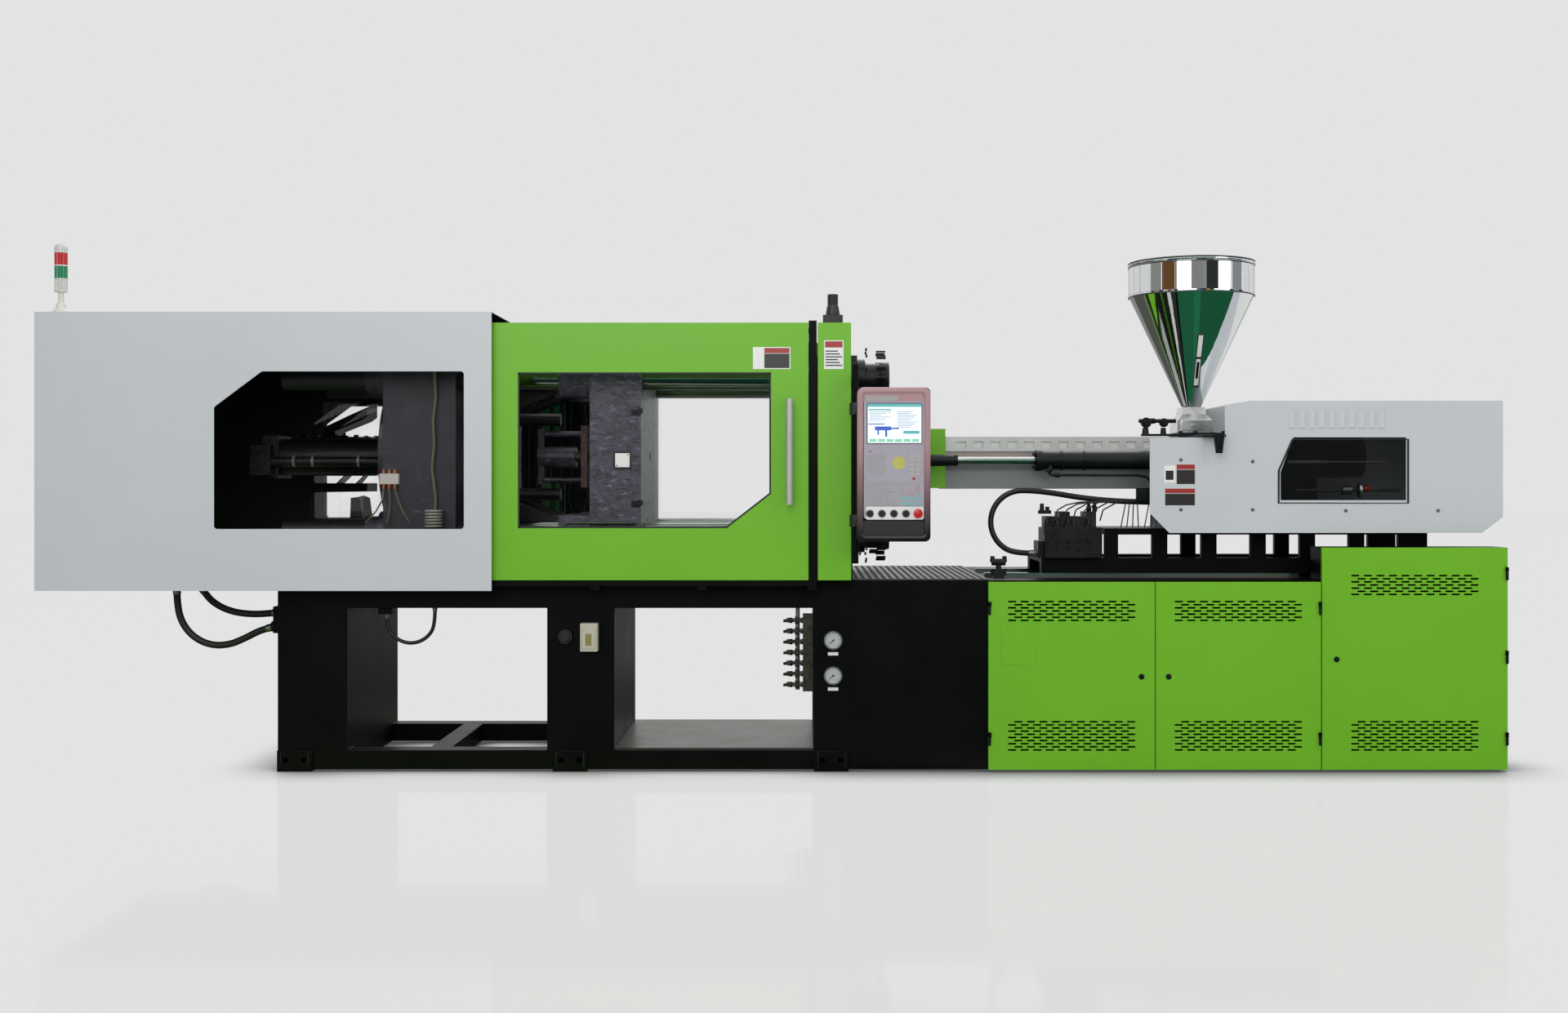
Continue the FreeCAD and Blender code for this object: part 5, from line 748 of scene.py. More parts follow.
class MACHINE_OT_stage(Build):
    """Pale floor, soft lamps, a workshop that only gloss can see, and the camera"""

    bl_idname = "machine.stage"
    bl_label = "Studio and camera"

    camera_place = (0.103, -7.65, 1.225)
    focal_mm = 38.57
    sensor_mm = 36.0
    shift = (-0.013, -0.0133)
    floor_half = 60.0

    def execute(self, context):
        scene = context.scene
        scene.view_settings.view_transform = "Standard"
        self.camera(scene)
        self.world(scene)
        self.floor(scene)
        self.lamps(scene)
        return {"FINISHED"}

    def camera(self, scene):
        lens = bpy.data.cameras.new("camera")
        lens.lens = self.focal_mm
        lens.sensor_width = self.sensor_mm
        lens.shift_x, lens.shift_y = self.shift
        lens.clip_end = 200.0
        holder = bpy.data.objects.new("camera", lens)
        holder.location = self.camera_place
        holder.rotation_euler = (math.pi / 2, 0, 0)
        scene.collection.objects.link(holder)
        scene.camera = holder

    def world(self, scene):
        world = bpy.data.worlds.new("studio")
        scene.world = world
        world.use_nodes = True
        tree = world.node_tree
        light = tree.nodes["Background"]
        light.inputs["Color"].default_value = (1, 1, 1, 1)
        light.inputs["Strength"].default_value = 0.45
        rays = tree.nodes.new("ShaderNodeLightPath")
        shown = add(tree, "ShaderNodeBackground", Color=linear(colours().studio), Strength=1.0)
        way = tree.nodes.new("ShaderNodeTexCoord").outputs["Generated"]
        # Gloss sees a workshop beyond the camera: upright strips of pale wall, racks and doors.
        strips = self.round_ramp(
            tree, way, 0.0,
            (
                (-180, "E3E3E3"), (-92, "3A3D3C"), (-84, "8D8F8B"), (-74, "2A2C2B"), (-66, "D6D6D2"),
                (-57, "6B4A2A"), (-50, "B9B7AE"), (-44, "1D1F1F"), (-37, "8F9AA0"), (-31, "6E7F4A"),
                (-25, "3A2C33"), (-19, "2E5F9A"), (-12, "11161C"), (-6, "8A8B86"), (1, "1F4F8C"),
                (7, "2B1D1E"), (14, "B29A3E"), (20, "2F3331"), (27, "A9ACAA"), (35, "2E6DA8"),
                (42, "4A2B25"), (50, "C9C6BE"), (60, "23282A"), (70, "8C9092"), (82, "2A2B2C"),
                (92, "E3E3E3"),
            ),
        )
        high_up = add(tree, "ShaderNodeSeparateXYZ", Vector=way)
        above = add(
            tree, "ShaderNodeMapRange", Value=high_up.outputs["Z"], From_Min=0.2, From_Max=0.26
        )
        below = add(
            tree, "ShaderNodeMapRange", Value=high_up.outputs["Z"], From_Min=0.09, From_Max=0.07
        )
        lifted = add(tree, "ShaderNodeMath", operation="MAXIMUM", _0=above, _1=below)
        room = add(
            tree, "ShaderNodeMix", data_type="RGBA", _0=lifted, _6=strips, _7=linear("E0E1E1")
        )
        gloss = add(tree, "ShaderNodeBackground", Color=room.outputs[2], Strength=1.0)
        seen = add(
            tree, "ShaderNodeMath", operation="MAXIMUM",
            _0=rays.outputs["Is Camera Ray"], _1=rays.outputs["Is Transmission Ray"],
        )
        mix = add(tree, "ShaderNodeMixShader", _0=seen, _1=light, _2=shown)
        last = add(tree, "ShaderNodeMixShader", _0=rays.outputs["Is Glossy Ray"], _1=mix, _2=gloss)
        tree.links.new(last.outputs[0], tree.nodes["World Output"].inputs["Surface"])

    def round_ramp(self, tree, place, centre_x, stops):
        """Colour by compass bearing from a point; 0 degrees faces the operator's side."""
        split = add(tree, "ShaderNodeSeparateXYZ", Vector=place).outputs
        east = add(tree, "ShaderNodeMath", operation="SUBTRACT", _0=split["X"], _1=centre_x)
        south = add(tree, "ShaderNodeMath", operation="MULTIPLY", _0=split["Y"], _1=-1.0)
        bearing = add(tree, "ShaderNodeMath", operation="ARCTAN2", _0=east, _1=south)
        share = add(
            tree, "ShaderNodeMapRange", Value=bearing, From_Min=-math.pi, From_Max=math.pi
        )
        ramp = add(tree, "ShaderNodeValToRGB", Fac=share)
        ramp.color_ramp.interpolation = "CONSTANT"
        points = ramp.color_ramp.elements
        while len(points) > 1:
            points.remove(points[-1])
        for i, (degrees, hex_value) in enumerate(stops):
            point = points[0] if i == 0 else points.new(0.5 + degrees / 360)
            point.position = 0.5 + degrees / 360
            point.color = linear(hex_value)
        return ramp.outputs["Color"]

    def floor(self, scene):
        data = bpy.data.meshes.new("floor")
        reach = self.floor_half
        corners = [(-reach, -reach, 0), (reach, -reach, 0), (reach, reach, 0), (-reach, reach, 0)]
        data.from_pydata(corners, [], [(0, 1, 2, 3)])
        floor = bpy.data.objects.new("floor", data)
        scene.collection.objects.link(floor)
        made = bpy.data.materials.new("studio_floor")
        made.use_nodes = True
        tree = made.node_tree
        studio = linear(colours().studio)
        principled = tree.nodes["Principled BSDF"]
        principled.inputs["Base Color"].default_value = studio
        principled.inputs["Roughness"].default_value = 0.9
        # What the camera sees: the pale backdrop, with a painted shadow close to what stands on it.
        near = add(tree, "ShaderNodeAmbientOcclusion", samples=12, Distance=0.32)
        depth = add(
            tree, "ShaderNodeMapRange", Value=near.outputs["AO"], From_Min=0.42, From_Max=0.97
        )
        # Painted shadow colour, mixed in as the occlusion grows.
        tone = add(
            tree, "ShaderNodeMix", data_type="RGBA", _0=depth, _6=linear("4E4E4D"), _7=studio
        )
        glow = add(tree, "ShaderNodeEmission", Color=tone.outputs[2], Strength=1.0)
        gloss = add(tree, "ShaderNodeBsdfGlossy", Color=(1, 1, 1, 1), Roughness=0.08)
        rim = add(tree, "ShaderNodeFresnel", IOR=1.16)
        share = add(tree, "ShaderNodeMath", operation="MINIMUM", _0=rim, _1=0.07)
        seen = add(tree, "ShaderNodeMixShader", _0=share, _1=glow, _2=gloss)
        # What gloss sees: a workshop's painted floor in sectors round the hopper.
        place = tree.nodes.new("ShaderNodeTexCoord").outputs["Object"]
        hopper_x = (low("hopper_cone").x + high("hopper_cone").x) / 2
        sectors = self.round_ramp(
            tree, place, hopper_x,
            (
                (-180, "8E908C"), (-150, "55584F"), (-118, "777D70"), (-98, "3B4139"),
                (-84, "7FB23A"), (-74, "20241D"), (-66, "C9CBC6"), (-55, "2A2D28"), (-46, "0E120F"),
                (-41, "1E5B3E"), (-8, "256A49"), (6, "1B5539"), (72, "123F2A"), (80, "070A08"),
                (90, "E6E8E6"), (138, "9FA3A1"), (160, "4A4D4B"),
            ),
        )
        painted = add(tree, "ShaderNodeEmission", Color=sectors, Strength=1.0)
        rays = tree.nodes.new("ShaderNodeLightPath")
        other = add(
            tree, "ShaderNodeMixShader", _0=rays.outputs["Is Glossy Ray"], _1=principled, _2=painted
        )
        mix = add(tree, "ShaderNodeMixShader", _0=rays.outputs["Is Camera Ray"], _1=other, _2=seen)
        tree.links.new(mix.outputs[0], tree.nodes["Material Output"].inputs["Surface"])
        floor.data.materials.append(made)

    def lamps(self, scene):
        for name, place, aim, size, power in (
            ("front_lamp", (-1.5, -8.5, 5.0), (0, 0, 1.0), 6.0, 275.0),
            ("right_lamp", (6.5, -5.0, 4.5), (0.5, 0, 1.0), 4.0, 100.0),
            ("top_lamp", (0, 0.5, 7.5), (0, 0, 0.5), 7.0, 170.0),
            ("back_lamp", (2.0, 7.5, 7.5), (0, 0, 1.0), 5.0, 190.0),
        ):
            light = bpy.data.lights.new(name, "AREA")
            light.size = size
            light.energy = power
            holder = bpy.data.objects.new(name, light)
            holder.location = place
            way = Vector(aim) - Vector(place)
            holder.rotation_euler = way.to_track_quat("-Z", "Y").to_euler()
            holder.visible_camera = False
            scene.collection.objects.link(holder)


class MACHINE_OT_finishes(Build):
    """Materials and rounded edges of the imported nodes"""

    bl_idname = "machine.finishes"
    bl_label = "Finishes"

    def execute(self, context):
        for material, rounding, names in (
            ("green_powder_coat", 0, "front_door rear_door side_guards purge_guard"),
            ("grey_powder_coat", 0, "toggle_cover injection_cover"),
            (
                "black_machine_enamel", 3,
                "clamp_base injection_base levelling_feet injection_carriage",
            ),
            ("black_machine_enamel", 0, "electrical_cabinet guard_frame"),
            ("painted_casting", 6, "tail_platen fixed_platen injection_housing"),
            ("scratched_casting", 6, "moving_platen"),
            ("blackened_steel", 3, "rear_link_upper rear_link_lower front_link_upper"),
            ("blackened_steel", 3, "front_link_lower crosshead_link_upper"),
            ("blackened_steel", 2, "crosshead_link_lower hopper_gate"),
            ("brushed_stainless", 0, "hopper_throat"),
            ("blackened_steel", 2, "tie_bar_nuts valve_manifold pump_set"),
            ("blackened_steel", 0, "thrust_housing"),
            ("oily_tie_bar", 0, "tie_bars"),
            ("hard_chrome", 0, "slide_rails seat_rods"),
            ("blackened_steel", 0, "crosshead_guide_rods"),
            ("painted_casting", 1.5, "crosshead"),
            ("film_rusted_iron", 1.5, "ejector_plate"),
            ("blackened_steel", 1.5, "clamp_cylinder"),
            ("turned_steel", 0, "screw barrel pressure_gauges"),
            ("blackened_steel", 0, "seat_cylinders"),
            ("brushed_stainless_sheet", 0, "barrel_guard"),
            ("mirror_stainless", 0, "hopper_band hopper_cone hopper_lid"),
            ("checker_plate_steel", 0, "deck_plates"),
            ("clear_polycarbonate", 0, "toggle_cover_panes front_door_pane rear_door_pane"),
            ("smoked_acrylic", 0, "injection_cover_pane"),
            ("black_abs", 0, "electrical_sockets"),
            ("graphite_abs", 2, "control_panel"),
            ("red_abs", 0, "emergency_stop main_switch"),
            ("dull_brass", 1, "cooling_header"),
            ("satin_aluminium", 1, "front_door_handle"),
        ):
            for name in names.split():
                finish_node(name, material, rounding)
        return {"FINISHED"}


class MACHINE_OT_cabinet_doors(Build):
    """Green doors of the injection base, with punched air slots, knuckles and locks"""

    bl_idname = "machine.cabinet_doors"
    bl_label = "Cabinet doors"

    def execute(self, context):
        tree = slotted_sheet_tree("green_powder_coat")
        # each door: node, lock's distance from its edge, lock's height, hinge heights, hinge side
        for name, lock, lock_z, levels, hinge in (
            ("cabinet_door_left", (1, 57), 408, (132, 690), -1),
            ("cabinet_door_middle", (-1, 55), 408, (132, 690), 1),
            ("cabinet_door_right", (-1, 62), 482, (132, 481, 838), 1),
        ):
            self.door(tree, name, lock, lock_z, levels, hinge)
        return {"FINISHED"}

    def door(self, tree, name, lock, lock_z, levels, hinge):
        # The node's lowest y is its hinge knuckle, so the sheet is found from the base.
        left, right, bottom, top = low(name).x, high(name).x, low(name).z, high(name).z
        wide, tall = right - left, top - bottom
        sheet, front = sizes().door_sheet, BASE_FRONT - 0.020
        middle = (bottom + top) / 2
        # Both fields of slots keep their distance from the door's ends; the tall door's upper
        # field sits lower.
        from_top, from_bottom = 0.124, 0.145
        lowered = 0.036 if tall > 0.9 else 0.0
        skin = grow(
            tree, name + "_sheet", Width=wide, Height=tall, Slot_Length=sizes().slot_length,
            Slot_Height=sizes().slot_height, Pitch=sizes().slot_pitch, Row_Pitch=sizes().row_pitch,
            Columns=10, Upper_Rows=7, Lower_Rows=10, Upper_Centre=top - from_top - lowered - middle,
            Lower_Centre=bottom + from_bottom - middle, Thickness=sheet,
        )
        stand_up(skin, Vector(((left + right) / 2, front + sheet, middle)))
        dress(skin, "green_powder_coat", name, smooth=0)
        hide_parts(name)
        x0, x1, z0, z1 = left / MM, right / MM, bottom / MM, top / MM
        y0, y1 = (front + sheet) / MM, BASE_FRONT / MM - 1
        wall = sheet / MM
        fit(
            name + "_folds", "green_powder_coat", name, "green_paint",
            ((x0, x0 + wall), (y0, y1), (z0, z1)), ((x1 - wall, x1), (y0, y1), (z0, z1)),
            ((x0 + wall, x1 - wall), (y0, y1), (z0, z0 + wall)),
            ((x0 + wall, x1 - wall), (y0, y1), (z1 - wall, z1)), bevel=0,
        )
        hinge_x = x0 + 4 if hinge < 0 else x1 - 4
        lock_x = x1 - lock[1] if lock[0] > 0 else x0 + lock[1]
        fit(
            name + "_ironwork", "blackened_steel", name, "black_paint",
            *(((hinge_x, y0 - 9, z - 17), (hinge_x, y0 - 9, z + 17), 6) for z in levels),
            ((lock_x, y0 + 1, lock_z), (lock_x, y0 - 6, lock_z), 13, 12),
            ((lock_x, y0 - 6, lock_z), (lock_x, y0 - 8, lock_z), 8, 7),
        )


class MACHINE_OT_guard_details(Build):
    """Gaskets and plain plates of the sliding doors and the side guard"""

    bl_idname = "machine.guard_details"
    bl_label = "Guard details"

    def execute(self, context):
        for side, body in ((-1, "front_door"), (1, "rear_door")):
            self.gasket(side, body)
        door, guard = low("front_door").y / MM, low("side_guards").y / MM
        rows = [((192, 262 - 9 * (i % 3)), (1730 + i * 12, 1735 + i * 12)) for i in range(6)]
        # each plate: name, film, body, slot, its span of Y, its fields' spans of X and Z
        for name, film, body, slot, y, fields in (
            (
                "door_plate", "white_label_film", "front_door", "grey_paint", (door - 0.6, door),
                [((-114, 44), (1717, 1810))],
            ),
            (
                "door_plate_field", "dark_label_film", "front_door", "black_plastic",
                (door - 0.9, door - 0.6), [((-66, 40), (1721, 1782))],
            ),
            (
                "door_plate_band", "red_label_film", "front_door", "red_plastic",
                (door - 0.9, door - 0.6), [((-66, 40), (1784, 1806))],
            ),
            (
                "side_plate", "white_label_film", "frame", "grey_paint", (guard - 0.6, guard),
                [((186, 268), (1717, 1838))],
            ),
            (
                "side_plate_band", "red_label_film", "frame", "red_plastic",
                (guard - 0.9, guard - 0.6), [((190, 264), (1808, 1834))],
            ),
            (
                "side_plate_rows", "dark_label_film", "frame", "black_plastic",
                (guard - 0.9, guard - 0.6), rows,
            ),
        ):
            fit(name, film, body, slot, *((x, y, z) for x, z in fields), bevel=0)
        return {"FINISHED"}

    def gasket(self, side, body):
        """Black edge strip round the window, between the sheet and its pane."""
        window = [(-1105, 1046), (-224, 1046), (-38, 1191), (-38, 1703), (-1105, 1703)]
        strip = Shape()
        y0 = (high("rear_door_pane").y if side > 0 else -low("front_door_pane").y) / MM
        for (x0, z0), (x1, z1) in zip(window, window[1:] + window[:1]):
            along = Vector((x1 - x0, z1 - z0)).normalized()
            out = Vector((along.y, -along.x))
            inner = [Vector((x0, z0)) - out * 7, Vector((x1, z1)) - out * 7]
            quad = [Vector((x0, z0)), Vector((x1, z1)), inner[1], inner[0]]
            start, end = sorted((side * y0, side * (y0 + 4.2)))
            strip.prism([tuple(p) for p in quad], 1, start, end)
        strip.piece(body + "_gasket", "nitrile_hose_cover", body, "hose_rubber")


class MACHINE_OT_toggle_details(Build):
    """What shows through the toggle cover's window: struts, piping and cables, mostly black"""

    bl_idname = "machine.toggle_details"
    bl_label = "Toggle details"

    def execute(self, context):
        black = "blackened_steel"
        struts = Shape()
        for outline in (
            [(-2222, 1505), (-2088, 1568), (-1962, 1624), (-1962, 1553), (-1989, 1533),
             (-2115, 1482), (-2214, 1442)],
            [(-2222, 1442), (-2115, 1482), (-2108, 1442), (-2048, 1450), (-2013, 1438),
             (-2214, 1438)],
            [(-2222, 1409), (-1962, 1409), (-1962, 1272), (-2222, 1272)],
            [(-2163, 1233), (-2119, 1276), (-2080, 1276), (-2123, 1233)],
            [(-2068, 1233), (-2025, 1276), (-2001, 1276), (-2037, 1233)],
            [(-2222, 1237), (-1962, 1237), (-1962, 1197), (-2222, 1193)],
            [(-2088, 1166), (-2056, 1170), (-2025, 1178), (-1997, 1166), (-1981, 1047),
             (-2092, 1047)],
        ):
            struts.prism(outline, 1, 462, 474)
        struts.piece(
            "toggle_back_struts", "black_machine_enamel", "frame", "black_paint", bevel=1.0
        )
        spindle = Shape()
        x0, x1, z = -2366, -1941, 1453
        spindle.rod((x0, 450, z), (x1, 450, z), 8)
        for i in range(9):
            x = x0 + 20 + i * (x1 - x0 - 40) / 8
            spindle.hexagon((x - 9, 450, z), (x + 9, 450, z), 15 if i % 3 else 20)
        spindle.piece("height_spindle", black, "frame", "black_paint", bevel=0.5)
        # Pipe along the near side of the clamp cylinder, and the block at its cap.
        x0, x1, z = -2284, -1849, 1335
        fit(
            "cylinder_pipe", "grey_pipe_enamel", "tail", "machined_steel",
            ((x0, -118, z), (x1, -118, z), 20),
            *(((x, -118, z), (x + 12, -118, z), 27) for x in (x0 + 96, x0 + 180, x1 - 50)),
            bevel=1.0,
        )
        fit(
            "cylinder_cap_block", black, "tail", "black_paint",
            ((x0 - 90, x0), (-150, -60), (z - 62, z + 74)),
            ((x0 - 60, -150, z + 40), (x0 - 60, -168, z + 40), 16),
            ((x0 - 60, -150, z - 20), (x0 - 60, -168, z - 20), 16),
            bevel=3.0,
        )
        # Oil distributor on the tail platen with its small tubes.
        bx, bz = -1676, 1253
        fit(
            "oil_distributor", "pale_zinc_block", "tail", "machined_steel",
            ((bx - 40, bx + 42), (-462, -430), (bz - 22, bz + 24)), bevel=2.0,
        )
        tubes, tips = Shape(), Shape()
        for i in range(3):
            x = bx - 24 + 24 * i
            for side in (-1, 1):
                tips.rod((x, -454, bz + side * 22), (x, -454, bz + side * 42), 5, 4)
            route = [
                (x, bz - 42), (x - 6 + 10 * i, bz - 90), (x - 34 + 34 * i, bz - 140),
                (x - 80 + 72 * i, bz - 188),
            ]
            tubes.tube(route, -450, 3.4)
        tips.piece(
            "distributor_tips", "orange_ferrule", "tail", "brass_fittings"
        )
        x = -1480
        route = [
            (x - 2, 1715), (x + 3, 1600), (x - 9, 1500), (x - 4, 1400), (x - 14, 1300), (x + 2, 1180),
            (x, 1110),
        ]
        tubes.tube(route, -446, 7)
        tubes.piece("platen_cables", "olive_cable", "tail", "hose_rubber")
        coil = Shape()
        turns = [k * math.pi / 4 for k in range(8)]
        for i in range(6):
            level = 1052 + 13 * i
            section = [(34 + 5 * math.cos(a), level + 5 * math.sin(a)) for a in turns]
            coil.lathe(section, (x, -472), sides=32)
        coil.piece("platen_cable_coil", "grey_cable", "tail", "hose_rubber")
        return {"FINISHED"}


class MACHINE_OT_platen_details(Build):
    """Clamps, box and pipes on the moving platen, and the hose tray behind it"""

    bl_idname = "machine.platen_details"
    bl_label = "Platen details"

    def execute(self, context):
        black = "blackened_steel"
        face = low("moving_platen").y / MM
        fit(
            "limit_switch_box", "white_label_film", "moving", "black_plastic",
            ((-709, -647), (face - 16, face - 3), (1304, 1364)), bevel=2.5,
        )
        fit(
            "limit_switch_plate", "black_abs", "moving", "black_plastic",
            ((-718, -640), (face - 3, face), (1294, 1374)),
            *(((x, face - 16, z), (x, face - 18, z), 3) for x, z in ((-702, 1311), (-654, 1357))),
            bevel=1.0,
        )
        clamps = Shape()
        for z in (1541, 1147):
            clamps.box((-640, -604), (face - 14, face), (z - 12, z + 12))
            clamps.box((-612, -590), (face - 18, face - 6), (z - 6, z + 16))
            clamps.hexagon((-626, face - 22, z), (-626, face - 14, z), 8)
        clamps.piece("mould_clamps", black, "moving", "black_paint", bevel=1.0)
        fit(
            "platen_oil_pipe", "dull_brass", "moving", "brass_fittings",
            ((-918, face - 16, 1064), (-622, face - 16, 1064), 6),
            ((-918, face - 16, 1064), (-918, face - 16, 1010), 6),
            *(((x, face - 16, 1064), (x, face, 1064), 8) for x in (-760, -640)),
        )
        # Black tray with hoses behind the toggle, fixed to the rear of the frame.
        tray, hoses = Shape(), Shape()
        for x, z in (
            ((-1290, -1168), (1000, 1760)), ((-1050, -960), (1000, 1760)),
            ((-1168, -1050), (1640, 1760)), ((-1168, -1050), (1240, 1460)),
            ((-1168, -1050), (1000, 1086)), ((-960, -900), (1000, 1760)),
        ):
            tray.box(x, (468, 474), z)
        tray.piece("rear_hose_tray", "black_machine_enamel", "frame", "black_paint", bevel=0.8)
        # Green plates on the tray, their green paint darkened with painted shade.
        fit(
            "rear_tray_pads", "green_shade_coat", "frame", "green_paint",
            ((-1168, -1050), (476, 480), (1086, 1240)), ((-1168, -1050), (476, 480), (1460, 1640)),
        )
        for i in range(7):
            x = -1276 + 52 * i
            lean = (i % 3 - 1) * 22
            for z in (1010, 1190, 1370, 1550):
                end = x - lean if z % 360 else x + lean / 2
                hoses.rod((x + lean, 455, z), (end, 455, z + 180), 10)
                lean = -lean * 0.7
        hoses.piece("rear_tray_hoses", "nitrile_hose_cover", "frame", "hose_rubber")
        return {"FINISHED"}


class MACHINE_OT_barrel_details(Build):
    """Heater lining, cylinder flanges, couplings, manifold fittings and nut keys"""

    bl_idname = "machine.barrel_details"
    bl_label = "Barrel details"

    def execute(self, context):
        black = "blackened_steel"
        left, right = low("barrel_guard").x / MM, high("barrel_guard").x / MM
        fit(
            "guard_lining", "pale_heater_jacket", "carriage", "machined_steel",
            ((left + 6, right - 4), (-126, -123), (1382, 1438)),
            ((left + 6, right - 4), (123, 126), (1382, 1438)),
            ((left + 6, right - 4), (-123, 123), (1436, 1439)),
        )
        fit(
            "guard_edge_strips", "turned_steel", "carriage", "machined_steel",
            *(((left, right), (-134, -132), z) for z in ((1330, 1338), (1374, 1380), (1292, 1296))),
            *(
                ((x, -134, 1356), (x, -136, 1356), 5)
                for x in range(int(left) + 40, int(right), 160)
            ),
            bevel=0.4,
        )
        apart, z = 250, 1336  # distance of each seat cylinder from the middle, and its height
        rings = Shape()
        for y in (-apart, apart):
            rings.rod((1121, y, z), (1139, y, z), 45)
            rings.rod((1139, y, z), (1158, y, z), 41)
            for x in (1230, 1330, 1700):
                rings.rod((x, y, z), (x + 8, y, z), 44)
            for dy, dz in ((-28, -28), (28, -28), (-28, 28), (28, 28)):
                rings.hexagon((1111, y + dy, z + dz), (1121, y + dy, z + dz), 8)
            rings.rod((1180, y - 36, z - 26), (1180, y - 46, z - 50), 9)
        rings.piece("seat_cylinder_flanges", black, "carriage", "black_paint", bevel=0.8)
        couplings = Shape()
        for y in (-apart, apart):
            couplings.rod((655, y, z), (762, y, z), 27, 24)
            couplings.hexagon((762, y, z), (778, y, z), 27)
            couplings.hexagon((640, y, z), (655, y, z), 30)
        couplings.piece("seat_rod_couplings", black, body_of("seat_rods"), "black_paint", bevel=0.8)
        pipe = Shape()
        route = [(1172, 1288), (1180, 1272), (1560, 1271), (1600, 1264), (1622, 1240), (1626, 1200)]
        pipe.tube(route, -300, 6)
        pipe.hexagon((1168, -300, 1282), (1176, -300, 1300), 11)
        pipe.rod((1196, -300, 1272), (1222, -300, 1272), 11)
        pipe.rod((1626, -300, 1206), (1626, -300, 1184), 11)
        pipe.box((1560, 1740), (-283, -262), (1160, 1215))
        pipe.piece("seat_oil_pipe", black, "carriage", "black_paint", bevel=0.5)
        self.manifold()
        self.nuts()
        front = -440
        valve = Shape()
        valve.box((915, 961), (front, front + 34), (DECK_Z / MM + 6, 868))
        valve.rod((938, front + 17, 862), (938, front + 17, 896), 12)
        valve.rod((908, front + 17, 896), (968, front + 17, 896), 15)
        for dx in (-26, 26):
            valve.rod((938 + dx, front + 17, 896), (938 + dx, front + 17, 922), 11, 9)
            valve.rod((938 + dx, front + 17, 868), (938 + dx, front + 17, 840), 8)
        valve.piece("deck_drain_valve", black, "frame", "black_paint", bevel=0.8)
        return {"FINISHED"}

    def manifold(self):
        """Solenoids, plugs, fittings and small tubes of the valve block beside the carriage."""
        first, last = low("valve_manifold"), high("valve_manifold")
        x0, x1, y0, top = first.x / MM, last.x / MM, first.y / MM, last.z / MM
        parts, tubes = Shape(), Shape()
        for i in range(5):
            x = x0 + 36 + 46 * i
            parts.box((x - 15, x + 15), (y0 + 2, y0 + 30), (top - 100, top - 54))
            parts.rod((x, y0 + 16, top - 54), (x, y0 + 16, top - 30 - 9 * (i % 2)), 12, 9)
            parts.hexagon((x, y0 + 2, top - 124), (x, y0 - 8, top - 124), 11)
            parts.hexagon((x, y0 + 2, top - 158), (x, y0 - 6, top - 158), 9)
        parts.rod((x0 + 20, y0 + 60, top - 6), (x0 + 20, y0 + 60, top + 36), 12, 8)
        parts.rod((x0 + 44, y0 + 60, top - 6), (x0 + 44, y0 + 60, top + 22), 9)
        parts.box((x0 + 4, x0 + 60), (y0 + 48, y0 + 76), (top - 10, top + 6))
        for x in (x1 - 50, x1 - 24):
            parts.hexagon((x, y0 + 40, top), (x, y0 + 40, top + 24), 12)
            parts.rod((x, y0 + 40, top + 24), (x, y0 + 40, top + 44), 7)
        parts.piece("manifold_valves", "blackened_steel", "carriage", "black_paint", bevel=0.8)
        for i in range(6):
            x = x0 + 70 + 40 * i
            bend = [
                (x, top - 40), (x + 14, top + 8), (x + 52 + 8 * i, top + 30 + 4 * i),
                (x + 110 + 12 * i, top + 42), (1688 + 8 * i, 1168 + 4 * i),
            ]
            tubes.tube(bend, y0 + 20, 3.2, sides=10)
        for i in range(7):
            x = 1500 + 26 * i
            tubes.rod((x, y0 + 30, 1040), (x + 22 - 9 * (i % 4), y0 + 30, 1152), 2.6, sides=8)
        tubes.piece("manifold_tubes", "nitrile_hose_cover", "carriage", "hose_rubber")

    def nuts(self):
        """Keys and clamp screws of the tie-bar nuts."""
        keys = Shape()
        apart = 385  # of each tie bar from the middle, along Y and Z
        for y in (-apart, apart):
            for z in (AXIS_Z / MM - apart, AXIS_Z / MM + apart):
                for i in range(8):
                    a = math.pi / 4 * i + 0.2
                    dy, dz = 65 * math.cos(a), 65 * math.sin(a)
                    bar = keys.box((412, 452), (y + 62, y + 69), (z - 9, z + 9))
                    keys.turn(bar, (430, y, z), "X", 45 * i + 11)
                    dy, dz = dy * 1.14, dz * 1.14
                    keys.hexagon((365, y + dy, z + dz), (373, y + dy, z + dz), 8)
        keys.piece("tie_nut_keys", "blackened_steel", "frame", "black_paint", bevel=0.8)


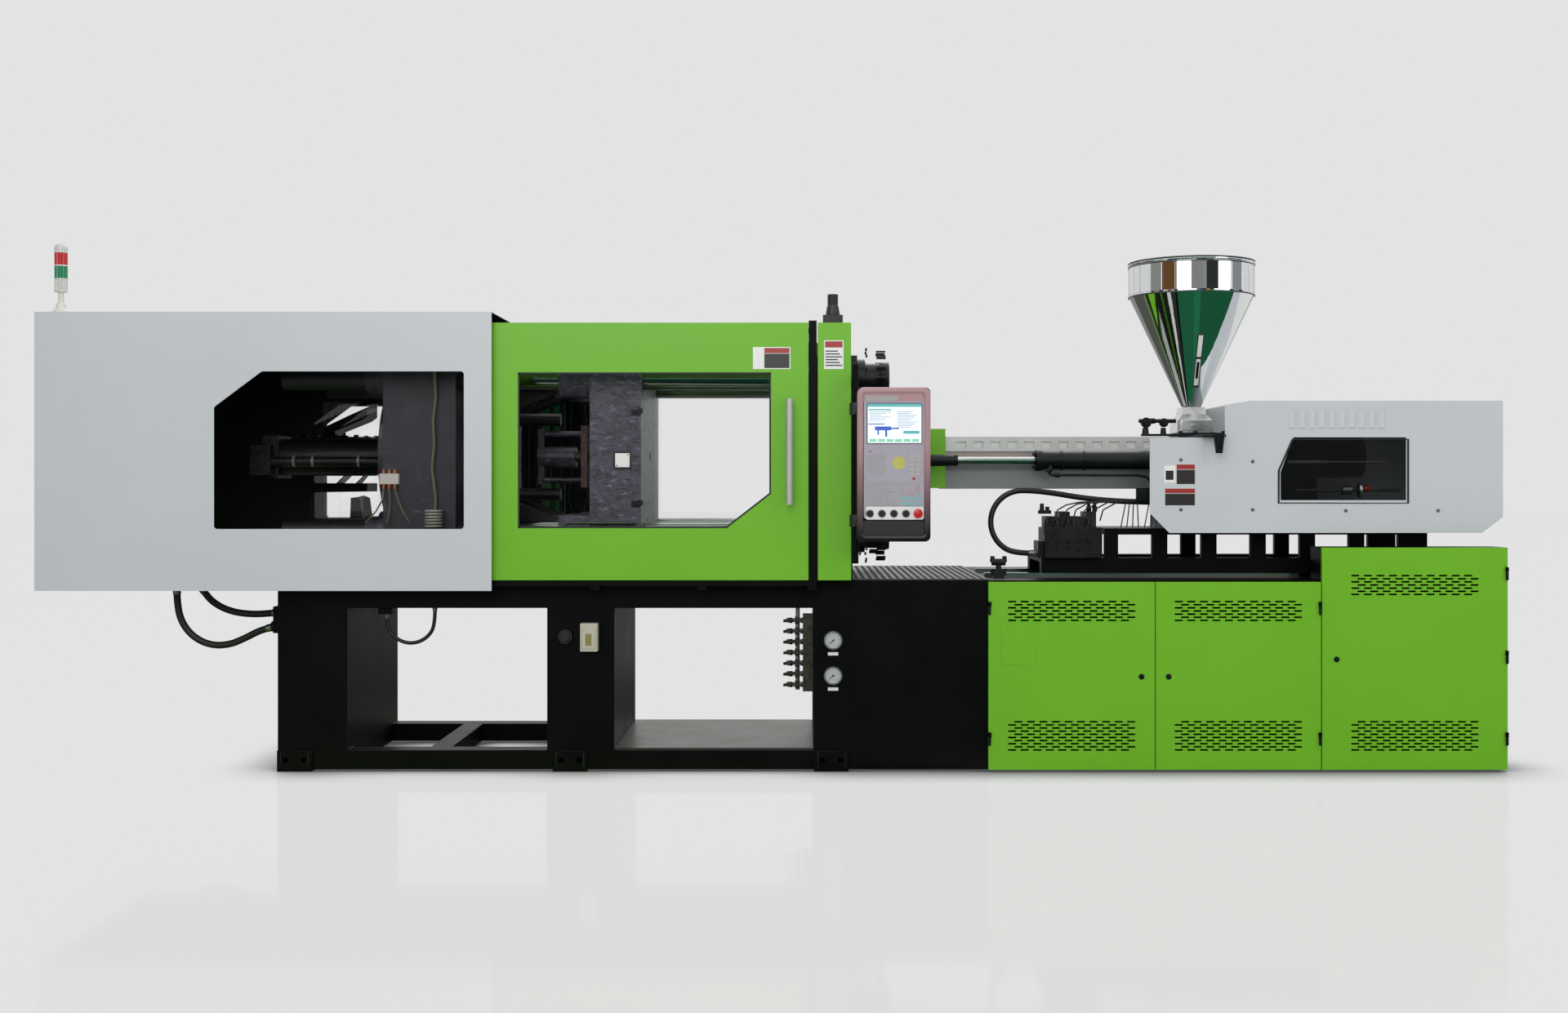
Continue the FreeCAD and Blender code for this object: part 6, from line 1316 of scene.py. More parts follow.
class MACHINE_OT_cover_details(Build):
    """Louvre hoods, window seal, screws and plain plates of the injection cover"""

    bl_idname = "machine.cover_details"
    bl_label = "Cover details"

    def execute(self, context):
        y = low("injection_cover").y / MM
        body = body_of("injection_cover")
        for side in (-1, 1):
            hoods = Shape()
            for i in range(10):
                x = 2200 + 43 * i
                section = (
                    (-9, 399.5), (-4, 403), (14, 408), (19, 408), (19, 406.5), (12, 405), (-2, 399.5)
                )
                hoods.prism([(x + dx, side * dy) for dx, dy in section], 2, 1474, 1552)
            name = "louvre_hoods_front" if side < 0 else "louvre_hoods_rear"
            hoods.piece(name, "grey_powder_coat", body, "grey_paint", bevel=0.6)
        screws = Shape()
        for x, z in (
            (1728, 1336), (1728, 1121), (2038, 1329), (2038, 1121), (2440, 1117), (2838, 1117),
        ):
            screws.rod((x, y, z), (x, y - 3.5, z), 8, 6.5)
            screws.hexagon((x, y - 3.5, z), (x, y - 4.2, z), 4)
        screws.piece("cover_screws", "turned_steel", body, "machined_steel")
        fit(
            "cover_plates", "white_label_film", body, "grey_paint",
            ((1656, 1704), (y - 0.5, y), (1238, 1312)), bevel=0,
        )
        fit(
            "cover_plate_fields", "dark_label_film", body, "black_plastic",
            ((1710, 1788), (y - 0.8, y), (1232, 1293)), ((1660, 1788), (y - 0.8, y), (1140, 1190)),
            ((1662, 1696), (y - 0.9, y - 0.5), (1250, 1290)), bevel=0,
        )
        fit(
            "cover_plate_bands", "red_label_film", body, "red_plastic",
            ((1710, 1788), (y - 0.9, y), (1296, 1316)), ((1660, 1788), (y - 0.9, y), (1193, 1212)),
            bevel=0,
        )
        window = [(2146, 1148), (2712, 1148), (2712, 1427), (2206, 1427), (2146, 1290)]
        window_seal(window, 6, y - 2.5, y + 0.5, "cover_window_seal", body)
        rod_z = 1328
        fit(
            "cover_inside_rod", "satin_aluminium", body, "machined_steel",
            ((2192, -384, rod_z), (2366, -384, rod_z), 6),
            ((2366, -384, rod_z), (2620, -384, rod_z), 3),
        )
        fit(
            "cover_inside_shaft", "turned_steel", body, "machined_steel",
            *(
                ((x0, -376, 1205), (x1, -376, 1205), radius)
                for x0, x1, radius in ((2230, 2680, 6), (2430, 2470, 20), (2500, 2512, 30))
            ),
        )
        fit(
            "cover_inside_knob", "red_abs", body, "red_plastic",
            ((2522, -376, 1214), (2548, -376, 1214), 17), bevel=2.0,
        )
        return {"FINISHED"}


class MACHINE_OT_signal_tower(Build):
    """Signal tower with a white foot and red, green and clear lenses"""

    bl_idname = "machine.signal_tower"
    bl_label = "Signal tower"

    def execute(self, context):
        first, last = low("signal_tower"), high("signal_tower")
        x, y = (first.x + last.x) / 2 / MM, (first.y + last.y) / 2 / MM
        z = first.z / MM
        white = "white_polycarbonate"
        foot = Shape()
        foot.lathe(
            [(0.1, z), (33, z), (33, z + 6), (29, z + 14), (22, z + 20), (19, z + 40), (14, z + 44),
             (12, z + 46), (12, z + 90), (0.1, z + 90)], (x, y), closed=False,
        )
        foot.lathe([(0.1, z + 90), (27, z + 90), (27, z + 94), (0.1, z + 94)], (x, y), closed=False)
        base = foot.piece("signal_foot", white, "frame", "lamp_plastic", merge=True)
        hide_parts("signal_tower")
        level = z + 94
        for name, height in (("clear_lens", 52), ("green_lens", 57), ("red_lens", 57)):
            lens = Shape()
            sides = 60
            ring = []
            for i in range(sides):
                radius = 26.0 if i % 2 else 24.4
                angle = 2 * math.pi * i / sides
                ring.append((x + radius * math.cos(angle), y + radius * math.sin(angle)))
            lens.prism(ring, 2, level, level + height - 5)
            lens.piece(name, name, "frame", "lamp_plastic", smooth=20)
            fit(
                name + "_collar", white, "frame", "lamp_plastic",
                ((x, y, level + height - 5), (x, y, level + height), 27), bevel=0.8,
            )
            level += height
        cap = Shape()
        top = last.z / MM
        cap.lathe(
            [(0.1, level), (26, level), (27, level + 6), (27, top - 12), (22, top - 4), (10, top),
             (0.1, top)], (x, y), closed=False,
        )
        cap.piece("signal_cap", "clear_lens", "frame", "lamp_plastic", merge=True)
        return {"FINISHED"}


class MACHINE_OT_hopper(Build):
    """Mirror-polished hopper with rolled flats, a bead, a lid and a sight glass"""

    bl_idname = "machine.hopper"
    bl_label = "Hopper"

    # Outer radii of the cone at its neck and at the band, and the height of its straight neck.
    neck, wide, straight = 46, 280, 6

    def execute(self, context):
        first, last = low("hopper_cone"), high("hopper_cone")
        x = (first.x + last.x) / 2 / MM
        self.x, self.centre = x, (x, 0.0)
        bottom, band = first.z / MM, last.z / MM
        rim = low("hopper_lid").z / MM + 5
        steel = "mirror_stainless"
        facets = sizes().hopper_facets
        neck, wide, wall = self.neck, self.wide, 2.5
        cone = Shape()
        cone.lathe(
            [
                (neck, bottom), (neck, bottom + self.straight), (wide, band), (wide - wall, band),
                (neck - wall, bottom + self.straight), (neck - wall, bottom),
            ],
            self.centre, sides=128,
        )
        made = cone.piece("hopper_cone_shell", steel, "carriage", "polished_hopper")
        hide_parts("hopper_cone")
        shell = Shape()
        turns = [i * math.pi / 6 for i in range(7)]
        bead = [(278 + 6 * math.sin(a), rim - 7 - 6 * math.cos(a)) for a in turns]
        shell.lathe(
            [(wide, band), (wide, rim - 14)] + bead + [(wide - wall, rim - 2), (wide - wall, band)],
            self.centre, sides=facets * 3,
        )
        made = shell.piece("hopper_band_shell", steel, "carriage", "polished_hopper", smooth=25)
        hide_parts("hopper_band")
        flats = Shape()
        for i in range(facets):
            a0 = 2 * math.pi * i / facets
            a1 = 2 * math.pi * (i + 0.9) / facets
            points = []
            for a in (a0, a1):
                for radius in (280.2, 282.2):
                    points.append((x + radius * math.cos(a), radius * math.sin(a)))
            flats.prism([points[0], points[1], points[3], points[2]], 2, band + 7, rim - 18)
        flats.piece("hopper_band_flats", steel, "carriage", "polished_hopper", bevel=0.8, smooth=0)
        seam = Shape()
        for level in (band - 2, rim - 18):
            seam.lathe(
                [(279.5, level - 3), (282.8, level - 1), (282.8, level + 2), (279.5, level + 4)],
                self.centre, sides=84,
            )
        seam.piece("hopper_seams", "ground_weld_seam", "carriage", "polished_hopper")
        self.lid(rim)
        self.sight_glass(bottom, band)
        return {"FINISHED"}

    def lid(self, rim):
        lid = Shape()
        top = high("hopper_lid").z / MM
        lid.lathe(
            [(0.1, rim), (283, rim), (284, rim + 1.5), (283, rim + 4), (262, rim + 5), (60, top - 5),
             (18, top - 4), (16, top - 1), (12, top), (0.1, top)], self.centre, sides=84, closed=False,
        )
        made = lid.piece(
            "hopper_lid_spun", "satin_lid_stainless", "hopper_lid", "polished_hopper", merge=True
        )
        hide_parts("hopper_lid")
        hinge = Shape()
        y = 289
        hinge.rod((self.x - 20, y, rim), (self.x + 20, y, rim), 5)
        hinge.box((self.x - 18, self.x + 18), (272, 288), (rim + 1, rim + 4))
        hinge.piece("hopper_lid_knuckle", "turned_steel", "hopper_lid", "polished_hopper")
        fixed = Shape()
        for start, end in ((-40, -20.5), (20.5, 40)):
            fixed.rod((self.x + start, y, rim), (self.x + end, y, rim), 5)
            fixed.box(
                (self.x + start, self.x + end), (274, 288), (rim - 5, rim - 1)
            )
        fixed.piece("hopper_knuckles", "turned_steel", "carriage", "polished_hopper")

    def sight_glass(self, bottom, band):
        """Narrow glasses on the cone, in a bright frame that follows its slope, with a black strip of
        painted shadow over the lower glass.
        """
        run = (self.wide - self.neck) / (band - bottom - self.straight)
        for name, paint, slot, half, proud, z0, z1 in (
            ("sight_frame", "ground_weld_seam", "polished_hopper", 14, 2.5, 1668, 1900),
            ("sight_glass", "milky_acrylic", "clear_pane", 10, 3.5, 1800, 1893),
            ("sight_glass_low", "milky_acrylic", "clear_pane", 10, 3.5, 1676, 1790),
            # A black strip of painted shadow over the lower glass.
            ("sight_shadow", "blackened_steel", "polished_hopper", 6, 4.2, 1706, 1778),
        ):
            strip = Shape()
            near = [-(self.neck + (z - bottom - self.straight) * run) for z in (z0, z1)]
            strip.prism(
                [(near[0] + 8, z0), (near[0] - proud, z0), (near[1] - proud, z1), (near[1] + 8, z1)],
                0, self.x - half, self.x + half,
            )
            strip.piece(name, paint, "carriage", slot, bevel=0.8)


class MACHINE_OT_hopper_throat(Build):
    """Magnet drawer's housing, flange and water fittings under the hopper"""

    bl_idname = "machine.hopper_throat"
    bl_label = "Hopper throat"

    def execute(self, context):
        x = (low("hopper_cone").x + high("hopper_cone").x) / 2 / MM
        neck = low("hopper_cone").z / MM
        first, last = low("hopper_throat"), high("hopper_throat")
        foot = first.z / MM + 30
        black = "blackened_steel"
        steel = "brushed_stainless"
        # Magnet drawer's housing: folded sheet that widens from the neck to the foot.
        housing = Shape()
        top = [(x - 52, -52), (x + 52, -52), (x + 52, 52), (x - 52, 52)]
        levels = ((neck - 2, 0), (neck - 34, 4), (neck - 62, 26), (foot, 28))
        housing.rings(
            [
                [(px + math.copysign(out, px - x), py + math.copysign(out, py), z) for px, py in top]
                for z, out in levels
            ],
            caps=True,
        )
        made = housing.piece(
            "magnet_drawer_housing", steel, "carriage", "polished_hopper", bevel=1.5
        )
        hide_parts("hopper_throat")
        fit(
            "magnet_drawer_face", steel, "carriage", "polished_hopper",
            ((x - 62, x + 40), (-86, -78), (foot + 12, foot + 58)),
            ((x - 20, x + 2), (-92, -86), (foot + 26, foot + 40)),
            bevel=1.5,
        )
        fit(
            "throat_flange", black, "carriage", "black_paint",
            ((first.x / MM, last.x / MM), (first.y / MM, last.y / MM), (first.z / MM, foot)),
            *(
                ((x + dx, dy, foot), (x + dx, dy, foot + 8), 8, 8)
                for dx in (-66, 0, 124) for dy in (-92, 92)
            ),
            bevel=1.0,
        )
        fittings = Shape()
        for dx, size in ((-152, 20), (-232, 23)):
            fittings.rod(
                (x + dx, -118, foot - 12), (x + dx, -118, foot + 22), size * 0.7, size * 0.55
            )
            for i in range(3):
                fittings.rod(
                    (x + dx, -118 - size + 6 * i, foot + 44), (x + dx, -112 - size + 6 * i, foot + 44),
                    size - (i % 2) * 4,
                )
            fittings.rod((x + dx, -150, foot + 44), (x + dx, -96, foot + 44), size * 0.6)
        fittings.rod((x - 262, -118, foot + 52), (x - 96, -118, foot + 52), 9)
        fittings.hexagon((x - 210, -118, foot + 52), (x - 190, -118, foot + 52), 14)
        fittings.box((x - 250, x - 78), (-132, -104), (foot - 16, foot - 6))
        fittings.piece("throat_water_fittings", black, "carriage", "black_paint", bevel=0.8)
        return {"FINISHED"}


class MACHINE_OT_panel(Build):
    """Operator's panel: lacquered frame, pale face, screen, keys and selectors"""

    bl_idname = "machine.panel"
    bl_label = "Control panel"

    def execute(self, context):
        first, last = low("control_panel"), high("control_panel")
        self.front = front = (low("emergency_stop").y + 0.025) / MM
        x0, x1 = 320.0, last.x / MM
        z0, z1 = first.z / MM, last.z / MM
        self.frame(x0, x1, z0, z1)
        self.plate(
            "panel_face", "pearl_panel_film", (x0 + 28, x1 - 25), (z0 + 95, z1 - 58), front - 1.2, 8
        )
        self.plate(
            "panel_head", "rose_grey_lacquer", (x0 + 20, x1 - 20), (z1 - 60, z1 - 20), front - 0.8, 8
        )
        self.plate(
            "panel_maker_plate", "grey_label_film",
            (x0 + 34, x0 + 168), (z1 - 56, z1 - 35), front - 2.0, 3,
        )
        self.plate(
            "panel_foot", "graphite_abs", (x0 + 26, x1 - 26),
            (z0 + 18, z0 + 88), front - 0.8, 10,
        )
        self.screen()
        self.keys()
        self.selectors()
        return {"FINISHED"}

    def outline(self, x, z, radius):
        """Rounded rectangle as points of X and Z."""
        points = []
        for cx, cz, start in (
            (x[1] - radius, z[1] - radius, 0), (x[0] + radius, z[1] - radius, 90),
            (x[0] + radius, z[0] + radius, 180), (x[1] - radius, z[0] + radius, 270),
        ):
            for i in range(7):
                a = math.radians(start + 15 * i)
                points.append((cx + radius * math.cos(a), cz + radius * math.sin(a)))
        return points

    def plate(self, name, paint, x, z, y, radius, thick=1.2, slot="panel_plastic"):
        """A thin plate with rounded corners on the panel's face."""
        made = Shape()
        made.prism(self.outline(x, z, radius), 1, y, y + thick)
        return made.piece(name, paint, "control_panel", slot, bevel=0.4)

    def frame(self, x0, x1, z0, z1):
        """Lacquered surround: crowned at its outer edge, with a lip round the face."""
        made = Shape()
        rings = []
        for inset, lift, radius in (
            (0, 0, 30), (0.5, 3, 30), (3, 6, 28), (9, 7.5, 24), (17, 7.5, 18), (23, 6, 14), (26, 2, 12),
            (26.5, -0.5, 12),
        ):
            y = self.front - lift
            outline = self.outline((x0 + inset, x1 - inset), (z0 + inset, z1 - inset), radius)
            rings.append([(x, y, z) for x, z in outline])
        made.rings(rings, caps=True)
        made.piece(
            "panel_surround", "rose_grey_lacquer", "control_panel", "panel_plastic", smooth=50
        )

    def screen(self):
        front = self.front
        left, right, bottom, top = 364.0, 585.0, 1401.0, 1562.0
        self.plate(
            "screen_border", "dark_bezel_abs",
            (left - 5, right + 5), (bottom - 5, top + 5), front - 2.4, 4, 1.4,
        )
        self.plate(
            "screen_glass", "screen_paper", (left, right), (bottom, top),
            front - 3.0, 1, 0.6, "clear_pane",
        )
        y = (front - 3.4, front - 3.0)
        for name, spans in (
            (
                "screen_teal",
                (
                    ((left, right), (top - 12, top)), ((left + 4, left + 96), (top - 26, top - 21)),
                    ((right - 74, right - 8), (bottom + 38, bottom + 50)),
                ),
            ),
            (
                "screen_blue",
                (
                    ((left + 3, left + 70), (bottom + 76, bottom + 80)),
                    ((left + 30, left + 96), (bottom + 52, bottom + 68)),
                    ((left + 40, left + 46), (bottom + 34, bottom + 52)),
                    ((left + 72, left + 80), (bottom + 26, bottom + 52)),
                    ((left + 96, left + 128), (bottom + 57, bottom + 63)),
                ),
            ),
            (
                "screen_green",
                tuple(
                    ((left + 8 + i * 35, left + 36 + i * 35), (bottom + 5, bottom + 16))
                    for i in range(6)
                ),
            ),
            (
                "screen_rows",
                tuple(
                    ((left + 8, left + 56 + 20 * (i % 3)), (bottom + 92 + i * 7, bottom + 94 + i * 7))
                    for i in range(6)
                )
                + tuple(
                    ((left + 122, left + 176 + 9 * (i % 4)), (bottom + 64 + i * 7, bottom + 66 + i * 7))
                    for i in range(10)
                ),
            ),
        ):
            fit(name, name, "control_panel", "clear_pane", *((x, y, z) for x, z in spans), bevel=0)

    def keys(self):
        """Fields of printed keys, copied over grids by a tree."""
        front = self.front
        grey = "grey_key_film"
        # each field: name, film, X and Z spans, columns, rows, width and height of one key
        for name, film, x, z, columns, rows, wide, tall in (
            ("keys_upper", grey, (361, 437), (1272, 1353), 4, 5, 16, 13),
            ("keys_lower", grey, (361, 494), (1143, 1242), 5, 4, 21, 18),
            ("keys_teal", "teal_key_film", (501, 580), (1143, 1180), 3, 2, 21, 14),
            ("keys_right", grey, (501, 580), (1186, 1242), 3, 3, 21, 14),
            ("keys_side", "olive_key_film", (538, 580), (1268, 1353), 2, 5, 14, 11),
        ):
            key = Shape()
            key.box((-wide / 2, wide / 2), (-tall / 2, tall / 2), (0, 1))
            seed = key.object("key")
            made = grow(
                grid_tree(name + "_tree", film), name, Piece=seed, Size_X=(x[1] - x[0] - wide) * MM,
                Size_Y=(z[1] - z[0] - tall) * MM, Columns=columns, Rows=rows,
            )
            bpy.data.objects.remove(seed)
            stand_up(made, Vector((sum(x) / 2 * MM, (front - 1.2) * MM, sum(z) / 2 * MM)))
            dress(made, film, "control_panel", 0.3, smooth=0)
        fit(
            "keys_pink", "pink_key_film", "control_panel", "panel_plastic",
            *(
                ((x - 9, x + 9), (front - 2.6, front - 2.2), (z - 5, z + 5))
                for x, z in ((540, 1193), (569, 1214))
            ),
        )
        ring = Shape()
        for i in range(8):
            a = math.pi / 4 * i
            cx, cz = 492 + 19 * math.cos(a), 1319 + 19 * math.sin(a)
            ring.rod((cx, front - 1.2, cz), (cx, front - 2.4, cz), 7.4, 6.9, sides=20)
        ring.rod((492, front - 1.2, 1319), (492, front - 1.7, 1319), 27, 26.5, sides=40)
        ring.rod((492, front - 1.2, 1319), (492, front - 2.8, 1319), 9, 8, sides=24)
        ring.piece("round_keys", "yellow_key_film", "control_panel", "panel_plastic")
        fit(
            "mode_lamp", "red_abs", "control_panel", "panel_plastic",
            ((554, front - 1.2, 1254), (554, front - 3.2, 1254), 6, 5),
            ((375, front - 1.2, 1366), (375, front - 2.8, 1366), 4, 3.5),
        )

    def selectors(self):
        """Rings round the four black selectors and the stop button, on a pale strip."""
        front, z = self.front, 1110.0
        self.plate(
            "selector_strip", "white_label_film", (357, 594), (1085, 1138),
            front - 2.0, 6, 0.8,
        )
        rings, caps = Shape(), Shape()
        first, pitch = 373, 49.5
        for i in range(4):
            x = first + i * pitch
            rings.rod((x, front, z), (x, front - 3.5, z), 17, 16)
            caps.rod((x, front - 3.5, z), (x, front - 16, z), 13.4, 12.4)
            bar = caps.box((x - 3, x + 3), (front - 22, front - 15), (z - 12, z + 12))
            caps.turn(bar, (x, front, z), "Y", 30 * (i - 1))
        x += pitch
        rings.rod((x, front, z), (x, front - 3.5, z), 14, 13)
        rings.piece("selector_rings", "turned_steel", "control_panel", "panel_plastic", bevel=0.6)
        caps.piece("selector_caps", "black_abs", "control_panel", "black_plastic", bevel=0.8)
        head = Shape()
        front_y = low("emergency_stop").y / MM
        head.rod((x, front_y + 45, z), (x, front_y + 17, z), 8)
        for y0, y1, r0, r1 in (
            (17, 12, 13, 17.5), (12, 6, 17.5, 19), (6, 2, 19, 17.5), (2, 0, 17.5, 12),
        ):
            head.rod((x, front_y + y0, z), (x, front_y + y1, z), r0, r1)
        made = head.piece(
            "stop_head", "red_abs", "emergency_stop", "red_plastic"
        )
        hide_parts("emergency_stop")


class MACHINE_OT_instruments(Build):
    """Gauge faces, sockets and water taps with their nozzles"""

    bl_idname = "machine.instruments"
    bl_label = "Instruments"

    def execute(self, context):
        self.gauges()
        self.socket()
        self.taps()
        return {"FINISHED"}

    def gauges(self):
        first, last = low("pressure_gauges"), high("pressure_gauges")
        x = (first.x + last.x) / 2 / MM
        front = first.y / MM
        dial, needle, plate = Shape(), Shape(), Shape()
        for z in (last.z / MM - 40, first.z / MM + 40):
            dial.rod((x, front + 4, z), (x, front + 2.5, z), 34)
            for i in range(11):
                a = math.radians(225 - 27 * i)
                tick = needle.box((x + 24, x + 31), (front + 2.0, front + 2.5), (z - 0.8, z + 0.8))
                needle.turn(tick, (x, front, z), "Y", -math.degrees(a))
            hand = needle.box((x - 8, x + 22), (front + 1.2, front + 1.8), (z - 1.2, z + 1.2))
            needle.turn(hand, (x, front, z), "Y", 140)
            needle.rod((x, front + 2, z), (x, front + 0.8, z), 4)
            plate.box((x - 22, x + 22), (BASE_FRONT / MM - 1, BASE_FRONT / MM), (z - 66, z - 52))
        dial.piece("gauge_dials", "white_dial_enamel", "frame", "gauge_case")
        needle.piece("gauge_needles", "black_dial_ink", "frame", "gauge_case")
        plate.piece("gauge_plates", "white_label_film", "frame", "grey_paint")

    def socket(self):
        left, right, bottom, top = -852.0, -778.0, 518.0, 638.0
        wall, front = BASE_FRONT / MM, BASE_FRONT / MM - 50
        x, z = (left + right) / 2, (bottom + top) / 2
        body = fit(
            "socket_body", "ivory_abs", "frame", "black_plastic",
            ((left, right), (front, wall), (bottom, top)),
            ((x - 30, x + 30), (front - 5, front), (z - 48, z + 30)),
            ((x - 28, front - 2, z + 33), (x + 28, front - 2, z + 33), 5, 5),
            bevel=2.0,
        )
        guard_top = high("side_guards").z / MM
        plug_x, plug_y = 224.0, -497.5
        plug = Shape()
        plug.box((plug_x - 42, plug_x + 42), (plug_y - 30, plug_y + 30), (guard_top, guard_top + 37))
        plug.lathe(
            [(0.1, guard_top + 37), (30, guard_top + 37), (30, guard_top + 44), (24, guard_top + 77),
             (22, guard_top + 79), (22, guard_top + 126), (17, guard_top + 127), (0.1, guard_top + 127)],
            (plug_x, plug_y), closed=False,
        )
        for i in range(6):
            level = guard_top + 84 + 7 * i
            plug.lathe(
                [(20, level), (23.5, level + 1), (23.5, level + 3), (20, level + 4)], (plug_x, plug_y)
            )
        for dx in (-34, 34):
            screw_x, level = plug_x + dx, guard_top + 18
            plug.rod((screw_x, plug_y - 32, level), (screw_x, plug_y - 30, level), 5)
        connector = plug.piece(
            "robot_connector", "black_abs", "frame", "black_plastic", bevel=1.0
        )
        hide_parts("electrical_sockets")
        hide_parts("electrical_sockets")
        fit(
            "socket_window", "amber_flap", "frame", "black_plastic",
            ((x - 14, x + 12), (front - 6, front - 5), (z - 34, z + 16)), bevel=0.5,
        )
        fit(
            "round_outlet", "black_abs", "frame", "black_plastic",
            ((left - 67, wall, z), (left - 67, wall - 26, z), 34, 30),
            ((left - 67, wall - 26, z), (left - 67, wall - 34, z), 24, 20),
            bevel=1.5,
        )

    def taps(self):
        y = -413.0
        taps, bodies, nozzles = Shape(), Shape(), Shape()
        lowest, pitch = 369, 46
        for i in range(7):
            z = lowest + pitch * i
            taps.hexagon((98, y, z), (86, y, z), 13)
            taps.rod((62, y, z), (30, y, z), 8, 10)
            taps.rod((68, y - 4, z), (68, y - 30, z), 5)
            lever = taps.box((52, 84), (y - 34, y - 29), (z - 4, z + 4))
            taps.turn(lever, (68, y, z), "Y", 12 * (i % 3) - 8)
            bodies.rod((84, y, z), (64, y, z), 13)
            bodies.rod((52, y - 6, z), (40, y - 6, z), 12)
            nozzles.rod((30, y, z), (12, y, z - 4), 7, 6)
        taps.piece("water_taps", "dull_brass", "frame", "brass_fittings", bevel=0.5)
        bodies.piece("water_tap_bodies", "blackened_steel", "frame", "brass_fittings", bevel=0.5)
        nozzles.piece("tap_nozzles", "blackened_steel", "frame", "brass_fittings")
        fit(
            "tap_pipe", "turned_steel", "frame", "brass_fittings",
            ((74, y + 14, 345), (74, y + 14, 700), 9), bevel=0,
        )


class MACHINE_OT_base_details(Build):
    """Bolted foot brackets, hose port blocks and a plain plate on the base"""

    bl_idname = "machine.base_details"
    bl_label = "Base details"

    def execute(self, context):
        black = "blackened_steel"
        front = BASE_FRONT / MM
        brackets, bolts = Shape(), Shape()
        for side in (-1, 1):
            for x in (-2079, -900, 220):
                y = -side * front
                out = side * 5
                brackets.box((x - 68, x + 68), sorted((y, y + out)), (16, 84))
                for dx in (-62, 56):
                    brackets.box((x + dx, x + dx + 6), sorted((y, y + 3 * out)), (16, 84))
                for dx in (-38, 38):
                    bolts.hexagon((x + dx, y + out, 50), (x + dx, y + 2.4 * out, 50), 13)
                    bolts.rod((x + dx, y + out, 50), (x + dx, y + 1.6 * out, 50), 18)
        brackets.piece("foot_brackets", black, "frame", "black_paint", bevel=1.6)
        bolts.piece("foot_bolts", "turned_steel", "frame", "machined_steel", bevel=0.8)
        ports = Shape()
        for y, z in ((-330, 612), (-250, 668)):
            ports.box((-2204, -2155), (y - 22, y + 22), (z - 26, z + 26))
            ports.hexagon((-2216, y, z), (-2200, y, z), 26)
        ports.piece("hose_port_blocks", black, "frame", "black_paint", bevel=1.5)
        door = "cabinet_door_left"
        sheet = front - 20
        fit(
            "door_plain_plate", "green_powder_coat", door, "green_paint",
            ((946, 1090), (sheet - 1.2, sheet), (459, 638)), bevel=0.4,
        )
        return {"FINISHED"}


class MACHINE_OT_hoses(Build):
    """Oil hoses that hang at the base's left end, under its beam and at the carriage"""

    bl_idname = "machine.hoses"
    bl_label = "Hoses"

    def execute(self, context):
        beam_loop = [
            (-1699, 672), (-1699, 622), (-1671, 574), (-1623, 546), (-1567, 546), (-1519, 574),
            (-1491, 622), (-1491, 700),
        ]
        carriage_loop = [
            (1740, 1150), (1600, 1152), (1460, 1158), (1330, 1172), (1215, 1192), (1120, 1203),
            (1037.5, 1203), (972.5, 1165.5), (935, 1100.5), (935, 1025.5), (972.5, 960.5),
            (1037.5, 923), (1136, 923),
        ]
        outer = [
            (-2201, 612), (-2262, 598), (-2330, 562), (-2400, 532), (-2475, 528),
            (-2545, 555), (-2600, 610), (-2630, 690), (-2632, 790),
        ]
        inner = [
            (-2201, 668), (-2270, 660), (-2340, 659), (-2410, 668), (-2475, 693),
            (-2528, 735), (-2562, 790),
        ]
        for name, route, y, radius, body, node in (
            ("outer_oil_hose", outer, -330, 15, "frame", "base_hoses"),
            ("inner_oil_hose", inner, -250, 15, "frame", "base_hoses"),
            ("beam_hose", beam_loop, -400, 8, "frame", "base_hoses"),
            ("carriage_hose", carriage_loop, -150, 12.5, "carriage", "injection_hose"),
        ):
            self.hose(name, route, y, radius, body, node)
        return {"FINISHED"}

    def hose(self, name, route, y, radius, body, node):
        data = bpy.data.curves.new(name, "CURVE")
        data.dimensions = "3D"
        line = data.splines.new("NURBS")
        line.points.add(len(route) - 1)
        for point, (x, z) in zip(line.points, route):
            point.co = (x * MM, y * MM, z * MM, 1)
        line.order_u = 3
        line.use_endpoint_u = True
        line.resolution_u = 10
        plain = bpy.data.objects.new(name + "_line", data)
        bpy.context.scene.collection.objects.link(plain)
        bpy.context.view_layer.update()
        ready = plain.evaluated_get(bpy.context.evaluated_depsgraph_get())
        sampled = bpy.data.meshes.new_from_object(ready)
        points = [v.co.copy() for v in sampled.vertices]
        bpy.data.objects.remove(plain)
        bpy.data.meshes.remove(sampled)
        data.bevel_depth = radius * MM
        data.bevel_resolution = 6
        data.use_fill_caps = True
        hose = bpy.data.objects.new(name, data)
        dress(hose, "nitrile_hose_cover", body, smooth=0)
        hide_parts(node)
        ends = Shape()
        start, near = points[0] / MM, points[3] / MM
        end, far = points[-1] / MM, points[-4] / MM
        for tip, inward in ((start, near), (end, far)):
            way = (inward - tip).normalized()
            ends.rod(tip, tip + way * radius * 2.6, radius * 1.18, radius * 1.12)
            ends.hexagon(tip, tip + way * radius * 0.9, radius * 1.5)
        ends.piece(name + "_ferrules", "turned_steel", body, "machined_steel", bevel=0.5)


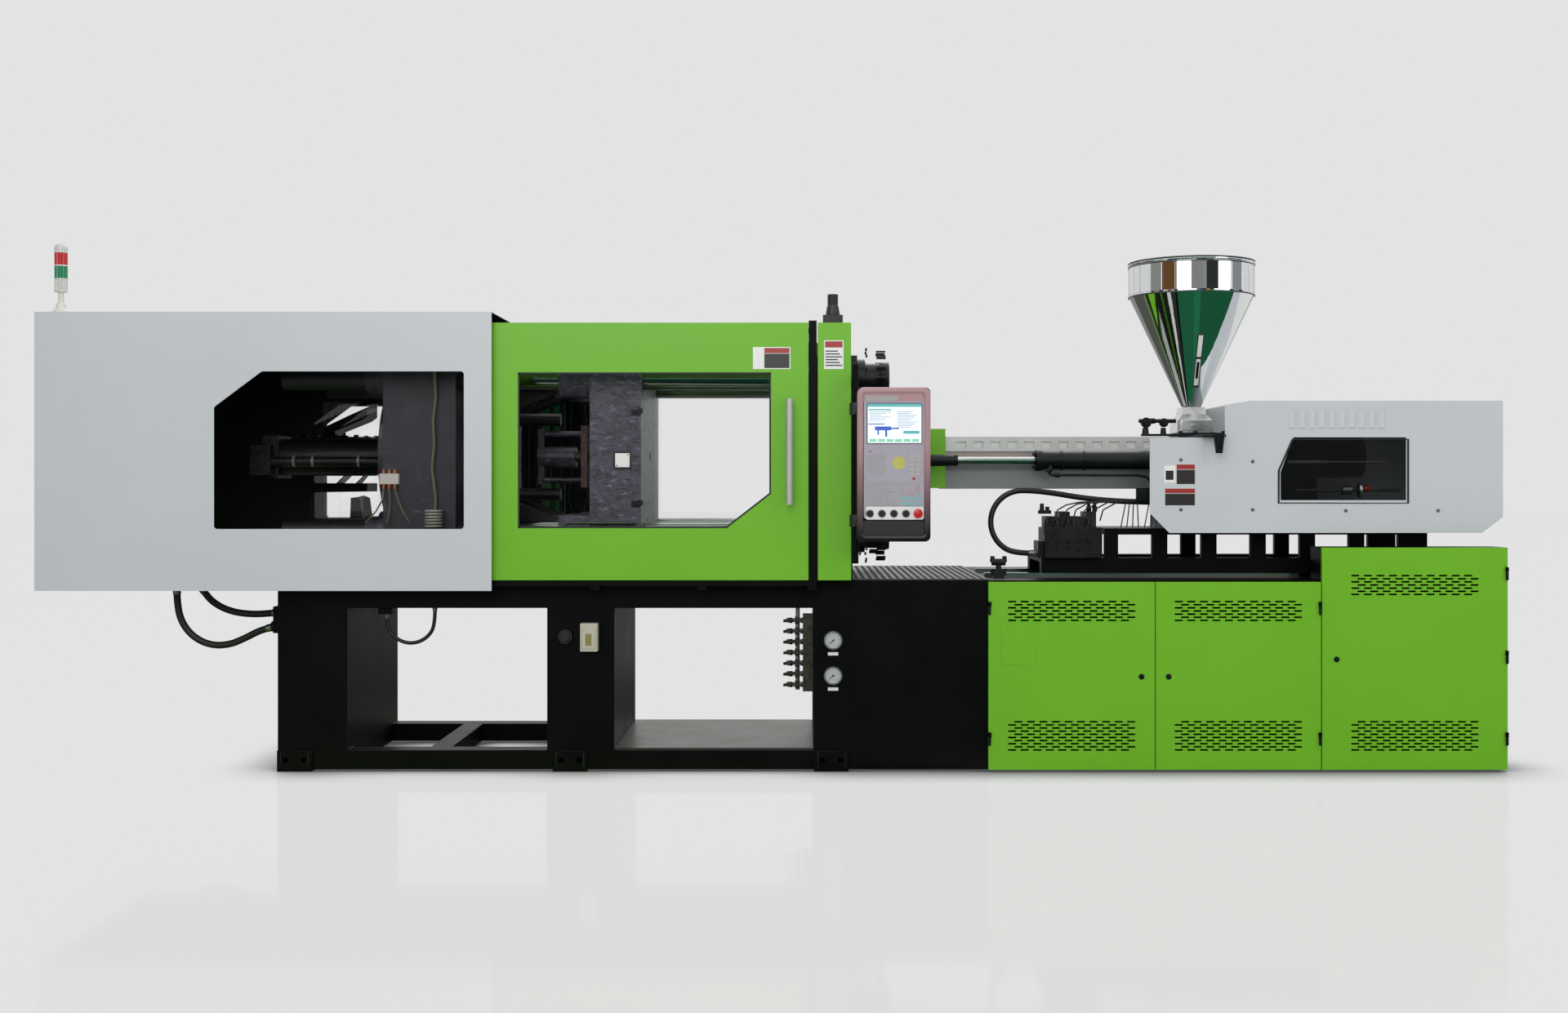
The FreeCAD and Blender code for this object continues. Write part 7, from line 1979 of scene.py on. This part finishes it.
class MACHINE_OT_deck(Build):
    """Raised bars of the checker plate and the oily drip tray"""

    bl_idname = "machine.deck"
    bl_label = "Deck plates"

    def execute(self, context):
        first, last = low("deck_plates"), high("deck_plates")
        pitch = sizes().tread_pitch
        x0, x1 = 0.312, 0.884
        y0, y1 = first.y + 0.008, last.y - 0.008

        bar = Shape()
        bar.prism([(-11, 0), (-7, -2.6), (7, -2.6), (11, 0), (7, 2.6), (-7, 2.6)], 2, 0, 1.6)
        seed = bar.object("tread_bar")
        # The number of columns is kept odd.
        columns, rows = int((x1 - x0) / pitch), int((y1 - y0) / pitch)
        columns -= 1 - columns % 2
        made = grow(
            grid_tree("tread_bars_tree", "checker_plate_steel", 90.0), "tread_bars", Piece=seed,
            Size_X=(columns - 1) * pitch, Size_Y=(rows - 1) * pitch, Columns=columns, Rows=rows,
        )
        bpy.data.objects.remove(seed)
        made.data.transform(Matrix.Translation(((x0 + x1) / 2, (y0 + y1) / 2, last.z - 0.0001)))
        dress(made, "checker_plate_steel", "frame", smooth=0)
        fit(
            "drip_tray_oil", "oily_tray_steel", "frame", "tread_plate",
            ((-710, 139), (-438, 438), (97.2, 99.0)), bevel=0,
        )
        return {"FINISHED"}


class MACHINE_PT_sidebar(Panel):
    """The machine's sizes and the steps that dress it"""

    bl_idname = "MACHINE_PT_sidebar"
    bl_label = "Moulding machine"
    bl_space_type = "VIEW_3D"
    bl_region_type = "UI"
    bl_category = "Machine"

    def draw(self, context):
        for group in (context.scene.machine_sizes, context.scene.machine_colours):
            for name in group.__annotations__:
                self.layout.prop(group, name)
        for step in STEPS:
            self.layout.operator(step.bl_idname)


STEPS = (
    MACHINE_OT_stage,
    MACHINE_OT_hoses,
    MACHINE_OT_finishes,
    MACHINE_OT_cabinet_doors,
    MACHINE_OT_guard_details,
    MACHINE_OT_toggle_details,
    MACHINE_OT_platen_details,
    MACHINE_OT_barrel_details,
    MACHINE_OT_cover_details,
    MACHINE_OT_signal_tower,
    MACHINE_OT_hopper,
    MACHINE_OT_hopper_throat,
    MACHINE_OT_panel,
    MACHINE_OT_instruments,
    MACHINE_OT_base_details,
    MACHINE_OT_deck,
)
CLASSES = (MachineSizes, MachineColours, *STEPS, MACHINE_PT_sidebar)


def register():
    for cls in CLASSES:
        bpy.utils.register_class(cls)
    bpy.types.Scene.machine_sizes = PointerProperty(type=MachineSizes)
    bpy.types.Scene.machine_colours = PointerProperty(type=MachineColours)


def unregister():
    del bpy.types.Scene.machine_colours
    del bpy.types.Scene.machine_sizes
    for cls in reversed(CLASSES):
        bpy.utils.unregister_class(cls)


def main():
    register()
    for step in STEPS:
        family, name = step.bl_idname.split(".")
        getattr(getattr(bpy.ops, family), name)()


if __name__ == "__main__":
    main()
